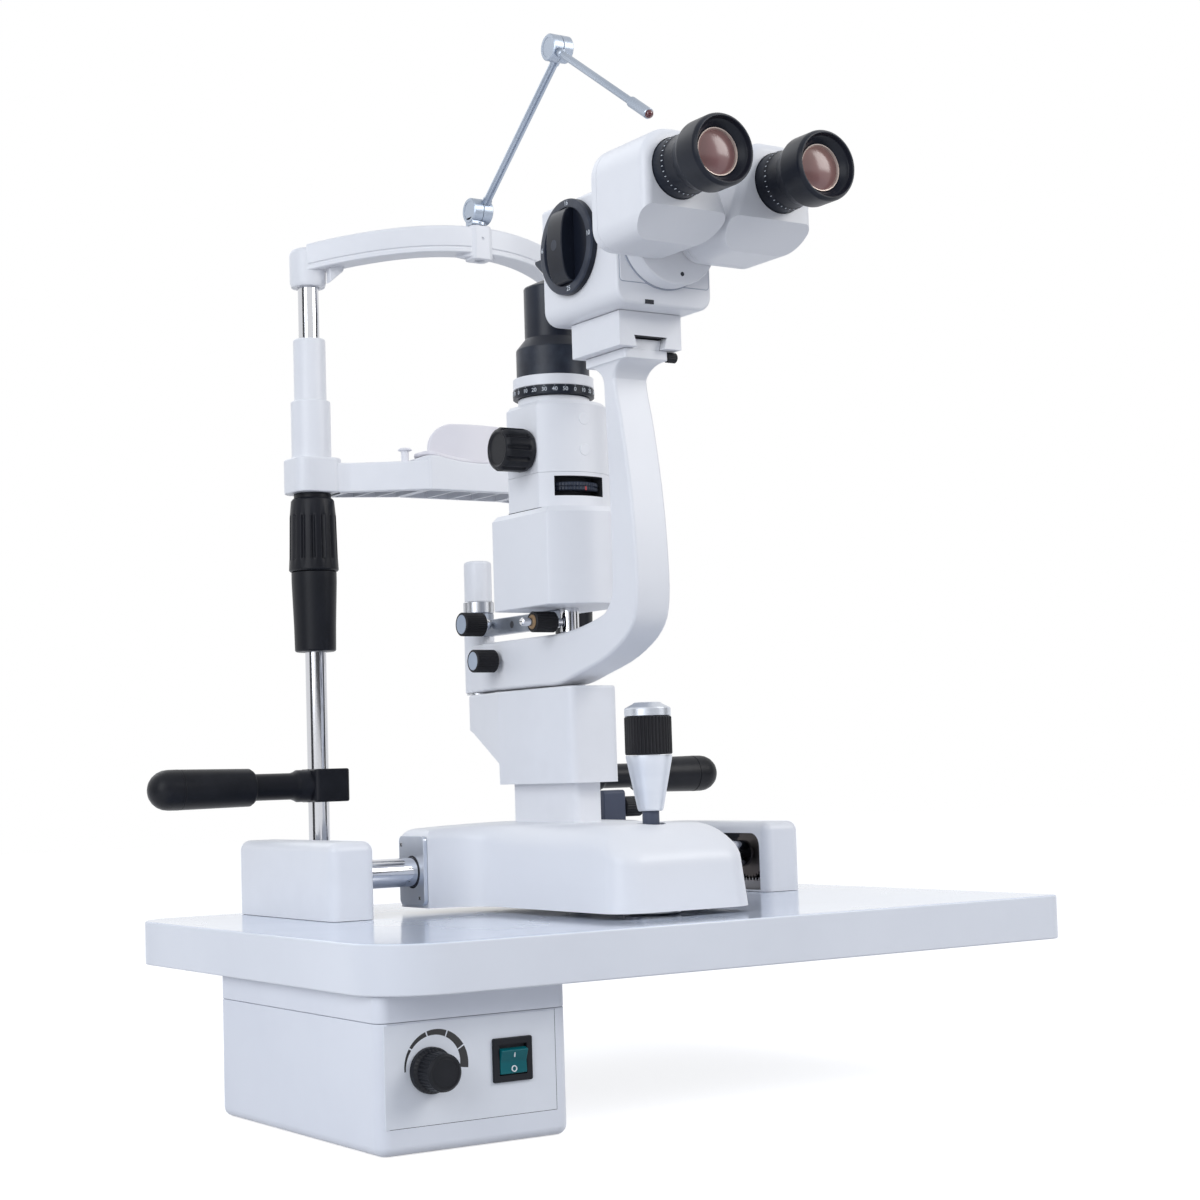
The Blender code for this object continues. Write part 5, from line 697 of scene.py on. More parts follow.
# --- Chin bar and paper pins ---
# A white aluminium casting that slides on the posts. It bows forward to the chin cup's seat, its
# underside is cored out between ribs, and two plastic pins hold the stack of chin papers.
PLASTIC = finish("white_plastic", (0.8, 0.795, 0.83), (0.78, 0.77, 0.8), 0.42, 0.05, 1400.0, 0.00001)


def saddle(x):
    """How far the chin cup's seat rises towards its sides."""
    return 0.006 * (x / 0.042) ** 2


low, high = 0.344, 0.3708
bar = block((-0.045, 0.1594, low), (0.045, 0.212, high), 0.004, "z", (0.0014, 0.0012), 6, 3)
WELL_SPANS = (-0.0415, -0.0215), (-0.0195, -0.001), (0.001, 0.0195), (0.0215, 0.0415)
wells = [[Vector((*spot, low)) for spot in rectangle(*span, 0.164, 0.2075)] for span in WELL_SPANS]
sink(bar, face_at(bar, (0, 0.18, low), (0, 0, -1)), wells, 0.014)
for step in range(-12, 13):
    cut(bar, (step * 0.0035, 0, 0), (1, 0, 0))
for level in (0.1957, 0.1963):
    cut(bar, (0, level, 0), (0, 1, 0))
for point in bar.verts:
    if point.co.y < 0.196 and point.co.z > high - 0.002 and abs(point.co.x) < 0.0422:
        point.co.z -= max(0, high - 0.3665 - saddle(point.co.x))
for side in (-1, 1):
    corners = [(0.044, 0.1606, 0), (0.097, 0.1967, 0.016), (0.1035, 0.1967, 0), (0.1035, 0.2312, 0),
        (0.097, 0.2312, 0), (0.044, 0.2112, 0)]
    arm = slab([(side * x, y, radius) for x, y, radius in corners], low, high - 0.004, "z", (0.0016, 0.0012))
    pockets = [[Vector((side * x, y, low)) for x, y in ((near, 0.165 + (near - 0.045) * 0.7),
                (far, 0.165 + (far - 0.045) * 0.7), (far, 0.2075 + (far - 0.045) * 0.37),
                (near, 0.2075 + (near - 0.045) * 0.37))] for near, far in ((0.048, 0.061), (0.063, 0.077),
            (0.079, 0.094))]
    sink(arm, face_at(arm, (0, 0.18, low), (0, 0, -1)), pockets, 0.016)
    merge(bar, arm)
for side in (-1, 1):
    left, right = sorted((side * 0.097, side * 0.1358))
    end = block((left, 0.1962, low), (right, 0.2318, high), 0.01, "z", (0.0012, 0.0016))
    sink(end, face_at(end, (side * post_x, 0.2, high), (0, 0, 1)),
        [circle((side * post_x, post_y, high), 0.0127, (0, 0, 1), 48)], 0.0172)
    merge(bar, end)
    merge(bar, bush(0.0127, 0.0152, 0.37, 0.4154, (side * post_x, post_y, 0), soft=0.0012))
    pin = tint(turned([(0, 0.3785), (0.004, 0.3783), (0.0055, 0.3772), (0.0055, 0.3766), (0.0031, 0.3757),
                (0.0029, 0.366), (0, 0.366)], (side * 0.053, 0.182, 0), steps=32), 1)
    merge(bar, pin)
piece(bar, "chin_crossbar", [CASTING, PLASTIC], "chin", ["chin_bar"])

# --- Chin cup ---
# A thin moulding in warm white plastic, a saddle shaped tray with a curved wall in front that the
# chin rests against. It sits in a hollow of the chin bar.
CUP_PLASTIC = finish("cup_plastic", (0.79, 0.77, 0.8), (0.77, 0.745, 0.78), 0.34, 0.05, 1400.0, 0.000008)
low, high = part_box("chin_cup")
tray = block((low.x, low.y + 0.0002, 0), (high.x, high.y, 0.003), 0.01, "z", (0.001, 0.001), rim_steps=3)
CUP_FLOOR, WALL_HALF, WALL_BOW = 0.3668, 0.0385, 0.0078
wall = slab([(-WALL_HALF, 0.001, 0), (WALL_HALF, 0.001, 0), (WALL_HALF, high.z - CUP_FLOOR, 0.019),
        (-WALL_HALF, high.z - CUP_FLOOR, 0.019)], low.y, low.y + 0.0035, "y", (0.0012, 0.0012), 12, 3)
for part in (tray, wall):
    for step in range(-11, 12):
        cut(part, (step * 0.0035, 0, 0), (1, 0, 0))
for point in tray.verts:
    point.co.z += CUP_FLOOR + saddle(point.co.x)
for point in wall.verts:
    point.co.y += WALL_BOW * (point.co.x / WALL_HALF) ** 2
    point.co.z += CUP_FLOOR
piece(merge(tray, wall), "chin_rest_cup", CUP_PLASTIC, "chin", ["chin_cup"], 50.0)

# --- Forehead band ---
# A white aluminium casting that bows towards the operator and up, with a groove over its lower lip.
# Its ends are sockets for the posts, and the boss in its middle holds the fixation target's pin.
BAND_STEPS = 32
SPAN, BOW, CROWN, CREST = 0.122, 0.058, 0.015, 0.5354


def band_spot(x):
    swell = 1.0 - (x / SPAN) ** 2
    return Vector((x, post_y - BOW * swell, CREST + CROWN * swell - 0.01075))


band = bmesh.new()
section = [(-0.0092, -0.01075), (-0.01, -0.01), (-0.01, -0.0076), (-0.009, -0.007), (-0.009, -0.0062),
    (-0.01, -0.0054), (-0.01, 0.007), (-0.009, 0.0096), (-0.0065, 0.01075), (0.0065, 0.01075), (0.009, 0.0096),
    (0.01, 0.007), (0.01, -0.01), (0.0092, -0.01075)]
spot = band_spot(-post_x)
slope = math.atan(2 * BOW * -post_x / SPAN ** 2)
ring = [band.verts.new(spot + Matrix.Rotation(slope, 3, "Z") @ Vector((0, u, v))) for u, v in section]
face = band.faces.new(ring)
for step in range(1, BAND_STEPS + 1):
    target = band_spot(-post_x + 2 * post_x * step / BAND_STEPS)
    new_slope = math.atan(2 * BOW * target.x / SPAN ** 2)
    moved = bmesh.ops.extrude_face_region(band, geom=[face])["geom"]
    points = points_in(moved)
    if step > 1 and face.is_valid:
        bmesh.ops.delete(band, geom=[face], context="FACES_ONLY")
    bmesh.ops.translate(band, verts=points, vec=target - spot)
    bmesh.ops.rotate(band, verts=points, cent=target, matrix=Matrix.Rotation(new_slope - slope, 3, "Z"))
    face = faces_in(moved)[0]
    spot, slope = target, new_slope
outward(band)
for side in (-1, 1):
    at = (side * post_x, post_y, 0)
    socket = turned([(0, 0.515), (0.0083, 0.515), (0.0083, 0.5045), (0.0128, 0.5045), (0.0139, 0.508),
            (0.014, 0.5343), (0, 0.5343)], at)
    bevel(socket, [edge for edge in sharp_edges(socket, 0.8) if edge.verts[0].co.z > 0.53], 0.005, 6)
    merge(band, socket)
    merge(band, slab([(side * 0.107, 0.5062, 0), (side * 0.0955, 0.516, 0), (side * 0.09, 0.53, 0),
                (side * 0.107, 0.53, 0)], 0.1955, 0.2025, "y", (0.001, 0.001)))
boss = block((-0.009, 0.1445, 0.524), (0.009, 0.16, 0.551), 0.004, "z", (0.0012, 0.0012))
# The pin holes' floors take the dark look: painted shade.
sink(boss, face_at(boss, (0, 0.15, 0.524), (0, 0, -1)), [circle((0, 0.151, 0.524), 0.0043, (0, 0, 1), 24)],
    0.009, 1)
front = face_at(boss, (0, 0.1445, 0.54), (0, -1, 0))
sink(boss, front, [circle((0, 0.1445, 0.5405), 0.0013, (0, 1, 0), 16)], 0.0012, 1)
merge(band, boss)
merge(band, slab([(-0.017, 0.1575, 0), (-0.0085, 0.1455, 0.003), (0.0085, 0.1455, 0.003), (0.017, 0.1575, 0),
            (0, 0.163, 0)], 0.5262, 0.5495, "z", (0.0008, 0.0012)))
piece(band, "brow_band", [CASTING, DARK_AND_PAINTED_SHADE], "stand", ["forehead_band"])

# --- Fixation target ---
# Two thin rods of satin aluminium on drum joints, each drum split by its seam. The last rod ends in
# a thicker lamp holder with a small dark red lens, which the patient looks at.
ALUMINIUM = finish("satin_aluminium", (0.4, 0.45, 0.53), (0.34, 0.39, 0.47), 0.36, 0.03, 650.0, 0.0000002,
    metal=1.0, wear_and_highlight=0.15)
RED_LENS = finish("red_lens", (0.13, 0.012, 0.016), (0.05, 0.004, 0.008), 0.1, 0.04, 300.0, 0.000002, coat=0.8)


def drum(at, side):
    """One half of a drum joint that turns on X, with a rounded face and a fine turned ring."""
    start, end = at.x + side * 0.00015, at.x + side * 0.0085
    return turned([(0, start), (0.0097, start), (0.01, start + side * 0.0004), (0.01, end - side * 0.0008),
            (0.0092, end), (0.0072, end), (0.007, end - side * 0.0003), (0, end - side * 0.0003)],
        (0, at.y, at.z), "x", 0, 48)


def rod(start, end, profile):
    """A turned rod from start towards end."""
    return turned(profile, start, (end - start).normalized(), 0, 32)


lower = Vector((0, 0.151, 0.563))
upper = Vector((0, 0.0286, 0.657))
tip = Vector((0, -0.0907, 0.5756))
shift = Vector((0.0032, 0, 0))
swivel = drum(lower, -1)
merge(swivel, turned([(0, 0.5332), (0.0038, 0.5332), (0.0038, 0.5513), (0.006, 0.5513), (0.006, 0.554),
            (0, 0.554)], (0, lower.y, 0), soft=0.0003, steps=32))
merge(swivel, block((-0.0082, lower.y - 0.0052, 0.5513), (-0.0003, lower.y + 0.0052, 0.5575), 0.0015, "x"))
piece(swivel, "swivel_foot", ALUMINIUM, "swivel", ["fixation_swivel"])
length = (upper - lower).length
first = drum(lower, 1)
merge(first, drum(upper, 1), rod(lower + shift, upper + shift, [(0, 0.006), (0.0038, 0.006), (0.0038, 0.0125),
            (0.0031, 0.0135), (0.0031, length - 0.0135), (0.0038, length - 0.0125), (0.0038, length - 0.006),
            (0, length - 0.006)]))
piece(first, "lower_target_rod", ALUMINIUM, "lower_rod", ["fixation_lower_rod"])
length = (tip - upper).length
second = drum(upper, -1)
merge(second, rod(upper - shift, tip - shift, [(0, 0.006), (0.0036, 0.006), (0.0036, 0.0145), (0.0027, 0.0155),
            (0.0027, length - 0.0255), (0.003, length - 0.025), (0.0039, length - 0.0238),
            (0.0039, length + 0.0005), (0.0034, length + 0.0012), (0, length + 0.0012)]))
merge(second, tint(rod(tip - shift, tip - shift + (tip - upper), [(0, 0.001), (0.0031, 0.001), (0.003, 0.0022),
            (0.0022, 0.0033), (0.0011, 0.0038), (0, 0.0039)]), 1))
piece(second, "upper_target_rod", [ALUMINIUM, RED_LENS], "upper_rod", ["fixation_upper_rod"])

# --- Supply box ---
# A bent steel case with a shallow lid, sprayed white and screwed under the board. The front panel is
# a printed sheet let into the case; it carries the brightness knob and the mains switch.
BOX_PAINT = finish("supply_enamel", (0.785, 0.805, 0.86), (0.76, 0.78, 0.84), 0.4, 0.05, 2600.0, 0.00002)
PANEL_PAINT = finish("panel_enamel", (0.8, 0.82, 0.865), (0.78, 0.8, 0.845), 0.45, 0.05, 3200.0, 0.000015)
PRINT = finish("black_print", (0.012, 0.012, 0.014), (0.02, 0.02, 0.022), 0.45, 0.08, 1500.0)
low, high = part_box("supply_case")
panel_low, panel_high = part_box("supply_panel")
case = block(low, high, 0.008, "z", (0.006, 0.0003), 8, 5)
merge(case, block(Vector((low.x + 0.0004, low.y + 0.0004, high.z - 0.004)),
        Vector((high.x - 0.0004, high.y - 0.0004, high.z + 0.0002)), 0.0076, "z"))
# The recess round the panel takes the dark look, so its gap shows as a line of painted shade.
margin = 0.0003
rim_low, rim_high = panel_low - Vector((margin, 0, margin)), panel_high + Vector((margin, 0, 0))
press(case, (0, -1, 0), [(rim_low, (1, 0, 0)), (rim_high, (1, 0, 0)), (rim_low, (0, 0, 1))],
    lambda spot: rim_low.x < spot.x < rim_high.x and spot.z > rim_low.z and spot.y < low.y + 0.0001, 0.0013, 1)
for x in (low.x + 0.014, high.x - 0.014):
    for y in (low.y + 0.016, high.y - 0.016):
        merge(case, cross_screw((x, y, low.z + 0.0024), (0, 0, -1), 0.0036, 2))
piece(case, "supply_housing", [BOX_PAINT, DARK_AND_PAINTED_SHADE, SCREW], "stand", ["supply_case"])
lid_low, lid_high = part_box("supply_lid")
piece(block(lid_low, lid_high, 0.008, "z", (0.0003, 0.0008), 8, 3), "supply_cover", BOX_PAINT, "stand",
    ["supply_lid"])

switch_low, switch_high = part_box("switch_bezel")
panel = bmesh.new()
hole_low, hole_high = switch_low + Vector((0.0015, 0, 0.0015)), switch_high - Vector((0.0015, 0, 0.0015))
rims = []
for edges in ((panel_low.x, panel_high.x, panel_low.z, panel_high.z - 0.0009),
        (hole_low.x, hole_high.x, hole_low.z, hole_high.z)):
    rims += ring_of(panel, [(x, panel_low.y, z) for x, z in rectangle(*edges)])
front = bmesh.ops.triangle_fill(panel, use_beauty=True, edges=rims, normal=(0, -1, 0))["geom"]
grown = bmesh.ops.extrude_face_region(panel, geom=faces_in(front))["geom"]
bmesh.ops.translate(panel, verts=points_in(grown), vec=(0, panel_high.y - panel_low.y, 0))
outward(panel)
piece(panel, "printed_panel", PANEL_PAINT, "stand", ["supply_panel"])
dial_x, dial_z = -0.2346, -0.0446
scale = bmesh.new()
scale_x, scale_z = dial_x + 0.0044, dial_z + 0.002
for part in range(5):
    start, end = 186 - part * 39 - 1.2, 186 - (part + 1) * 39 + 1.2
    inner, outer = [], []
    for step in range(9):
        turn = math.radians(start + (end - start) * step / 8)
        width = 0.0009 + 0.0048 * (186 - math.degrees(turn)) / 195
        for radius, points in ((0.0212 - width, inner), (0.0212, outer)):
            points.append((scale_x + radius * math.cos(turn), scale_z + radius * math.sin(turn), 0))
    merge(scale, slab(inner + outer[::-1], panel_low.y - 0.00005, panel_low.y + 0.0002, "y"))
piece(scale, "brightness_scale", PRINT, "stand", ())

knob = turned([(0, 0.019), (0.0078, 0.019), (0.0082, 0.0187), (0.0095, 0.0189), (0.0109, 0.0178),
        (0.0112, 0.016), (0.0115, 0.006), (0.0132, 0.0046), (0.0135, 0.0036), (0.0135, 0.0004),
        (0.0035, 0.0004), (0.0035, -0.009), (0, -0.009)], (dial_x, panel_low.y, dial_z), "-y", 0, 240)
flute(knob, 30, 0.0005, 0.5, lambda spot: panel_low.y - 0.0165 < spot.y < panel_low.y - 0.0055
    and math.hypot(spot.x - dial_x, spot.z - dial_z) > 0.0105, (dial_x, 0, dial_z), "y")
merge(knob, block((dial_x - 0.0002, panel_low.y - 0.0049, dial_z + 0.0102),
        (dial_x + 0.0002, panel_low.y - 0.003, dial_z + 0.0132), 0, "y"))
piece(knob, "brightness_control", BLACK, "brightness", ["brightness_knob"])

# --- Mains switch ---
# A snap-in rocker switch: a black frame with a ribbed rim round a translucent teal rocker, on which
# a white bar and ring are moulded. Its upper half is pressed in.
TEAL = finish("teal_plastic", (0, 0.115, 0.135), (0, 0.08, 0.1), 0.3, 0.06, 800.0, 0.00001,
    edge_tone=(0.01, 0.2, 0.22), specular=0.2)
WHITE_MARK = finish("white_print", (0.75, 0.78, 0.8), (0.7, 0.73, 0.75), 0.5, 0.05, 1500.0)
low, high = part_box("switch_bezel")
switch_x, switch_z = (low.x + high.x) / 2, (low.z + high.z) / 2
bezel = block((low.x, low.y, switch_z - 0.013), (high.x, panel_low.y + 0.004, switch_z + 0.013), 0.0012, "y",
    (0.0007, 0))
mouth = [Vector((x, low.y, z)) for x, z in rectangle(switch_x - 0.0095, switch_x + 0.0095, switch_z - 0.009,
        switch_z + 0.009)]
sink(bezel, face_at(bezel, (switch_x, low.y, switch_z), (0, -1, 0)), [mouth], 0.0052)
merge(bezel, block((switch_x - 0.011, panel_low.y + 0.004, switch_z - 0.0105),
        (switch_x + 0.011, high.y, switch_z + 0.0105), 0.0008, "y"))
piece(bezel, "switch_frame", BLACK, "stand", ["switch_bezel"])
low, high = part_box("switch_rocker")
tilt = math.radians(8)
key = slab([(-0.0095, -0.007, 0.0008), (-0.0062, -0.0078, 0), (0.0065, -0.005, 0), (0.0065, 0.005, 0),
        (-0.0062, 0.0078, 0), (-0.0095, 0.007, 0.0008), (-0.008, 0, 0.004)], switch_x - 0.0091,
    switch_x + 0.0091, "x", (0.0005, 0.0005), rim_steps=3)
marks = [block((switch_x - 0.0004, -0.0092, 0.0028), (switch_x + 0.0004, -0.0084, 0.0058), 0.0002)]
marks.append(bush(0.0013, 0.0019, -0.0006, 0.0006, (switch_x, -0.00885, -0.0042), (0, -1, 0.2), 0, 32))
merge(key, *[tint(mark, 1) for mark in marks])
put(key, Matrix.Translation((0, panel_low.y + 0.006, switch_z)) @ Matrix.Rotation(tilt, 4, "X"))
piece(key, "rocker_key", [TEAL, WHITE_MARK], "rocker", ["switch_rocker"])

# --- Axle ---
# A chrome plated tube spans the two rails. The shaft inside it carries a toothed wheel at either end,
# and the wheels run on the racks, so that the carriage cannot slew.
AXLE_Y, AXLE_Z = 0.061, 0.059
axle_at = (0, AXLE_Y, AXLE_Z)
low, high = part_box("axle_tube")
piece(bush(0.0053, 0.01, high.x, low.x, axle_at, "x", 0.0006), "rolling_tube", CHROME, "axle", ["axle_tube"])

WHEEL_STEEL = finish("oiled_steel", (0.1, 0.085, 0.08), (0.06, 0.05, 0.05), 0.45, 0.08, 900.0, metal=0.6)
low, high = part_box("wheel_set")
wheel_r, wheel_out, wheel_in = (high.z - low.z) / 2, 0.1885, 0.1745
half = [(0, high.x), (0.005, high.x), (0.005, wheel_out), (wheel_r, wheel_out), (wheel_r, wheel_in),
    (0.005, wheel_in)]
wheels = turned(half + [(radius, -place) for radius, place in reversed(half)], axle_at, "x", 0, 30 * 8)
flute(wheels, 30, 0.0016, 0.5, lambda spot: math.hypot(spot.y - AXLE_Y, spot.z - AXLE_Z) > wheel_r - 0.0005,
    (0, AXLE_Y, AXLE_Z), "x")
piece(wheels, "toothed_wheels", WHEEL_STEEL, "wheels", ["wheel_set"], 25.0)

# --- Carriage cover ---
# One deep white casting with leaning sides and a softly domed top that falls to a blunt nose. It
# flares into two wings over the axle, and the joystick comes up through a round hole near its nose.
CENTRE_X = -0.024
COVER_BACK, COVER_NOSE, COVER_TOP = 0.088, -0.14, 0.091
LEAN = math.tan(math.radians(5.5))


def loft(rings, low_cap=True, high_cap=True):
    """Draws a closed skin up through rings that all have the same number of points."""
    bm = bmesh.new()
    edges = ring_of(bm, rings[0])
    row = bm.verts[:]
    if low_cap:
        bm.faces.new(row)
    for ring in rings[1:]:
        grown = bmesh.ops.extrude_edge_only(bm, edges=edges)["geom"]
        fresh = set(points_in(grown))
        row = [next(edge.other_vert(point) for edge in point.link_edges if edge.other_vert(point) in fresh)
            for point in row]
        for point, spot in zip(row, ring):
            point.co = spot
        edges = [edge for edge in edges_in(grown) if set(edge.verts) <= fresh]
    if high_cap:
        bm.faces.new(row)
    outward(bm)
    return bm


def cover_plan(inset):
    """The cover seen from above, in from its foot by an inset, run round from the middle of its nose."""
    half, wing = 0.0555 - inset, 0.0927 - inset
    nose, back = COVER_NOSE + inset, COVER_BACK - inset
    corner, rear = 0.02 - 0.3 * inset, 0.006
    side = [Vector(((half - corner) * step / 4, nose)) for step in range(4)]
    side += arc((half - corner, nose + corner), corner, -90, 0, 10)
    flat = 0.01 - nose - corner
    side += [Vector((half, nose + corner + flat * step / 12)) for step in range(1, 12)]
    for step in range(15):
        turn = math.radians(90 * step / 14)
        side.append(Vector((half + (wing - half) * (1 - math.cos(turn)), 0.01 + (0.034 + inset)
                    * math.sin(turn))))
    end = back - rear - 0.044 - inset
    side += [Vector((wing, 0.044 + inset + end * step / 4)) for step in range(1, 4)]
    side += arc((wing - rear, back - rear), rear, 0, 90, 5)
    side += [Vector(((wing - rear) * (1 - step / 10), back)) for step in range(1, 11)]
    return side + [Vector((-spot.x, spot.y)) for spot in side[-2:0:-1]]


def cover_crest(spot):
    """How high the cover's top lies over a spot of its plan."""
    fall = min(1, max(0, (-0.099 - spot.y) / 0.041))
    rise = min(1, max(0, (spot.y + 0.09) / 0.15))
    dome = 0.003 * (abs(spot.x) / 0.0927) ** 2
    return COVER_TOP - 0.0012 * (1 - rise) - 0.0125 * fall * fall * (3 - 2 * fall) - dome


def cover_rings(inset, sunk):
    """Rings from the cover's foot up over its shoulder to the middle line of its top."""
    plan, inner = cover_plan(inset), cover_plan(0.03)
    rings = [[] for _ in range(17)]
    for here, there in zip(plan, inner):
        wing = min(1, max(0, (here.y + 0.01) / 0.054))
        lean = LEAN * (1.0 - wing)
        bend = 0.017 - 0.009 * wing - (0.003 if sunk else 0)
        step_in = (there - here) / (0.03 - inset)
        wall = cover_crest(here + step_in * 0.012) - sunk - bend - 0.034
        foot_in = lean * wall
        spots = []
        for share in (0, 0.04, 0.5, 1):
            spots.append((here + step_in * foot_in * share, 0.034 + wall * share))
        for turn in range(1, 9):
            angle = math.radians(11.25 * turn)
            spot = here + step_in * (foot_in + bend * (1 - math.cos(angle)))
            edge = cover_crest(spot) - sunk - bend
            blend = turn / 8
            level = (0.034 + wall) * (1 - blend) + edge * blend + bend * math.sin(angle)
            spots.append((spot, level))
        last = spots[-1][0]
        spine = Vector((0, min(0.045, max(-0.085, last.y))))
        for share in (0.2, 0.4, 0.6, 0.8, 1):
            spot = last.lerp(spine, share)
            spots.append((spot, cover_crest(spot) - sunk))
        for ring, (spot, level) in zip(rings, spots):
            ring.append(Vector((CENTRE_X + spot.x, spot.y, level)))
    return rings


def punch(bm, centre, radius, sides=20):
    """Cuts a round upright hole through every skin around a centre and joins the skins at its rim."""
    for step in range(sides):
        turn = math.tau * step / sides
        out = Vector((math.cos(turn), math.sin(turn), 0))
        near = [face for face in bm.faces if (face.calc_center_median().xy - centre).length < radius * 3
            and face.normal.z ** 2 > 0.5]
        cut(bm, Vector((centre.x, centre.y, 0)) + out * radius, out, near)
    gone = [face for face in bm.faces if face.normal.z ** 2 > 0.3
        and (face.calc_center_median().xy - centre).length < radius * 0.97]
    bmesh.ops.delete(bm, geom=gone, context="FACES")
    bmesh.ops.bridge_loops(bm, edges=[edge for edge in bm.edges if edge.is_boundary])
    outward(bm)


shell = loft(cover_rings(0.003, 0.003)[::-1] + cover_rings(0, 0), False, False)
bmesh.ops.remove_doubles(shell, verts=shell.verts[:], dist=1e-5)
outward(shell)
STICK_Y = -0.0966
punch(shell, Vector((CENTRE_X, STICK_Y)), 0.0098)
LOCK_Y, LOCK_Z = 0.061, 0.0985
DARK_STEEL_AND_REFLECTION = finish("dark_steel_and_painted_reflection", (0.075, 0.088, 0.13), (0.055, 0.065, 0.1), 0.5, 0.06, 900.0,
    specular=0.3)
# The lock bracket's dark blue-grey is a painted reflection of dark surroundings on its steel.
merge(shell, tint(block((0.038, LOCK_Y - 0.006, 0.084), (0.057, LOCK_Y + 0.006, 0.111), 0.003, "x",
            (0.0008, 0.0008)), 1))
piece(shell, "carriage_hood", [CASTING, DARK_STEEL_AND_REFLECTION], "carriage", ["carriage_cover"], 30.0)

# --- Carriage chassis ---
# A steel base plate with a round foot that glides on the board. Its two turned up ends carry the axle in bores
# ringed by a thin dark band of painted shadow, and two cross-head screws hold the cover to each end.
# The end plates' edges are mixed strongly towards a pale tone: a painted highlight along their rims.
PLATE = finish("end_plate_steel", (0.6, 0.64, 0.72), (0.54, 0.58, 0.66), 0.34, 0.08, 500.0, 0.000006,
    metal=0.75, wear_and_highlight=0.6, edge_tone=(0.85, 0.88, 0.93))
BORE_SHADOW = finish("painted_bore_shadow", (0.03, 0.03, 0.04), (0.015, 0.015, 0.02), 0.9, 0.05, 1800.0, 0.00005)
low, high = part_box("carriage_chassis")
chassis = block((CENTRE_X - 0.0434, -0.12, 0.036), (CENTRE_X + 0.0434, 0.064, 0.042), 0.004, "z",
    (0.0006, 0.0006))
merge(chassis, block((low.x + 0.002, 0.0476, 0.036), (high.x - 0.002, 0.08, 0.042)))
merge(chassis, turned([(0, low.z), (0.0165, low.z), (0.018, low.z + 0.0008), (0.018, 0.037), (0, 0.037)],
        (CENTRE_X, STICK_Y, 0)))
merge(chassis, bush(0.0125, 0.015, 0.084, 0.041, (CENTRE_X, STICK_Y, 0), soft=0.0004))
for side in (-1, 1):
    out = CENTRE_X + side * 0.096
    inner, outer = sorted((CENTRE_X + side * 0.093, out))
    merge(chassis, block((inner, 0.044, 0.036), (outer, 0.08, 0.084), 0.004, "x", (0.0004, 0.0004)))
    # A thin dark ring round each bore: painted shadow of the gap round the axle.
    merge(chassis, tint(bush(0.0101, 0.0114, 0, side * 0.0003, (out - side * 0.0002, AXLE_Y, AXLE_Z), "x",
                steps=48), 1))
    for y, z in ((0.0765, 0.0778), (0.0506, 0.0411)):
        merge(chassis, cross_screw((out - side * 0.001, y, z), (side, 0, 0), 0.0024, 2))
piece(chassis, "chassis_plate", [PLATE, BORE_SHADOW, SCREW, DARK_AND_PAINTED_SHADE], "carriage", ["carriage_chassis"])

# --- Carriage lock ---
# A small knurled black knob on a screw. The screw runs through the bracket on the right wing and
# pinches the axle when it is turned in.


def side_knob(node):
    """A side knob's box, the middle of its axis and its radius."""
    low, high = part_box(node)
    return low, high, (0, (low.y + high.y) / 2, (low.z + high.z) / 2), (high.z - low.z) / 2


def knob_barrel(radius, start, end, at, axis, count, cap=0.0002, soft=0.0007):
    """A straight knurled knob between two places on its axis, with an inset end face."""
    span = abs(end - start)
    way = 1 if end > start else -1
    bm = turned([(0, end - way * cap), (radius - 0.0016, end - way * cap), (radius - 0.0014, end),
            (radius - soft, end), (radius, end - way * soft), (radius, end - way * soft * 1.5),
            (radius, start + way * soft * 1.5), (radius, start + way * soft), (radius - soft, start),
            (0, start)], at, axis, 0, count * 8)
    facing = AXES[axis]
    middle = Vector(at) + facing * (start + end) / 2
    flute(bm, count, 0.0003, 0.6, lambda spot: abs((spot - middle).dot(facing)) < span / 2 - soft * 1.2
        and ((spot - middle) - facing * (spot - middle).dot(facing)).length > radius - 0.0005, middle, axis[-1])
    return bm


low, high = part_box("carriage_lock_knob")
lock = knob_barrel(0.0075, 0.0573, high.x, (0, LOCK_Y, LOCK_Z), "x", 24)
merge(lock, turned([(0, 0.058), (0.0029, 0.058), (0.0029, low.x + 0.0006), (0.0023, low.x), (0, low.x)],
        (0, LOCK_Y, LOCK_Z), "x", steps=24))
piece(lock, "carriage_clamp_knob", BLACK, "carriage_lock", ["carriage_lock_knob"])

# --- Joystick ---
# A satin aluminium cone on a thin neck, a knurled black rubber grip that is turned to raise the
# instrument, and an aluminium cap. The ball at its foot sits in a gimbal ring with two pins.
BRIGHT = finish("bright_aluminium", (0.66, 0.69, 0.74), (0.6, 0.63, 0.69), 0.34, 0.05, 800.0, 0.000001,
    metal=0.85, wear_and_highlight=0.2, stretch=(1, 1, 6.0))
RUBBER = finish("black_rubber", (0.014, 0.014, 0.017), (0.009, 0.009, 0.011), 0.48, 0.08, 2200.0, 0.00002,
    edge_tone=(0.05, 0.05, 0.055), wear_and_highlight=0.35, specular=0.22)
stick_at = (CENTRE_X, STICK_Y, 0)
low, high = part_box("joystick_liner")
liner = bush(0.008, 0.01, low.z, high.z, stick_at, soft=0.0004)
for side in (-1, 1):
    start, end = sorted((CENTRE_X + side * 0.0095, high.x if side > 0 else low.x))
    merge(liner, bush(0, 0.0012, start, end, (0, STICK_Y, 0.08), "x", 0.0002, 16))
piece(liner, "gimbal_ring", STEEL, "gimbal", ["joystick_liner"])

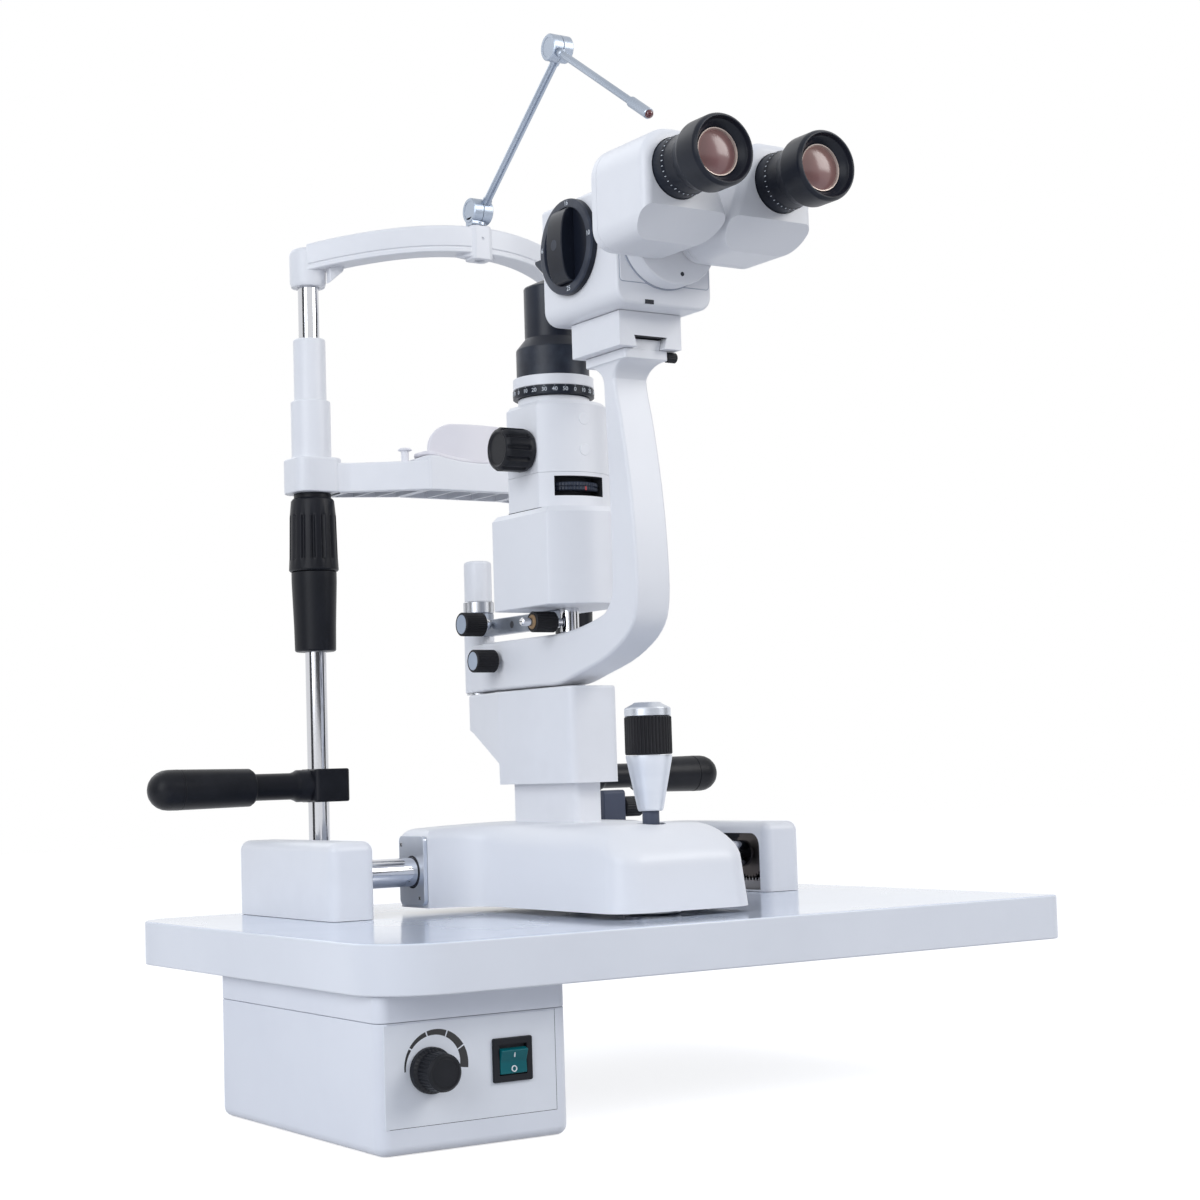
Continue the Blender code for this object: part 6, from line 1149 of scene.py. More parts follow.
low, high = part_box("joystick_stem")
BALL_Z, BALL_R = 0.08, 0.0077
ball = [tuple(spot) for spot in arc((0, BALL_Z), BALL_R, 42, -48, 15)]
stem = [(0, high.z - 0.0002), (0.0085, high.z - 0.0002), (0.0093, high.z - 0.0005), (0.0098, high.z - 0.0011),
    (0.015, 0.1664), (0.0155, 0.1656), (0.0155, 0.1611), (0.0153, 0.1609), (0.008, 0.1609), (0.008, 0.1349),
    (0.0153, 0.1349), (0.0155, 0.1346), (0.0155, 0.1335), (0.015, 0.1308), (0.0087, 0.0995), (0.0081, 0.0981),
    (0.0074, 0.0978), (0.00565, 0.0978)]
stem += ball + [(0.0036, 0.0722), (0.0036, low.z + 0.0006), (0.003, low.z), (0, low.z)]
body = tint(turned(stem, stick_at, steps=80), 1, lambda spot: 0.086 < spot.z < 0.0965)
piece(body, "joystick_body", [BRIGHT, DARK_STEEL_AND_REFLECTION], "stick", ["joystick_stem"], 28.0)

low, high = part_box("joystick_grip")
grip_r = (high.x - low.x) / 2
grip = turned([(0.0083, high.z), (grip_r - 0.0006, high.z), (grip_r - 0.0001, high.z - 0.0006),
        (grip_r, high.z - 0.001), (grip_r, low.z + 0.001), (grip_r - 0.0001, low.z + 0.0006),
        (grip_r - 0.0006, low.z), (0.0083, low.z)], stick_at, steps=40 * 8)
flute(grip, 40, 0.0008, 0.75, lambda spot: low.z + 0.0007 < spot.z < high.z - 0.0007
    and (spot.xy - Vector(stick_at).xy).length > 0.012, stick_at)
piece(grip, "knurled_grip", RUBBER, "grip", ["joystick_grip"], 50.0)

# --- Column and head ---
# A white column stands on the chassis, and the cast head slides on it, driven by the joystick's grip.
# The head's rear tapers to a boss with a pivot post, on which both arms swing.
low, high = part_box("base_column")
column = block((low.x, low.y, 0.072), (high.x, high.y, high.z), 0.0045, "z", (0, 0.0008))
merge(column, block((low.x, low.y, low.z), (high.x, 0.0455, 0.073), 0.0045, "z", (0.0006, 0)))
piece(column, "main_column", CASTING, "carriage", ["base_column"])

PIVOT_Y = 0.125
low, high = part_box("column_head")
boss = 0.011
plan = [(-0.02, low.y, 0.006), (0.02, low.y, 0.006), (0.02, 0.066, 0.012), (boss, high.y - 0.004, 0.0088),
    (-boss, high.y - 0.004, 0.0088), (-0.02, 0.066, 0.012)]
head = slab([(CENTRE_X + x, y, radius) for x, y, radius in plan], low.z, high.z, "z", (0, 0.0018), 10)
for place in (0.066, 0.0664, 0.082, 0.098, 0.114, 0.12, 0.125, 0.129, 0.132):
    cut(head, (0, place, 0), (0, 1, 0))
for point in head.verts:
    if point.co.z < low.z + 0.0001 and point.co.y > 0.0662:
        climb = min(1, max(0, (point.co.y - 0.066) / 0.052))
        turn_up = max(0, (point.co.y - (high.y - 0.016)) / 0.016)
        point.co.z = 0.1326 + 0.025 * climb + 0.012 * (1 - math.sqrt(max(0, 1 - turn_up ** 2)))
outward(head)
piece(head, "sliding_head", CASTING, "head", ["column_head"])

low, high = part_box("pivot_post")
pivot_at = (CENTRE_X, PIVOT_Y, 0)
post = turned([(0, high.z), (0.008, high.z), (0.0096, high.z - 0.0007), (0.01035, high.z - 0.0022),
        (0.01035, 0.2553), (0.01, 0.255), (0, 0.255)], pivot_at)
ring = tint(turned([(0, 0.2549), (0.0108, 0.2549), (0.0115, 0.2543), (0.0115, 0.2466), (0.0109, 0.246),
            (0.006, 0.246), (0.006, 0.1862), (0.0104, 0.1862), (0.0104, 0.1849), (0.006, 0.1849),
            (0.006, low.z), (0, low.z)], pivot_at), 1)
piece(merge(post, ring), "pivot_pin", [CASTING, STEEL], "head", ["pivot_post"])

# --- Microscope arm ---
# One white casting that sweeps forward from the pivot's hub and up to a dovetail plate. Its edges are
# softly rounded, and the dovetail carries the microscope's mount, held by a small black screw.
ARM_LOW, ARM_TOP = 0.1865, 0.2218
ARM_OUTER = [(0.02, ARM_LOW), (-0.006, ARM_LOW), (-0.032, 0.192), (-0.07, 0.202), (-0.0985, 0.2175),
    (-0.1085, 0.238), (-0.1082, 0.276), (-0.104, 0.316), (-0.0965, 0.357), (-0.0905, 0.381), (-0.089, 0.394)]
ARM_INNER = [(-0.076, 0.394), (-0.0762, 0.381), (-0.0778, 0.34), (-0.079, 0.3), (-0.0792, 0.262),
    (-0.0775, 0.244), (-0.0715, 0.2345), (-0.062, 0.23), (-0.038, 0.225), (-0.012, 0.2222), (0.02, ARM_TOP)]


def flowing(points, share=4):
    """A smooth curve through points, which keeps both of its ends."""
    spots = [Vector(point) for point in points]
    spots = [2 * spots[0] - spots[1]] + spots + [2 * spots[-1] - spots[-2]]
    curve = []
    for a, b, c, d in zip(spots, spots[1:], spots[2:], spots[3:]):
        for step in range(share):
            t = step / share
            curve.append(0.5 * (2 * b + (c - a) * t + (2 * a - 5 * b + 4 * c - d) * t ** 2
                    + (3 * b - a - 3 * c + d) * t ** 3))
    return curve + [spots[-2]]


def rounded_ring(half_x, low_y, high_y, radius, level, steps=4):
    """A ring of points round a rectangle with round corners, centred on the carriage's middle."""
    ring = []
    across, low_y, high_y = half_x - radius, low_y + radius, high_y - radius
    for corner, start in (((across, high_y), 0), ((-across, high_y), 90), ((-across, low_y), 180),
            ((across, low_y), 270)):
        ring += [Vector((CENTRE_X + spot.x, spot.y, level)) for spot in arc(corner, radius, start, start + 90,
                steps)]
    return ring


low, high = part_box("microscope_arm")
ARM_HALF, HUB_R, TAPER_Y = 0.014, 0.01125, 0.0965
steps = (PIVOT_Y, 0.104, 0.1005, TAPER_Y, 0.056)
outline = [(y, ARM_LOW) for y in steps]
outline += [tuple(spot) for spot in flowing(ARM_OUTER)] + [tuple(spot) for spot in flowing(ARM_INNER)]
outline += [(y, ARM_TOP) for y in reversed(steps)]
arm = slab([(y, z, 0) for y, z in outline], CENTRE_X - ARM_HALF, CENTRE_X + ARM_HALF, "x", (0.0026, 0.0026))
for point in arm.verts:
    if point.co.y > TAPER_Y:
        share = min(1, (point.co.y - TAPER_Y) / 0.007)
        point.co.x = CENTRE_X + (point.co.x - CENTRE_X) * (1.0 - share * (1.0 - (HUB_R - 0.0006) / ARM_HALF))
merge(arm, bush(0.0063, HUB_R, ARM_LOW, 0.2317, pivot_at, soft=0.0005))
neck = []
for step in range(9):
    turn = math.radians(90 * step / 8)
    spread = 1 - math.cos(turn)
    neck.append(rounded_ring(ARM_HALF + 0.0033 * spread, -0.089 - 0.02 * spread, -0.076 + 0.0155 * spread,
            0.0026 - 0.0012 * spread, 0.3865 + 0.0132 * math.sin(turn)))
merge(arm, loft(neck))
plate_low, plate_high = Vector((CENTRE_X - 0.0175, -0.1096, 0.3995)), Vector((CENTRE_X + 0.0175, -0.06, 0.406))
merge(arm, block(plate_low, plate_high, 0.002, "z", (0.0007, 0.0005)))
merge(arm, slab([(CENTRE_X - 0.0105, 0.4055, 0), (CENTRE_X + 0.0105, 0.4055, 0),
            (CENTRE_X + 0.0123, high.z - 0.0007, 0.0003), (CENTRE_X - 0.0123, high.z - 0.0007, 0.0003)],
        plate_low.y + 0.0005, plate_high.y - 0.0005, "y", (0.0004, 0.0004)))
piece(arm, "swept_arm", CASTING, "scope", ["microscope_arm"], 30.0)

low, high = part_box("scope_mount")
SLOT_TOP = 0.4139
slot = [(low.x, low.z, 0.0007), (CENTRE_X - 0.0108, low.z, 0.0003), (CENTRE_X - 0.0131, SLOT_TOP, 0),
    (CENTRE_X + 0.0131, SLOT_TOP, 0), (CENTRE_X + 0.0108, low.z, 0.0003), (high.x, low.z, 0.0007),
    (high.x, high.z, 0.0007), (low.x, high.z, 0.0007)]
mount = slab(slot, low.y, high.y, "y", (0.0006, 0.0006))
# The top face of the dovetail slot takes the dark look: painted shade.
for face in mount.faces:
    if face.normal.z < -0.9 and abs(face.calc_center_median().z - SLOT_TOP) < 0.0006:
        face.material_index = 1
piece(mount, "dovetail_mount", [CASTING, DARK_AND_PAINTED_SHADE], "scope", ["scope_mount"])

low, high, at, radius = side_knob("dovetail_lock_knob")
tail = knob_barrel(radius, CENTRE_X + 0.0178, high.x, at, "x", 16, soft=0.0005)
merge(tail, bush(0, 0.0014, CENTRE_X + 0.018, low.x, at, "x", steps=20))
piece(tail, "dovetail_screw", BLACK, "tail_lock", ["dovetail_lock_knob"])

# --- Arm lock and centring knobs ---
# Three black knurled barrels on screws stand out to the left. Two have pale anodised end faces and clamp
# the arms to the head. The third sets the tower's place, and its chrome tip stands in a bronze ring.
PALE_END = finish("pale_anodised", (0.42, 0.48, 0.57), (0.37, 0.43, 0.52), 0.42, 0.06, 1200.0, 0.00001,
    metal=0.35)
BRONZE = finish("bronze_ring", (0.3, 0.21, 0.13), (0.22, 0.15, 0.09), 0.35, 0.1, 900.0, metal=1.0)


def end_face(radius, place, at, axis, thick=0.0003):
    """A pale plug let into a knob's end."""
    bm = turned([(0, place), (radius - 0.0004, place), (radius, place - thick), (0, place - thick)], at, axis,
        steps=48)
    return tint(bm, 1)


low, high, at, radius = side_knob("arm_lock_knob")
knob = knob_barrel(radius, 0.041, -low.x, at, "-x", 32, cap=0.0006)
merge(knob, end_face(radius - 0.0013, -low.x - 0.0001, at, "-x", 0.0008))
stem = tint(turned([(0, 0.0415), (0.0036, 0.0415), (0.0036, 0.0396), (0.003, 0.0392), (0.003, -high.x),
            (0, -high.x)], at, "-x", steps=32), 2)
piece(merge(knob, stem), "arm_clamp_knob", [RUBBER, PALE_END, SCREW], "arm_lock", ["arm_lock_knob"])

low, high, at, radius = side_knob("illumination_lock_knob")
knob = knob_barrel(radius, 0.036, -low.x, at, "-x", 34, cap=0.0006)
merge(knob, end_face(radius - 0.0013, -low.x - 0.0001, at, "-x", 0.0008))
nose = tint(turned([(0, 0.0365), (0.0052, 0.0365), (0.0052, 0.0345), (0.0044, 0.0318), (0.003, 0.0296),
            (0.0016, 0.0286), (0, -high.x)], at, "-x", steps=40), 2)
piece(merge(knob, nose), "lamp_clamp_knob", [RUBBER, PALE_END, CHROME], "lamp_lock", ["illumination_lock_knob"])

low, high, at, radius = side_knob("centring_knob")
knob = knob_barrel(radius, 0.037, 0.055, at, "-x", 28, cap=0.0003)
collar = tint(turned([(0, 0.0559), (0.004, 0.0559), (0.0052, 0.0551), (0.0052, 0.0545), (0, 0.0545)], at, "-x",
        steps=40), 3)
tip = tint(turned([(0, -low.x), (0.002, -low.x), (0.0029, -low.x - 0.001), (0.0029, 0.055), (0, 0.055)], at,
        "-x", 0, 40), 2)
# The notch in the tip's end is a thin block in the dark look: painted shade.
notch = tint(block((low.x - 0.00002, at[1] - 0.0019, at[2] - 0.0003),
        (low.x + 0.0004, at[1] + 0.0019, at[2] + 0.0003)), 4)
shaft = tint(turned([(0, 0.038), (0.0034, 0.038), (0.0034, 0.0352), (0.0028, 0.0348), (0.0028, -high.x),
            (0, -high.x)], at, "-x", steps=32), 2)
piece(merge(knob, collar, tip, notch, shaft), "tower_centring_knob", [RUBBER, PALE_END, CHROME, BRONZE, DARK_AND_PAINTED_SHADE],
    "centring", ["centring_knob"])

# --- Microscope body ---
# A white cast box with a fine seam round its front panel. A round flange in front carries the prism
# housings, a small retaining screw is set in it, and the objective looks out at the rear.
LENS_GLASS = bpy.data.materials.new("coated_glass")
LENS_GLASS.use_nodes = True
glass_tree = LENS_GLASS.node_tree
glass = glass_tree.nodes["Principled BSDF"]
set_inputs(glass, Transmission_Weight=0.35, IOR=1.52, Coat_Weight=0.6)
glass_place = node(glass_tree, "TexCoord")
glass_rub = node(glass_tree, "Group")
glass_rub.node_tree = SKIN
set_inputs(glass_rub, Color=(0.05, 0.045, 0.075, 1), Shade=(0.035, 0.03, 0.06, 1), Roughness=0.03, Spread=0.03)
wire(glass_tree, (glass_place, "Object", glass_rub, "Vector"), (glass_rub, "Color", glass, "Base Color"),
    (glass_rub, "Roughness", glass, "Roughness"))

# Thin grey-blue lines round the front panel and the flange: painted shade in their seams.
SEAM_SHADE = finish("seam_shade", (0.4, 0.43, 0.5), (0.34, 0.37, 0.44), 0.6, 0.05, 900.0)
low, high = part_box("microscope_body")
BODY_FRONT, BODY_HALF, PANEL_HALF, OPTIC_Z, FLANGE_Z = -0.1332, 0.038, 0.0355, 0.478, 0.476
body = slab([(CENTRE_X - BODY_HALF, low.z, 0.0105), (CENTRE_X + BODY_HALF, low.z, 0.0105),
        (CENTRE_X + BODY_HALF, high.z, 0.003), (CENTRE_X - BODY_HALF, high.z, 0.003)], BODY_FRONT, high.y, "y",
    (0.0022, 0.003), 10)
panel = block((CENTRE_X - PANEL_HALF, BODY_FRONT - 0.0006, 0.445),
    (CENTRE_X + PANEL_HALF, BODY_FRONT + 0.002, high.z - 0.002), 0.0022, "y", (0.0004, 0))
panel_seam_shadow = tint(block((CENTRE_X - 0.036, BODY_FRONT - 0.00012, 0.4445),
        (CENTRE_X + 0.036, BODY_FRONT + 0.002, high.z - 0.0015), 0.0026, "y"), 2)
merge(body, panel, panel_seam_shadow)
rim = bush(0, 0.0347, 0.1346, 0.1334, (CENTRE_X, 0, FLANGE_Z), "-y", steps=96)
for point in rim.verts:
    point.co.x = min(max(point.co.x, CENTRE_X - PANEL_HALF), CENTRE_X + PANEL_HALF)
tint(rim, 2)
merge(body, rim)
merge(body, turned([(0, -low.y), (0.0325, -low.y), (0.0335, -low.y - 0.0006), (0.034, -low.y - 0.0016),
            (0.034, 0.1349), (0.0336, 0.1346), (0.0336, 0.131), (0, 0.131)], (CENTRE_X, 0, FLANGE_Z), "-y",
        steps=96))
marks = [turned([(0, 0.0001), (0.0014, 0.0001), (0.0017, -0.0002), (0, -0.0002)],
        (CENTRE_X + 0.004, low.y, 0.4497), (0, -1, 0), steps=24),
    block((CENTRE_X - 0.0162, BODY_FRONT - 0.0004, 0.4312), (CENTRE_X - 0.0094, BODY_FRONT + 0.001, 0.434))]
merge(body, *[tint(mark, 1) for mark in marks])
merge(body, tint(turned([(0.0165, 0), (0.0225, 0), (0.0225, 0.0012), (0.0215, 0.0016), (0.0203, 0.0016),
            (0.0165, 0.0004)], (CENTRE_X, high.y - 0.0016, OPTIC_Z), "y", steps=64), 1))
piece(body, "microscope_case", [CASTING, DARK_AND_PAINTED_SHADE, SEAM_SHADE], "scope", ["microscope_body"])

low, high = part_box("objective")
lens = turned([(0, high.y), (0.006, high.y - 0.0003), (0.011, high.y - 0.001), (0.0165, high.y - 0.0022),
        (0.0165, high.y - 0.004), (0, high.y - 0.004)], (CENTRE_X, 0, OPTIC_Z), "y", steps=64)
cell = tint(turned([(0.0164, high.y), (0.0195, high.y), (0.02, high.y - 0.0005), (0.02, low.y),
            (0.0164, low.y)], (CENTRE_X, 0, OPTIC_Z), "y", steps=64), 1)
piece(merge(lens, cell), "objective_lens", [LENS_GLASS, BLACK], "scope", ["objective"])

# --- Magnification dial ---
# A black anodised wheel with a half-moon fin to turn it by and a small cap in the fin's crest. White
# figures on its rim name the magnification, and the changer drum behind it carries the lenses.
ANODISED = finish("black_anodised", (0.009, 0.012, 0.021), (0.006, 0.008, 0.015), 0.3, 0.1, 1600.0, 0.00001,
    edge_tone=(0.04, 0.05, 0.07), wear_and_highlight=0.3, specular=0.2)
DIAL_FACE = finish("dial_anodised", (0.014, 0.021, 0.04), (0.01, 0.015, 0.031), 0.36, 0.08, 1500.0, 0.00001,
    edge_tone=(0.12, 0.14, 0.18), wear_and_highlight=0.3, specular=0.35)
INK = finish("white_ink", (0.72, 0.76, 0.8), (0.66, 0.7, 0.75), 0.5, 0.05, 1500.0)


def facing_place(at, normal, up=(0, 0, 1)):
    """The place of a flat thing at a point that looks along normal."""
    out = Vector(normal).normalized()
    rise = Vector(up) - out * out.dot(Vector(up))
    rise.normalize()
    return Matrix.Translation(at) @ Matrix((rise.cross(out), rise, out)).transposed().to_4x4()


def figure(text, size, place):
    """A printed figure as a thin mesh."""
    curve = bpy.data.curves.new("figure", "FONT")
    curve.body = text
    curve.size = size
    curve.align_x = "CENTER"
    curve.align_y = "CENTER"
    curve.resolution_u = 4
    curve.extrude = 0.00006
    holder = bpy.data.objects.new("figure", curve)
    scene.collection.objects.link(holder)
    bpy.context.view_layer.update()
    graph = bpy.context.evaluated_depsgraph_get()
    mesh = bpy.data.meshes.new_from_object(holder.evaluated_get(graph), depsgraph=graph)
    bpy.data.objects.remove(holder, do_unlink=True)
    bpy.data.curves.remove(curve)
    bm = bmesh.new()
    bm.from_mesh(mesh)
    bpy.data.meshes.remove(mesh)
    bmesh.ops.remove_doubles(bm, verts=bm.verts[:], dist=1e-7)
    outward(bm)
    put(bm, place)
    return bm


low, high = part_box("magnification_dial")
DIAL_Y, dial_r = -0.0795, 0.0325
dial_at = (0, DIAL_Y, OPTIC_Z)
face_x, back_x = 0.0433 - CENTRE_X, 0.0383 - CENTRE_X
dial = turned([(0, face_x - 0.0012), (0.0262, face_x - 0.0012), (0.0268, face_x), (0.0312, face_x),
        (0.0321, face_x - 0.0004), (dial_r, face_x - 0.0014), (dial_r, back_x), (0.027, back_x),
        (0.027, -high.x), (0, -high.x)], dial_at, "-x", steps=96)
tint(dial, 1, lambda spot: spot.x < -face_x + 0.0011 and math.hypot(spot.y - DIAL_Y, spot.z - OPTIC_Z) > 0.0262)
fin_half, fin_out = 0.0255, -low.x
fin = [(-face_x + 0.0014, OPTIC_Z - fin_half)]
for step in range(17):
    turn = math.radians(-90 + 180 * step / 16)
    fin.append((-face_x + 0.0004 - (fin_out - face_x + 0.0004) * math.cos(turn) ** 0.75,
            OPTIC_Z + (fin_half - 0.0002) * math.sin(turn)))
fin.append((-face_x + 0.0014, OPTIC_Z + fin_half))
merge(dial, slab([(x, z, 0) for x, z in fin], DIAL_Y - 0.0094, DIAL_Y + 0.0094, "y", (0.0022, 0.0022),
        rim_steps=5))
merge(dial, tint(turned([(0, fin_out), (0.0036, fin_out), (0.0044, fin_out - 0.0006), (0.0044, fin_out - 0.003),
            (0, fin_out - 0.003)], dial_at, "-x", steps=32), 1))
for text, turn in (("16", 96), ("10", 174), ("25", 264), ("6", 6)):
    angle = math.radians(turn)
    spot = Vector((-face_x - 0.00006, DIAL_Y + 0.0292 * math.cos(angle), OPTIC_Z + 0.0292 * math.sin(angle)))
    merge(dial, tint(figure(text, 0.0047, facing_place(spot, (-1, 0, 0))), 2))
piece(dial, "magnification_wheel", [ANODISED, DIAL_FACE, INK], "dial", ["magnification_dial"])

# --- Prism housings ---
# Two white castings with big round corners and a slanted chin. Each is closed by a rear cover with a
# fine seam, and both swing on the flange to set the eyes' distance.


def trim(bm, spot, out, soft):
    """Saws off everything beyond a plane, closes the cut and rounds its rim."""
    cut(bm, spot, out, clear_outer=True)
    closed = bmesh.ops.edgeloop_fill(bm, edges=[edge for edge in bm.edges if edge.is_boundary])["faces"]
    outward(bm)
    bevel(bm, [edge for face in closed for edge in face.edges], soft, 4)
    outward(bm)


EYE_HALF, HINGE_Z, EYE_Z = 0.04, 0.476, 0.5
PRISM_FRONT, PRISM_NOSE, PRISM_BACK, SEAM_Y = -0.2, -0.2092, -0.1485, -0.1544
for eye_name, side in (("left", -1), ("right", 1)):
    low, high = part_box(eye_name + "_prism_housing")
    lean = (high.z - HINGE_Z) * math.tan(math.radians(20))
    near, far = 0.0015, 0.066
    shape = [(near, low.z, 0.016), (far, low.z, 0.014), (far, high.z, 0.022), (near + lean, high.z, 0.012),
        (near, HINGE_Z, 0)]
    shape = [(CENTRE_X + side * x, z, radius) for x, z, radius in shape]
    eye_x = CENTRE_X + side * EYE_HALF
    housing = slab(shape, PRISM_NOSE, SEAM_Y - 0.0002, "y", (0.006, 0.0003), 10, 6)
    chin = Vector((0, -0.0265, -0.029)).normalized()
    trim(housing, Vector((0, PRISM_NOSE, 0.4755)), chin, 0.003)
    sink(housing, face_at(housing, (eye_x, PRISM_NOSE, EYE_Z), (0, -1, 0)),
        [circle((eye_x, PRISM_NOSE, EYE_Z), 0.02, (0, -1, 0), 64)], 0.0104)
    merge(housing, slab(shape, SEAM_Y + 0.0001, PRISM_BACK, "y", (0.0003, 0.0008), 10))
    inner = [(x - side * 0.0006 * (1 if abs(x - CENTRE_X) > 0.03 else -1), z + 0.0006 * (1 if z < 0.49 else -1),
            radius) for x, z, radius in shape]
    merge(housing, slab(inner, SEAM_Y - 0.001, SEAM_Y + 0.001, "y", steps=10))
    merge(housing, turned([(0, 0.24), (0.0152, 0.24), (0.0152, 0.199), (0, 0.198)], (eye_x, 0, EYE_Z), "-y"))
    piece(housing, eye_name + "_prism_case", CASTING, eye_name + "_prism", [eye_name + "_prism_housing"],
        30.0)

# --- Eyepieces ---
# Black turned barrels with an engraved dioptre scale near the housing and a ribbed rubber cup at the
# eye. The eye lens sits deep in the cup and has a warm anti-reflection coating.
EYE_LENS = finish("eye_lens", (0.33, 0.2, 0.17), (0.24, 0.12, 0.12), 0.16, 0.04, 200.0, 0.0000002, wear_and_highlight=0.0)
LENS_RIM = finish("lens_rim", (0.62, 0.52, 0.47), (0.56, 0.46, 0.41), 0.3, 0.06, 900.0, metal=0.5)
for eye_name, side in (("left", -1), ("right", 1)):
    eye_x = CENTRE_X + side * EYE_HALF
    at = (eye_x, PRISM_FRONT, EYE_Z)
    barrel = turned([(0.0155, 0.001), (0.019, 0.001), (0.0195, 0.0015), (0.0195, 0.0172), (0.0193, 0.0176),
            (0.0188, 0.0202), (0.0186, 0.0206), (0.0186, 0.029), (0.019, 0.0298), (0.0226, 0.0388),
            (0.0228, 0.0398), (0.0228, 0.0556), (0.0226, 0.0566), (0.022, 0.058), (0.0212, 0.059),
            (0.0205, 0.059), (0.02, 0.0583), (0.0196, 0.056), (0.019, 0.0552), (0.0178, 0.0545),
            (0.015, 0.0503), (0.015, 0.045), (0.0155, 0.045)], at, "-y", steps=96)
    lens = tint(turned([(0, 0.0528), (0.004, 0.0527), (0.008, 0.0521), (0.012, 0.0509), (0.0142, 0.05),
                (0.0142, 0.048), (0, 0.048)], at, "-y", steps=96), 1)
    ring = tint(turned([(0.0139, 0.05), (0.0144, 0.0512), (0.015, 0.0514), (0.0151, 0.05)], at, "-y", steps=96),
        2)
    merge(barrel, lens, ring)
    for step in range(36):
        turn = math.tau * step / 36
        out = Vector((math.cos(turn), 0, math.sin(turn)))
        long_one = step % 6 == 0
        spot = Vector(at) + out * 0.01925 + Vector((0, -0.0188, 0))
        tick = block((-0.00022, -0.0011 if long_one else -0.0006, -0.0001), (0.00022, 0.0007, 0.00015))
        put(tick, facing_place(spot, out, (0, 1, 0)))
        tint(tick, 3)
        merge(barrel, tick)
    piece(barrel, eye_name + "_eyepiece", [ANODISED, EYE_LENS, LENS_RIM, INK], eye_name + "_dioptre",
        [eye_name + "_dioptre_ring"], 30.0)

# --- Illumination arm ---
# A flat steel bar, left bright and clear lacquered, runs from its hub on the pivot to an upright shaft
# that the tower stands on. One hole in it takes a stop pin.
BAR_STEEL = finish("lacquered_steel", (0.3, 0.33, 0.39), (0.22, 0.25, 0.31), 0.34, 0.1, 700.0, 0.00001,
    metal=0.85, coat=0.3, wear_and_highlight=0.4, edge_tone=(0.6, 0.64, 0.7))
low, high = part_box("illumination_arm")
SHAFT_Y = -0.0027
bar = block((CENTRE_X - 0.004, SHAFT_Y, 0.228), (CENTRE_X + 0.004, PIVOT_Y - 0.0128, 0.24), 0.0008, "y")
merge(bar, block((CENTRE_X - 0.004, PIVOT_Y - 0.0135, 0.2322), (CENTRE_X + 0.004, PIVOT_Y - 0.0075, 0.24),
        0.0006, "y"))
merge(bar, bush(0.0063, HUB_R, 0.232, 0.2457, pivot_at, soft=0.0004))
merge(bar, tint(turned([(0, 0.25), (0.0062, 0.25), (0.0067, 0.2494), (0.0067, 0.2236), (0.0061, 0.223),
            (0, 0.223)], (CENTRE_X, SHAFT_Y, 0)), 1))
# The stop pin's hole shows as a dark disc: painted shade.
merge(bar, tint(bush(0, 0.0026, 0.00402, -0.00402, (CENTRE_X, 0.07, 0.234), "x", steps=24), 2))
piece(bar, "illumination_bar", [BAR_STEEL, CHROME, DARK_AND_PAINTED_SHADE], "lamp_arm", ["illumination_arm"])

# --- Lamp housing and slit body ---
# Two white castings stand one on the other, round in front and flat at the sides. The upper one has a
# window for the filter wheel's rim, two blind plugs and a fine seam, and both are hollow for the light.
TOWER_Y = 0.0096


def tower_shape(radius, half, back, corner=0.0):
    """The tower's plan: a round front between two flat sides, with a flat back."""
    reach = math.asin(half / radius)
    turns = [-reach + reach * step / 14 for step in range(29)]
    front = [(CENTRE_X + radius * math.sin(turn), TOWER_Y - radius * math.cos(turn), 0) for turn in turns]
    return front + [(CENTRE_X + half, TOWER_Y + back, corner), (CENTRE_X - half, TOWER_Y + back, corner)]


low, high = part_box("lamp_housing")
housing = slab(tower_shape(0.056, 0.036, 0.0332, 0.004), low.z, high.z, "z", (0.001, 0))
bevel(housing, edges_at(housing, high.z), 0.0058, 1)
bevel(housing, [edge for edge in sharp_edges(housing, 0.5) if rise_of(edge) < 1e-5
        and edge.verts[0].co.z > high.z - 0.007], 0.0006, 2)
side_seam = [edge for edge in sharp_edges(housing, 0.5) if rise_of(edge) > 0.03]
bevel(housing, side_seam, 0.0012, 3)
# A dark ring on the housing's top, under the slit body: painted shade between the castings.
merge(housing, tint(bush(0.0125, 0.022, high.z, high.z - 0.001, (CENTRE_X, TOWER_Y, 0)), 1))
piece(housing, "lamp_case", [CASTING, DARK_AND_PAINTED_SHADE], "tower", ["lamp_housing"], 25.0)

low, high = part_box("slit_body")
BODY_TOP, SEAM_Z, SLIT_R, SLIT_HALF, SLIT_BACK = 0.385, 0.3338, 0.0385, 0.03, 0.0184
window_x, window_z = (CENTRE_X - 0.0215, CENTRE_X + 0.0165), (0.3171, 0.331)
upper = slab(tower_shape(SLIT_R, SLIT_HALF, SLIT_BACK, 0.003), SEAM_Z + 0.0001, BODY_TOP, "z", (0.0002, 0))
bevel(upper, edges_at(upper, BODY_TOP), 0.004, 1)
bevel(upper, [edge for edge in sharp_edges(upper, 0.45) if edge.verts[0].co.z > BODY_TOP - 0.005
        and rise_of(edge) < 1e-5], 0.0006, 2)
lower_part = slab(tower_shape(SLIT_R, SLIT_HALF, SLIT_BACK, 0.003), low.z, SEAM_Z - 0.0001, "z",
    (0.0004, 0.0002))
for part in (upper, lower_part):
    bevel(part, [edge for edge in sharp_edges(part, 0.5) if rise_of(edge) > 0.01], 0.001, 3)
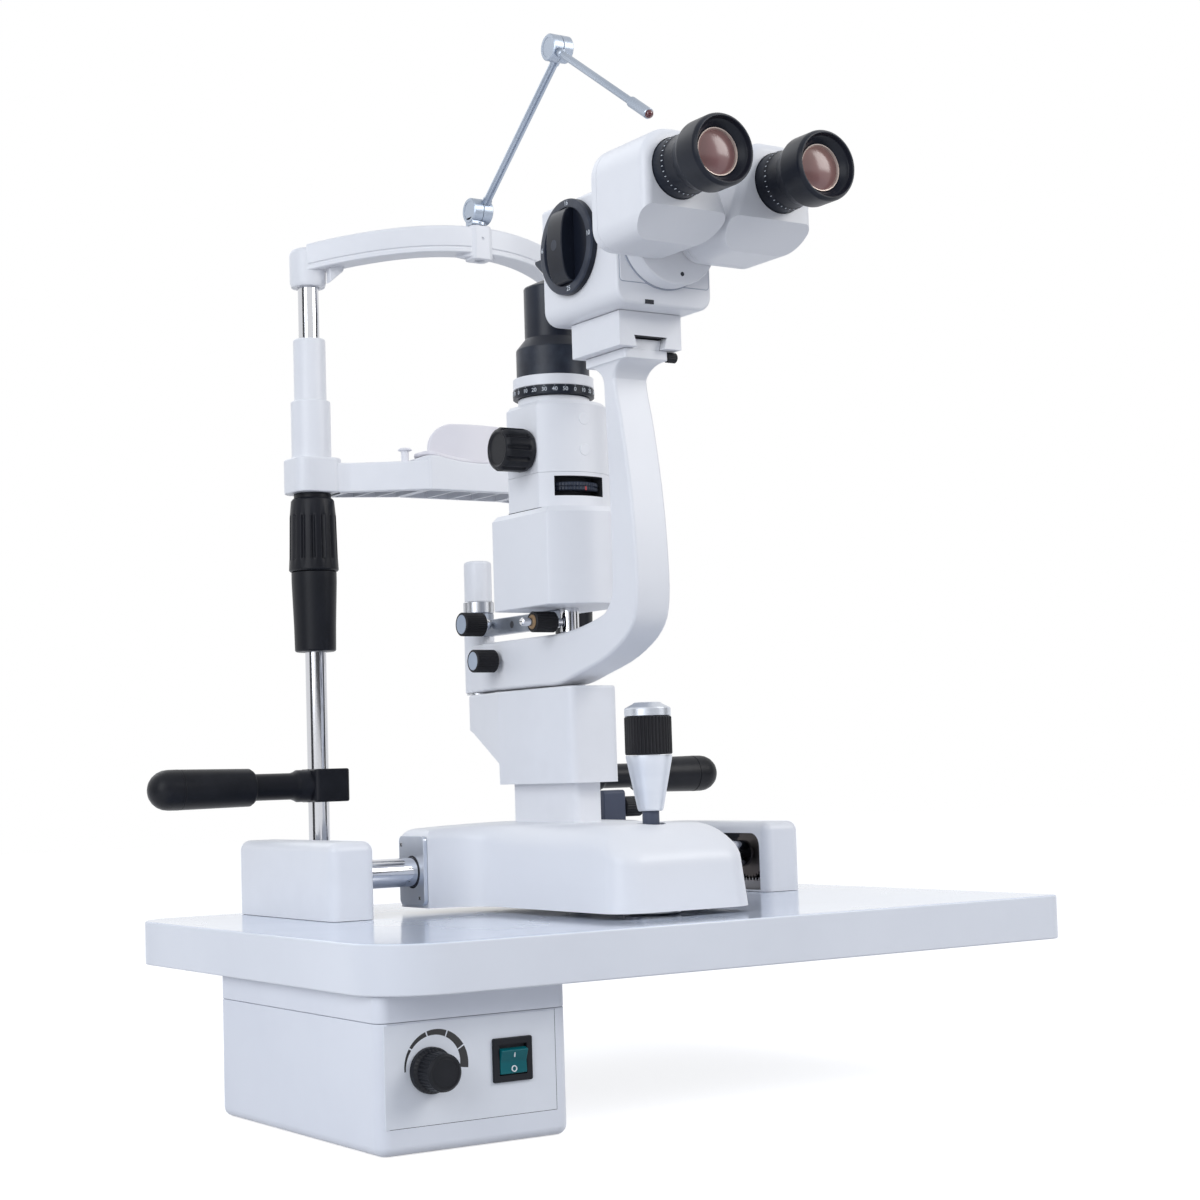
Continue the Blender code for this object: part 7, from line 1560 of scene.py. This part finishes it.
# The window's pocket takes the dark look: painted shade.
window_cuts = [((x, 0, 0), (1, 0, 0)) for x in window_x] + [((0, 0, z), (0, 0, 1)) for z in window_z]
press(lower_part, (0, -1, 0), window_cuts,
    lambda spot: window_x[0] < spot.x < window_x[1] and window_z[0] < spot.z < window_z[1], 0.012, 1,
    lambda face: face.normal.y < -0.3 and abs(face.normal.z) < 0.1)
core = slab(tower_shape(SLIT_R - 0.0007, SLIT_HALF - 0.0007, SLIT_BACK - 0.0006), SEAM_Z - 0.001,
    SEAM_Z + 0.001)
collar = turned([(0.013, 0.3904), (0.025, 0.3904), (0.0255, 0.3899), (0.0255, BODY_TOP - 0.001),
        (0.013, BODY_TOP - 0.001)], (CENTRE_X, TOWER_Y, 0))
# A thin dark band at the slit body's foot: a painted shadow line between the two castings.
foot_shadow_line = tint(slab(tower_shape(SLIT_R - 0.0006, SLIT_HALF - 0.0006, SLIT_BACK - 0.0005), low.z - 0.00005,
        low.z + 0.0009), 1)
for point in lower_part.verts:
    if point.co.z < low.z + 0.0006:
        point.co.z += 0.0006
merge(upper, lower_part, core, collar, foot_shadow_line)
for height in (0.3497, 0.3714):
    plug_at = (CENTRE_X + 0.0004, TOWER_Y - SLIT_R, height)
    merge(upper, turned([(0, 0.0003), (0.004, 0.00025), (0.0043, -0.0001), (0, -0.0004)], plug_at, (0, -1, 0),
            steps=40))
piece(upper, "slit_case", [CASTING, DARK_AND_PAINTED_SHADE], "tower", ["slit_body"], 25.0)

# --- Slit controls ---
# A black ring with white figures turns the slit, and a fluted black knob on the left opens its two
# blued jaws. The filter wheel's milled rim shows in the window, with one red mark on it.
RED_PAINT = finish("red_paint", (0.42, 0.02, 0.025), (0.35, 0.012, 0.02), 0.4, 0.05, 900.0)
BLUED = finish("blued_steel", (0.1, 0.12, 0.17), (0.07, 0.09, 0.13), 0.3, 0.1, 900.0, metal=1.0)
tower_at = (CENTRE_X, TOWER_Y, 0)
low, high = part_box("slit_ring")
scale = turned([(0.02, high.z), (0.0286, high.z), (0.029, high.z - 0.0003), (0.029, low.z + 0.0003),
        (0.0286, low.z), (0.02, low.z)], tower_at, steps=96)
for step in range(24):
    turn = math.radians(15 * step)
    out = Vector((math.sin(turn), -math.cos(turn), 0))
    spot = Vector((CENTRE_X, TOWER_Y, (low.z + high.z) / 2 + 0.0004)) + out * 0.02898
    label = figure(str(step * 10 % 180), 0.004, facing_place(spot + out * 0.0001 - Vector((0, 0, 0.0004)), out))
    tick = block((-0.00014, 0.0018, -0.0001), (0.00014, 0.0027, 0.00012))
    put(tick, facing_place(spot, out))
    merge(label, tick)
    tint(label, 1)
    merge(scale, label)
piece(scale, "slit_angle_ring", [ANODISED, INK], "slit_scale", ["slit_ring"])

low, high, knob_at, knob_r = side_knob("slit_width_knob")
knob_out, knob_in = -low.x, 0.0543
knob = turned([(0, knob_out - 0.0012), (0.0108, knob_out - 0.0012), (0.0116, knob_out - 0.0003),
        (0.0124, knob_out), (0.014, knob_out - 0.0006), (knob_r, knob_out - 0.0026),
        (knob_r, knob_out - 0.0032), (knob_r, knob_in + 0.005), (knob_r, knob_in + 0.0044),
        (0.0149, knob_in + 0.0016), (0.0138, knob_in), (0, knob_in)], knob_at, "-x", 0, 11 * 18)
flute(knob, 11, 0.0016, 0.42, lambda spot: -knob_out + 0.0022 < spot.x < -knob_in - 0.0046
    and math.hypot(spot.y - knob_at[1], spot.z - knob_at[2]) > 0.0145, knob_at, "x")
merge(knob, bush(0, 0.0029, 0.055, -high.x, knob_at, "-x", steps=24))
piece(knob, "slit_opening_knob", BLACK, "slit_knob", ["slit_width_knob"], 40.0)

for jaw_name in ("left", "right"):
    low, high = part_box("slit_jaw_" + jaw_name)
    inner_x = high.x if jaw_name == "left" else low.x
    outer_x = low.x if jaw_name == "left" else high.x
    knife = 0.001 if jaw_name == "left" else -0.001
    jaw = slab([(inner_x, low.z, 0), (outer_x, low.z, 0), (outer_x, high.z, 0), (inner_x - knife, high.z, 0)],
        low.y, high.y, "y")
    piece(jaw, jaw_name + "_slit_blade", BLUED, "jaw_" + jaw_name, ["slit_jaw_" + jaw_name])

low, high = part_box("filter_wheel")
WHEEL_AT = Vector((CENTRE_X, (low.y + high.y) / 2, 0))
wheel_r = (high.x - low.x) / 2
filters = turned([(0, high.z), (wheel_r - 0.0006, high.z), (wheel_r, high.z - 0.0006),
        (wheel_r, low.z + 0.0034), (wheel_r - 0.0006, low.z + 0.0031), (wheel_r - 0.0006, low.z + 0.0027),
        (wheel_r, low.z + 0.0024), (wheel_r, low.z + 0.0006), (wheel_r - 0.0006, low.z), (0, low.z)], WHEEL_AT,
    steps=60 * 4)
flute(filters, 60, 0.0004, 0.5, lambda spot: (spot.xy - WHEEL_AT.xy).length > wheel_r - 0.0002, WHEEL_AT)
merge(filters, tint(block((CENTRE_X + 0.0006, WHEEL_AT.y - wheel_r - 0.00004, low.z),
            (CENTRE_X + 0.0018, WHEEL_AT.y - wheel_r + 0.001, low.z + 0.0028)), 1))
for step in range(5):
    turn = math.radians(90 + 72 * step)
    spot = WHEEL_AT + Vector((0.0145 * math.cos(turn), 0.0145 * math.sin(turn), 0))
    merge(filters, tint(bush(0, 0.0048, high.z + 0.00005, low.z - 0.00005, spot, steps=32), 2))
piece(filters, "filter_disc", [DIAL_FACE, RED_PAINT, LENS_GLASS], "filter", ["filter_wheel"])

# --- Mirror tower ---
# A black anodised tube on a white band narrows in a cone to its neck. A bracket on top holds the
# mirror that throws the slit towards the eye, with a screw through its crest.
low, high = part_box("mirror_cone")
MIRROR = finish("front_mirror", (0.85, 0.86, 0.88), (0.82, 0.83, 0.86), 0.03, 0.02, 300.0, 0.0000003, metal=1.0)
TUBE = finish("tube_anodised", (0.014, 0.018, 0.03), (0.01, 0.013, 0.022), 0.34, 0.08, 1500.0, 0.00001,
    edge_tone=(0.1, 0.12, 0.16), wear_and_highlight=0.3, specular=0.3)
tube = turned([(0, 0.4765), (0.0075, 0.4765), (0.0086, 0.476), (0.0188, 0.4714), (0.0194, 0.4704),
        (0.0194, 0.4345), (0.0196, 0.4338), (0.0256, 0.4266), (0.026, 0.4256), (0.026, 0.4052), (0.013, 0.4052),
        (0.013, 0.47), (0, 0.47)], tower_at, steps=96)
merge(tube, tint(turned([(0.013, 0.405), (0.0284, 0.405), (0.0288, 0.4046), (0.0288, 0.3977), (0.0284, 0.3973),
            (0.013, 0.3973)], tower_at, steps=96), 1))
near, far, top = -0.002, 0.0186, 0.492
merge(tube, slab([(near, 0.4725, 0), (0.0006, 0.4725, 0), (0.002, 0.476, 0.004), (far, top - 0.0022, 0),
            (far, top, 0.0006), (near, top, 0.002)], CENTRE_X - 0.007, CENTRE_X + 0.007, "x", (0.001, 0.001)))
merge(tube, tint(slab([(0.0022, 0.4752, 0), (far - 0.0005, top - 0.0032, 0), (far - 0.0001, top - 0.0028, 0),
            (0.0018, 0.4756, 0)], CENTRE_X - 0.0062, CENTRE_X + 0.0062, "x"), 2))
merge(tube, tint(turned([(0, 0.4945), (0.0022, 0.4945), (0.003, 0.4938), (0.003, 0.4915), (0, 0.4915)],
            (CENTRE_X, near + 0.004, 0), steps=32), 3))
screw_turn = math.radians(14)
screw_out = Vector((math.sin(screw_turn), -math.cos(screw_turn), 0))
for ring_r, out_by, look in ((0.0017, 0, 1), (0.001, 0.00006, 0), (0.0004, 0.0001, 1)):
    dot = turned([(0, 0.0002 + out_by), (ring_r, 0.0001 + out_by), (ring_r, -0.0006), (0, -0.0006)],
        Vector((CENTRE_X, TOWER_Y, 0.444)) + screw_out * 0.0194, screw_out, steps=24)
    tint(dot, look)
    merge(tube, dot)
piece(tube, "mirror_tube", [TUBE, CASTING, MIRROR, SCREW], "tower", ["mirror_cone"], 30.0)

# --- Bulb and transformer ---
# A clear halogen bulb on a ceramic cap stands in the lamp housing. The supply box holds a laminated
# transformer with a varnished copper coil.
CERAMIC = finish("ceramic", (0.72, 0.7, 0.66), (0.66, 0.64, 0.6), 0.5, 0.08, 900.0)
COPPER = finish("varnished_copper", (0.46, 0.18, 0.08), (0.36, 0.13, 0.06), 0.3, 0.1, 1200.0, 0.00002,
    metal=1.0, coat=0.4)
CORE = finish("laminated_core", (0.22, 0.22, 0.24), (0.15, 0.15, 0.17), 0.45, 0.1, 600.0, 0.00002, metal=0.9,
    stretch=(8.0, 1, 1))
low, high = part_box("bulb")
bulb = turned([(0, high.z), (0.0025, high.z - 0.0004), (0.0052, high.z - 0.0018), (0.0072, high.z - 0.0045),
        (0.0081, high.z - 0.008), (0.0081, low.z + 0.016), (0.007, low.z + 0.0145), (0, low.z + 0.0145)],
    tower_at, steps=48)
socket = tint(turned([(0, low.z + 0.015), (0.0086, low.z + 0.015), (0.009, low.z + 0.0144),
            (0.009, low.z + 0.0006), (0.0086, low.z), (0, low.z)], tower_at, steps=48), 1)
piece(merge(bulb, socket), "halogen_bulb", [LENS_GLASS, CERAMIC], "tower", ["bulb"])

low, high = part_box("supply_transformer")
core = block(low, high - Vector((0, 0, 0.004)), 0.002, "z", (0.0006, 0.0006))
coil = tint(block(low + Vector((0.01, 0.002, 0.006)), high - Vector((0.01, 0.002, 0)), 0.01, "z",
        (0.002, 0.002)), 1)
piece(merge(core, coil), "mains_transformer", [CORE, COPPER], "stand", ["supply_transformer"])
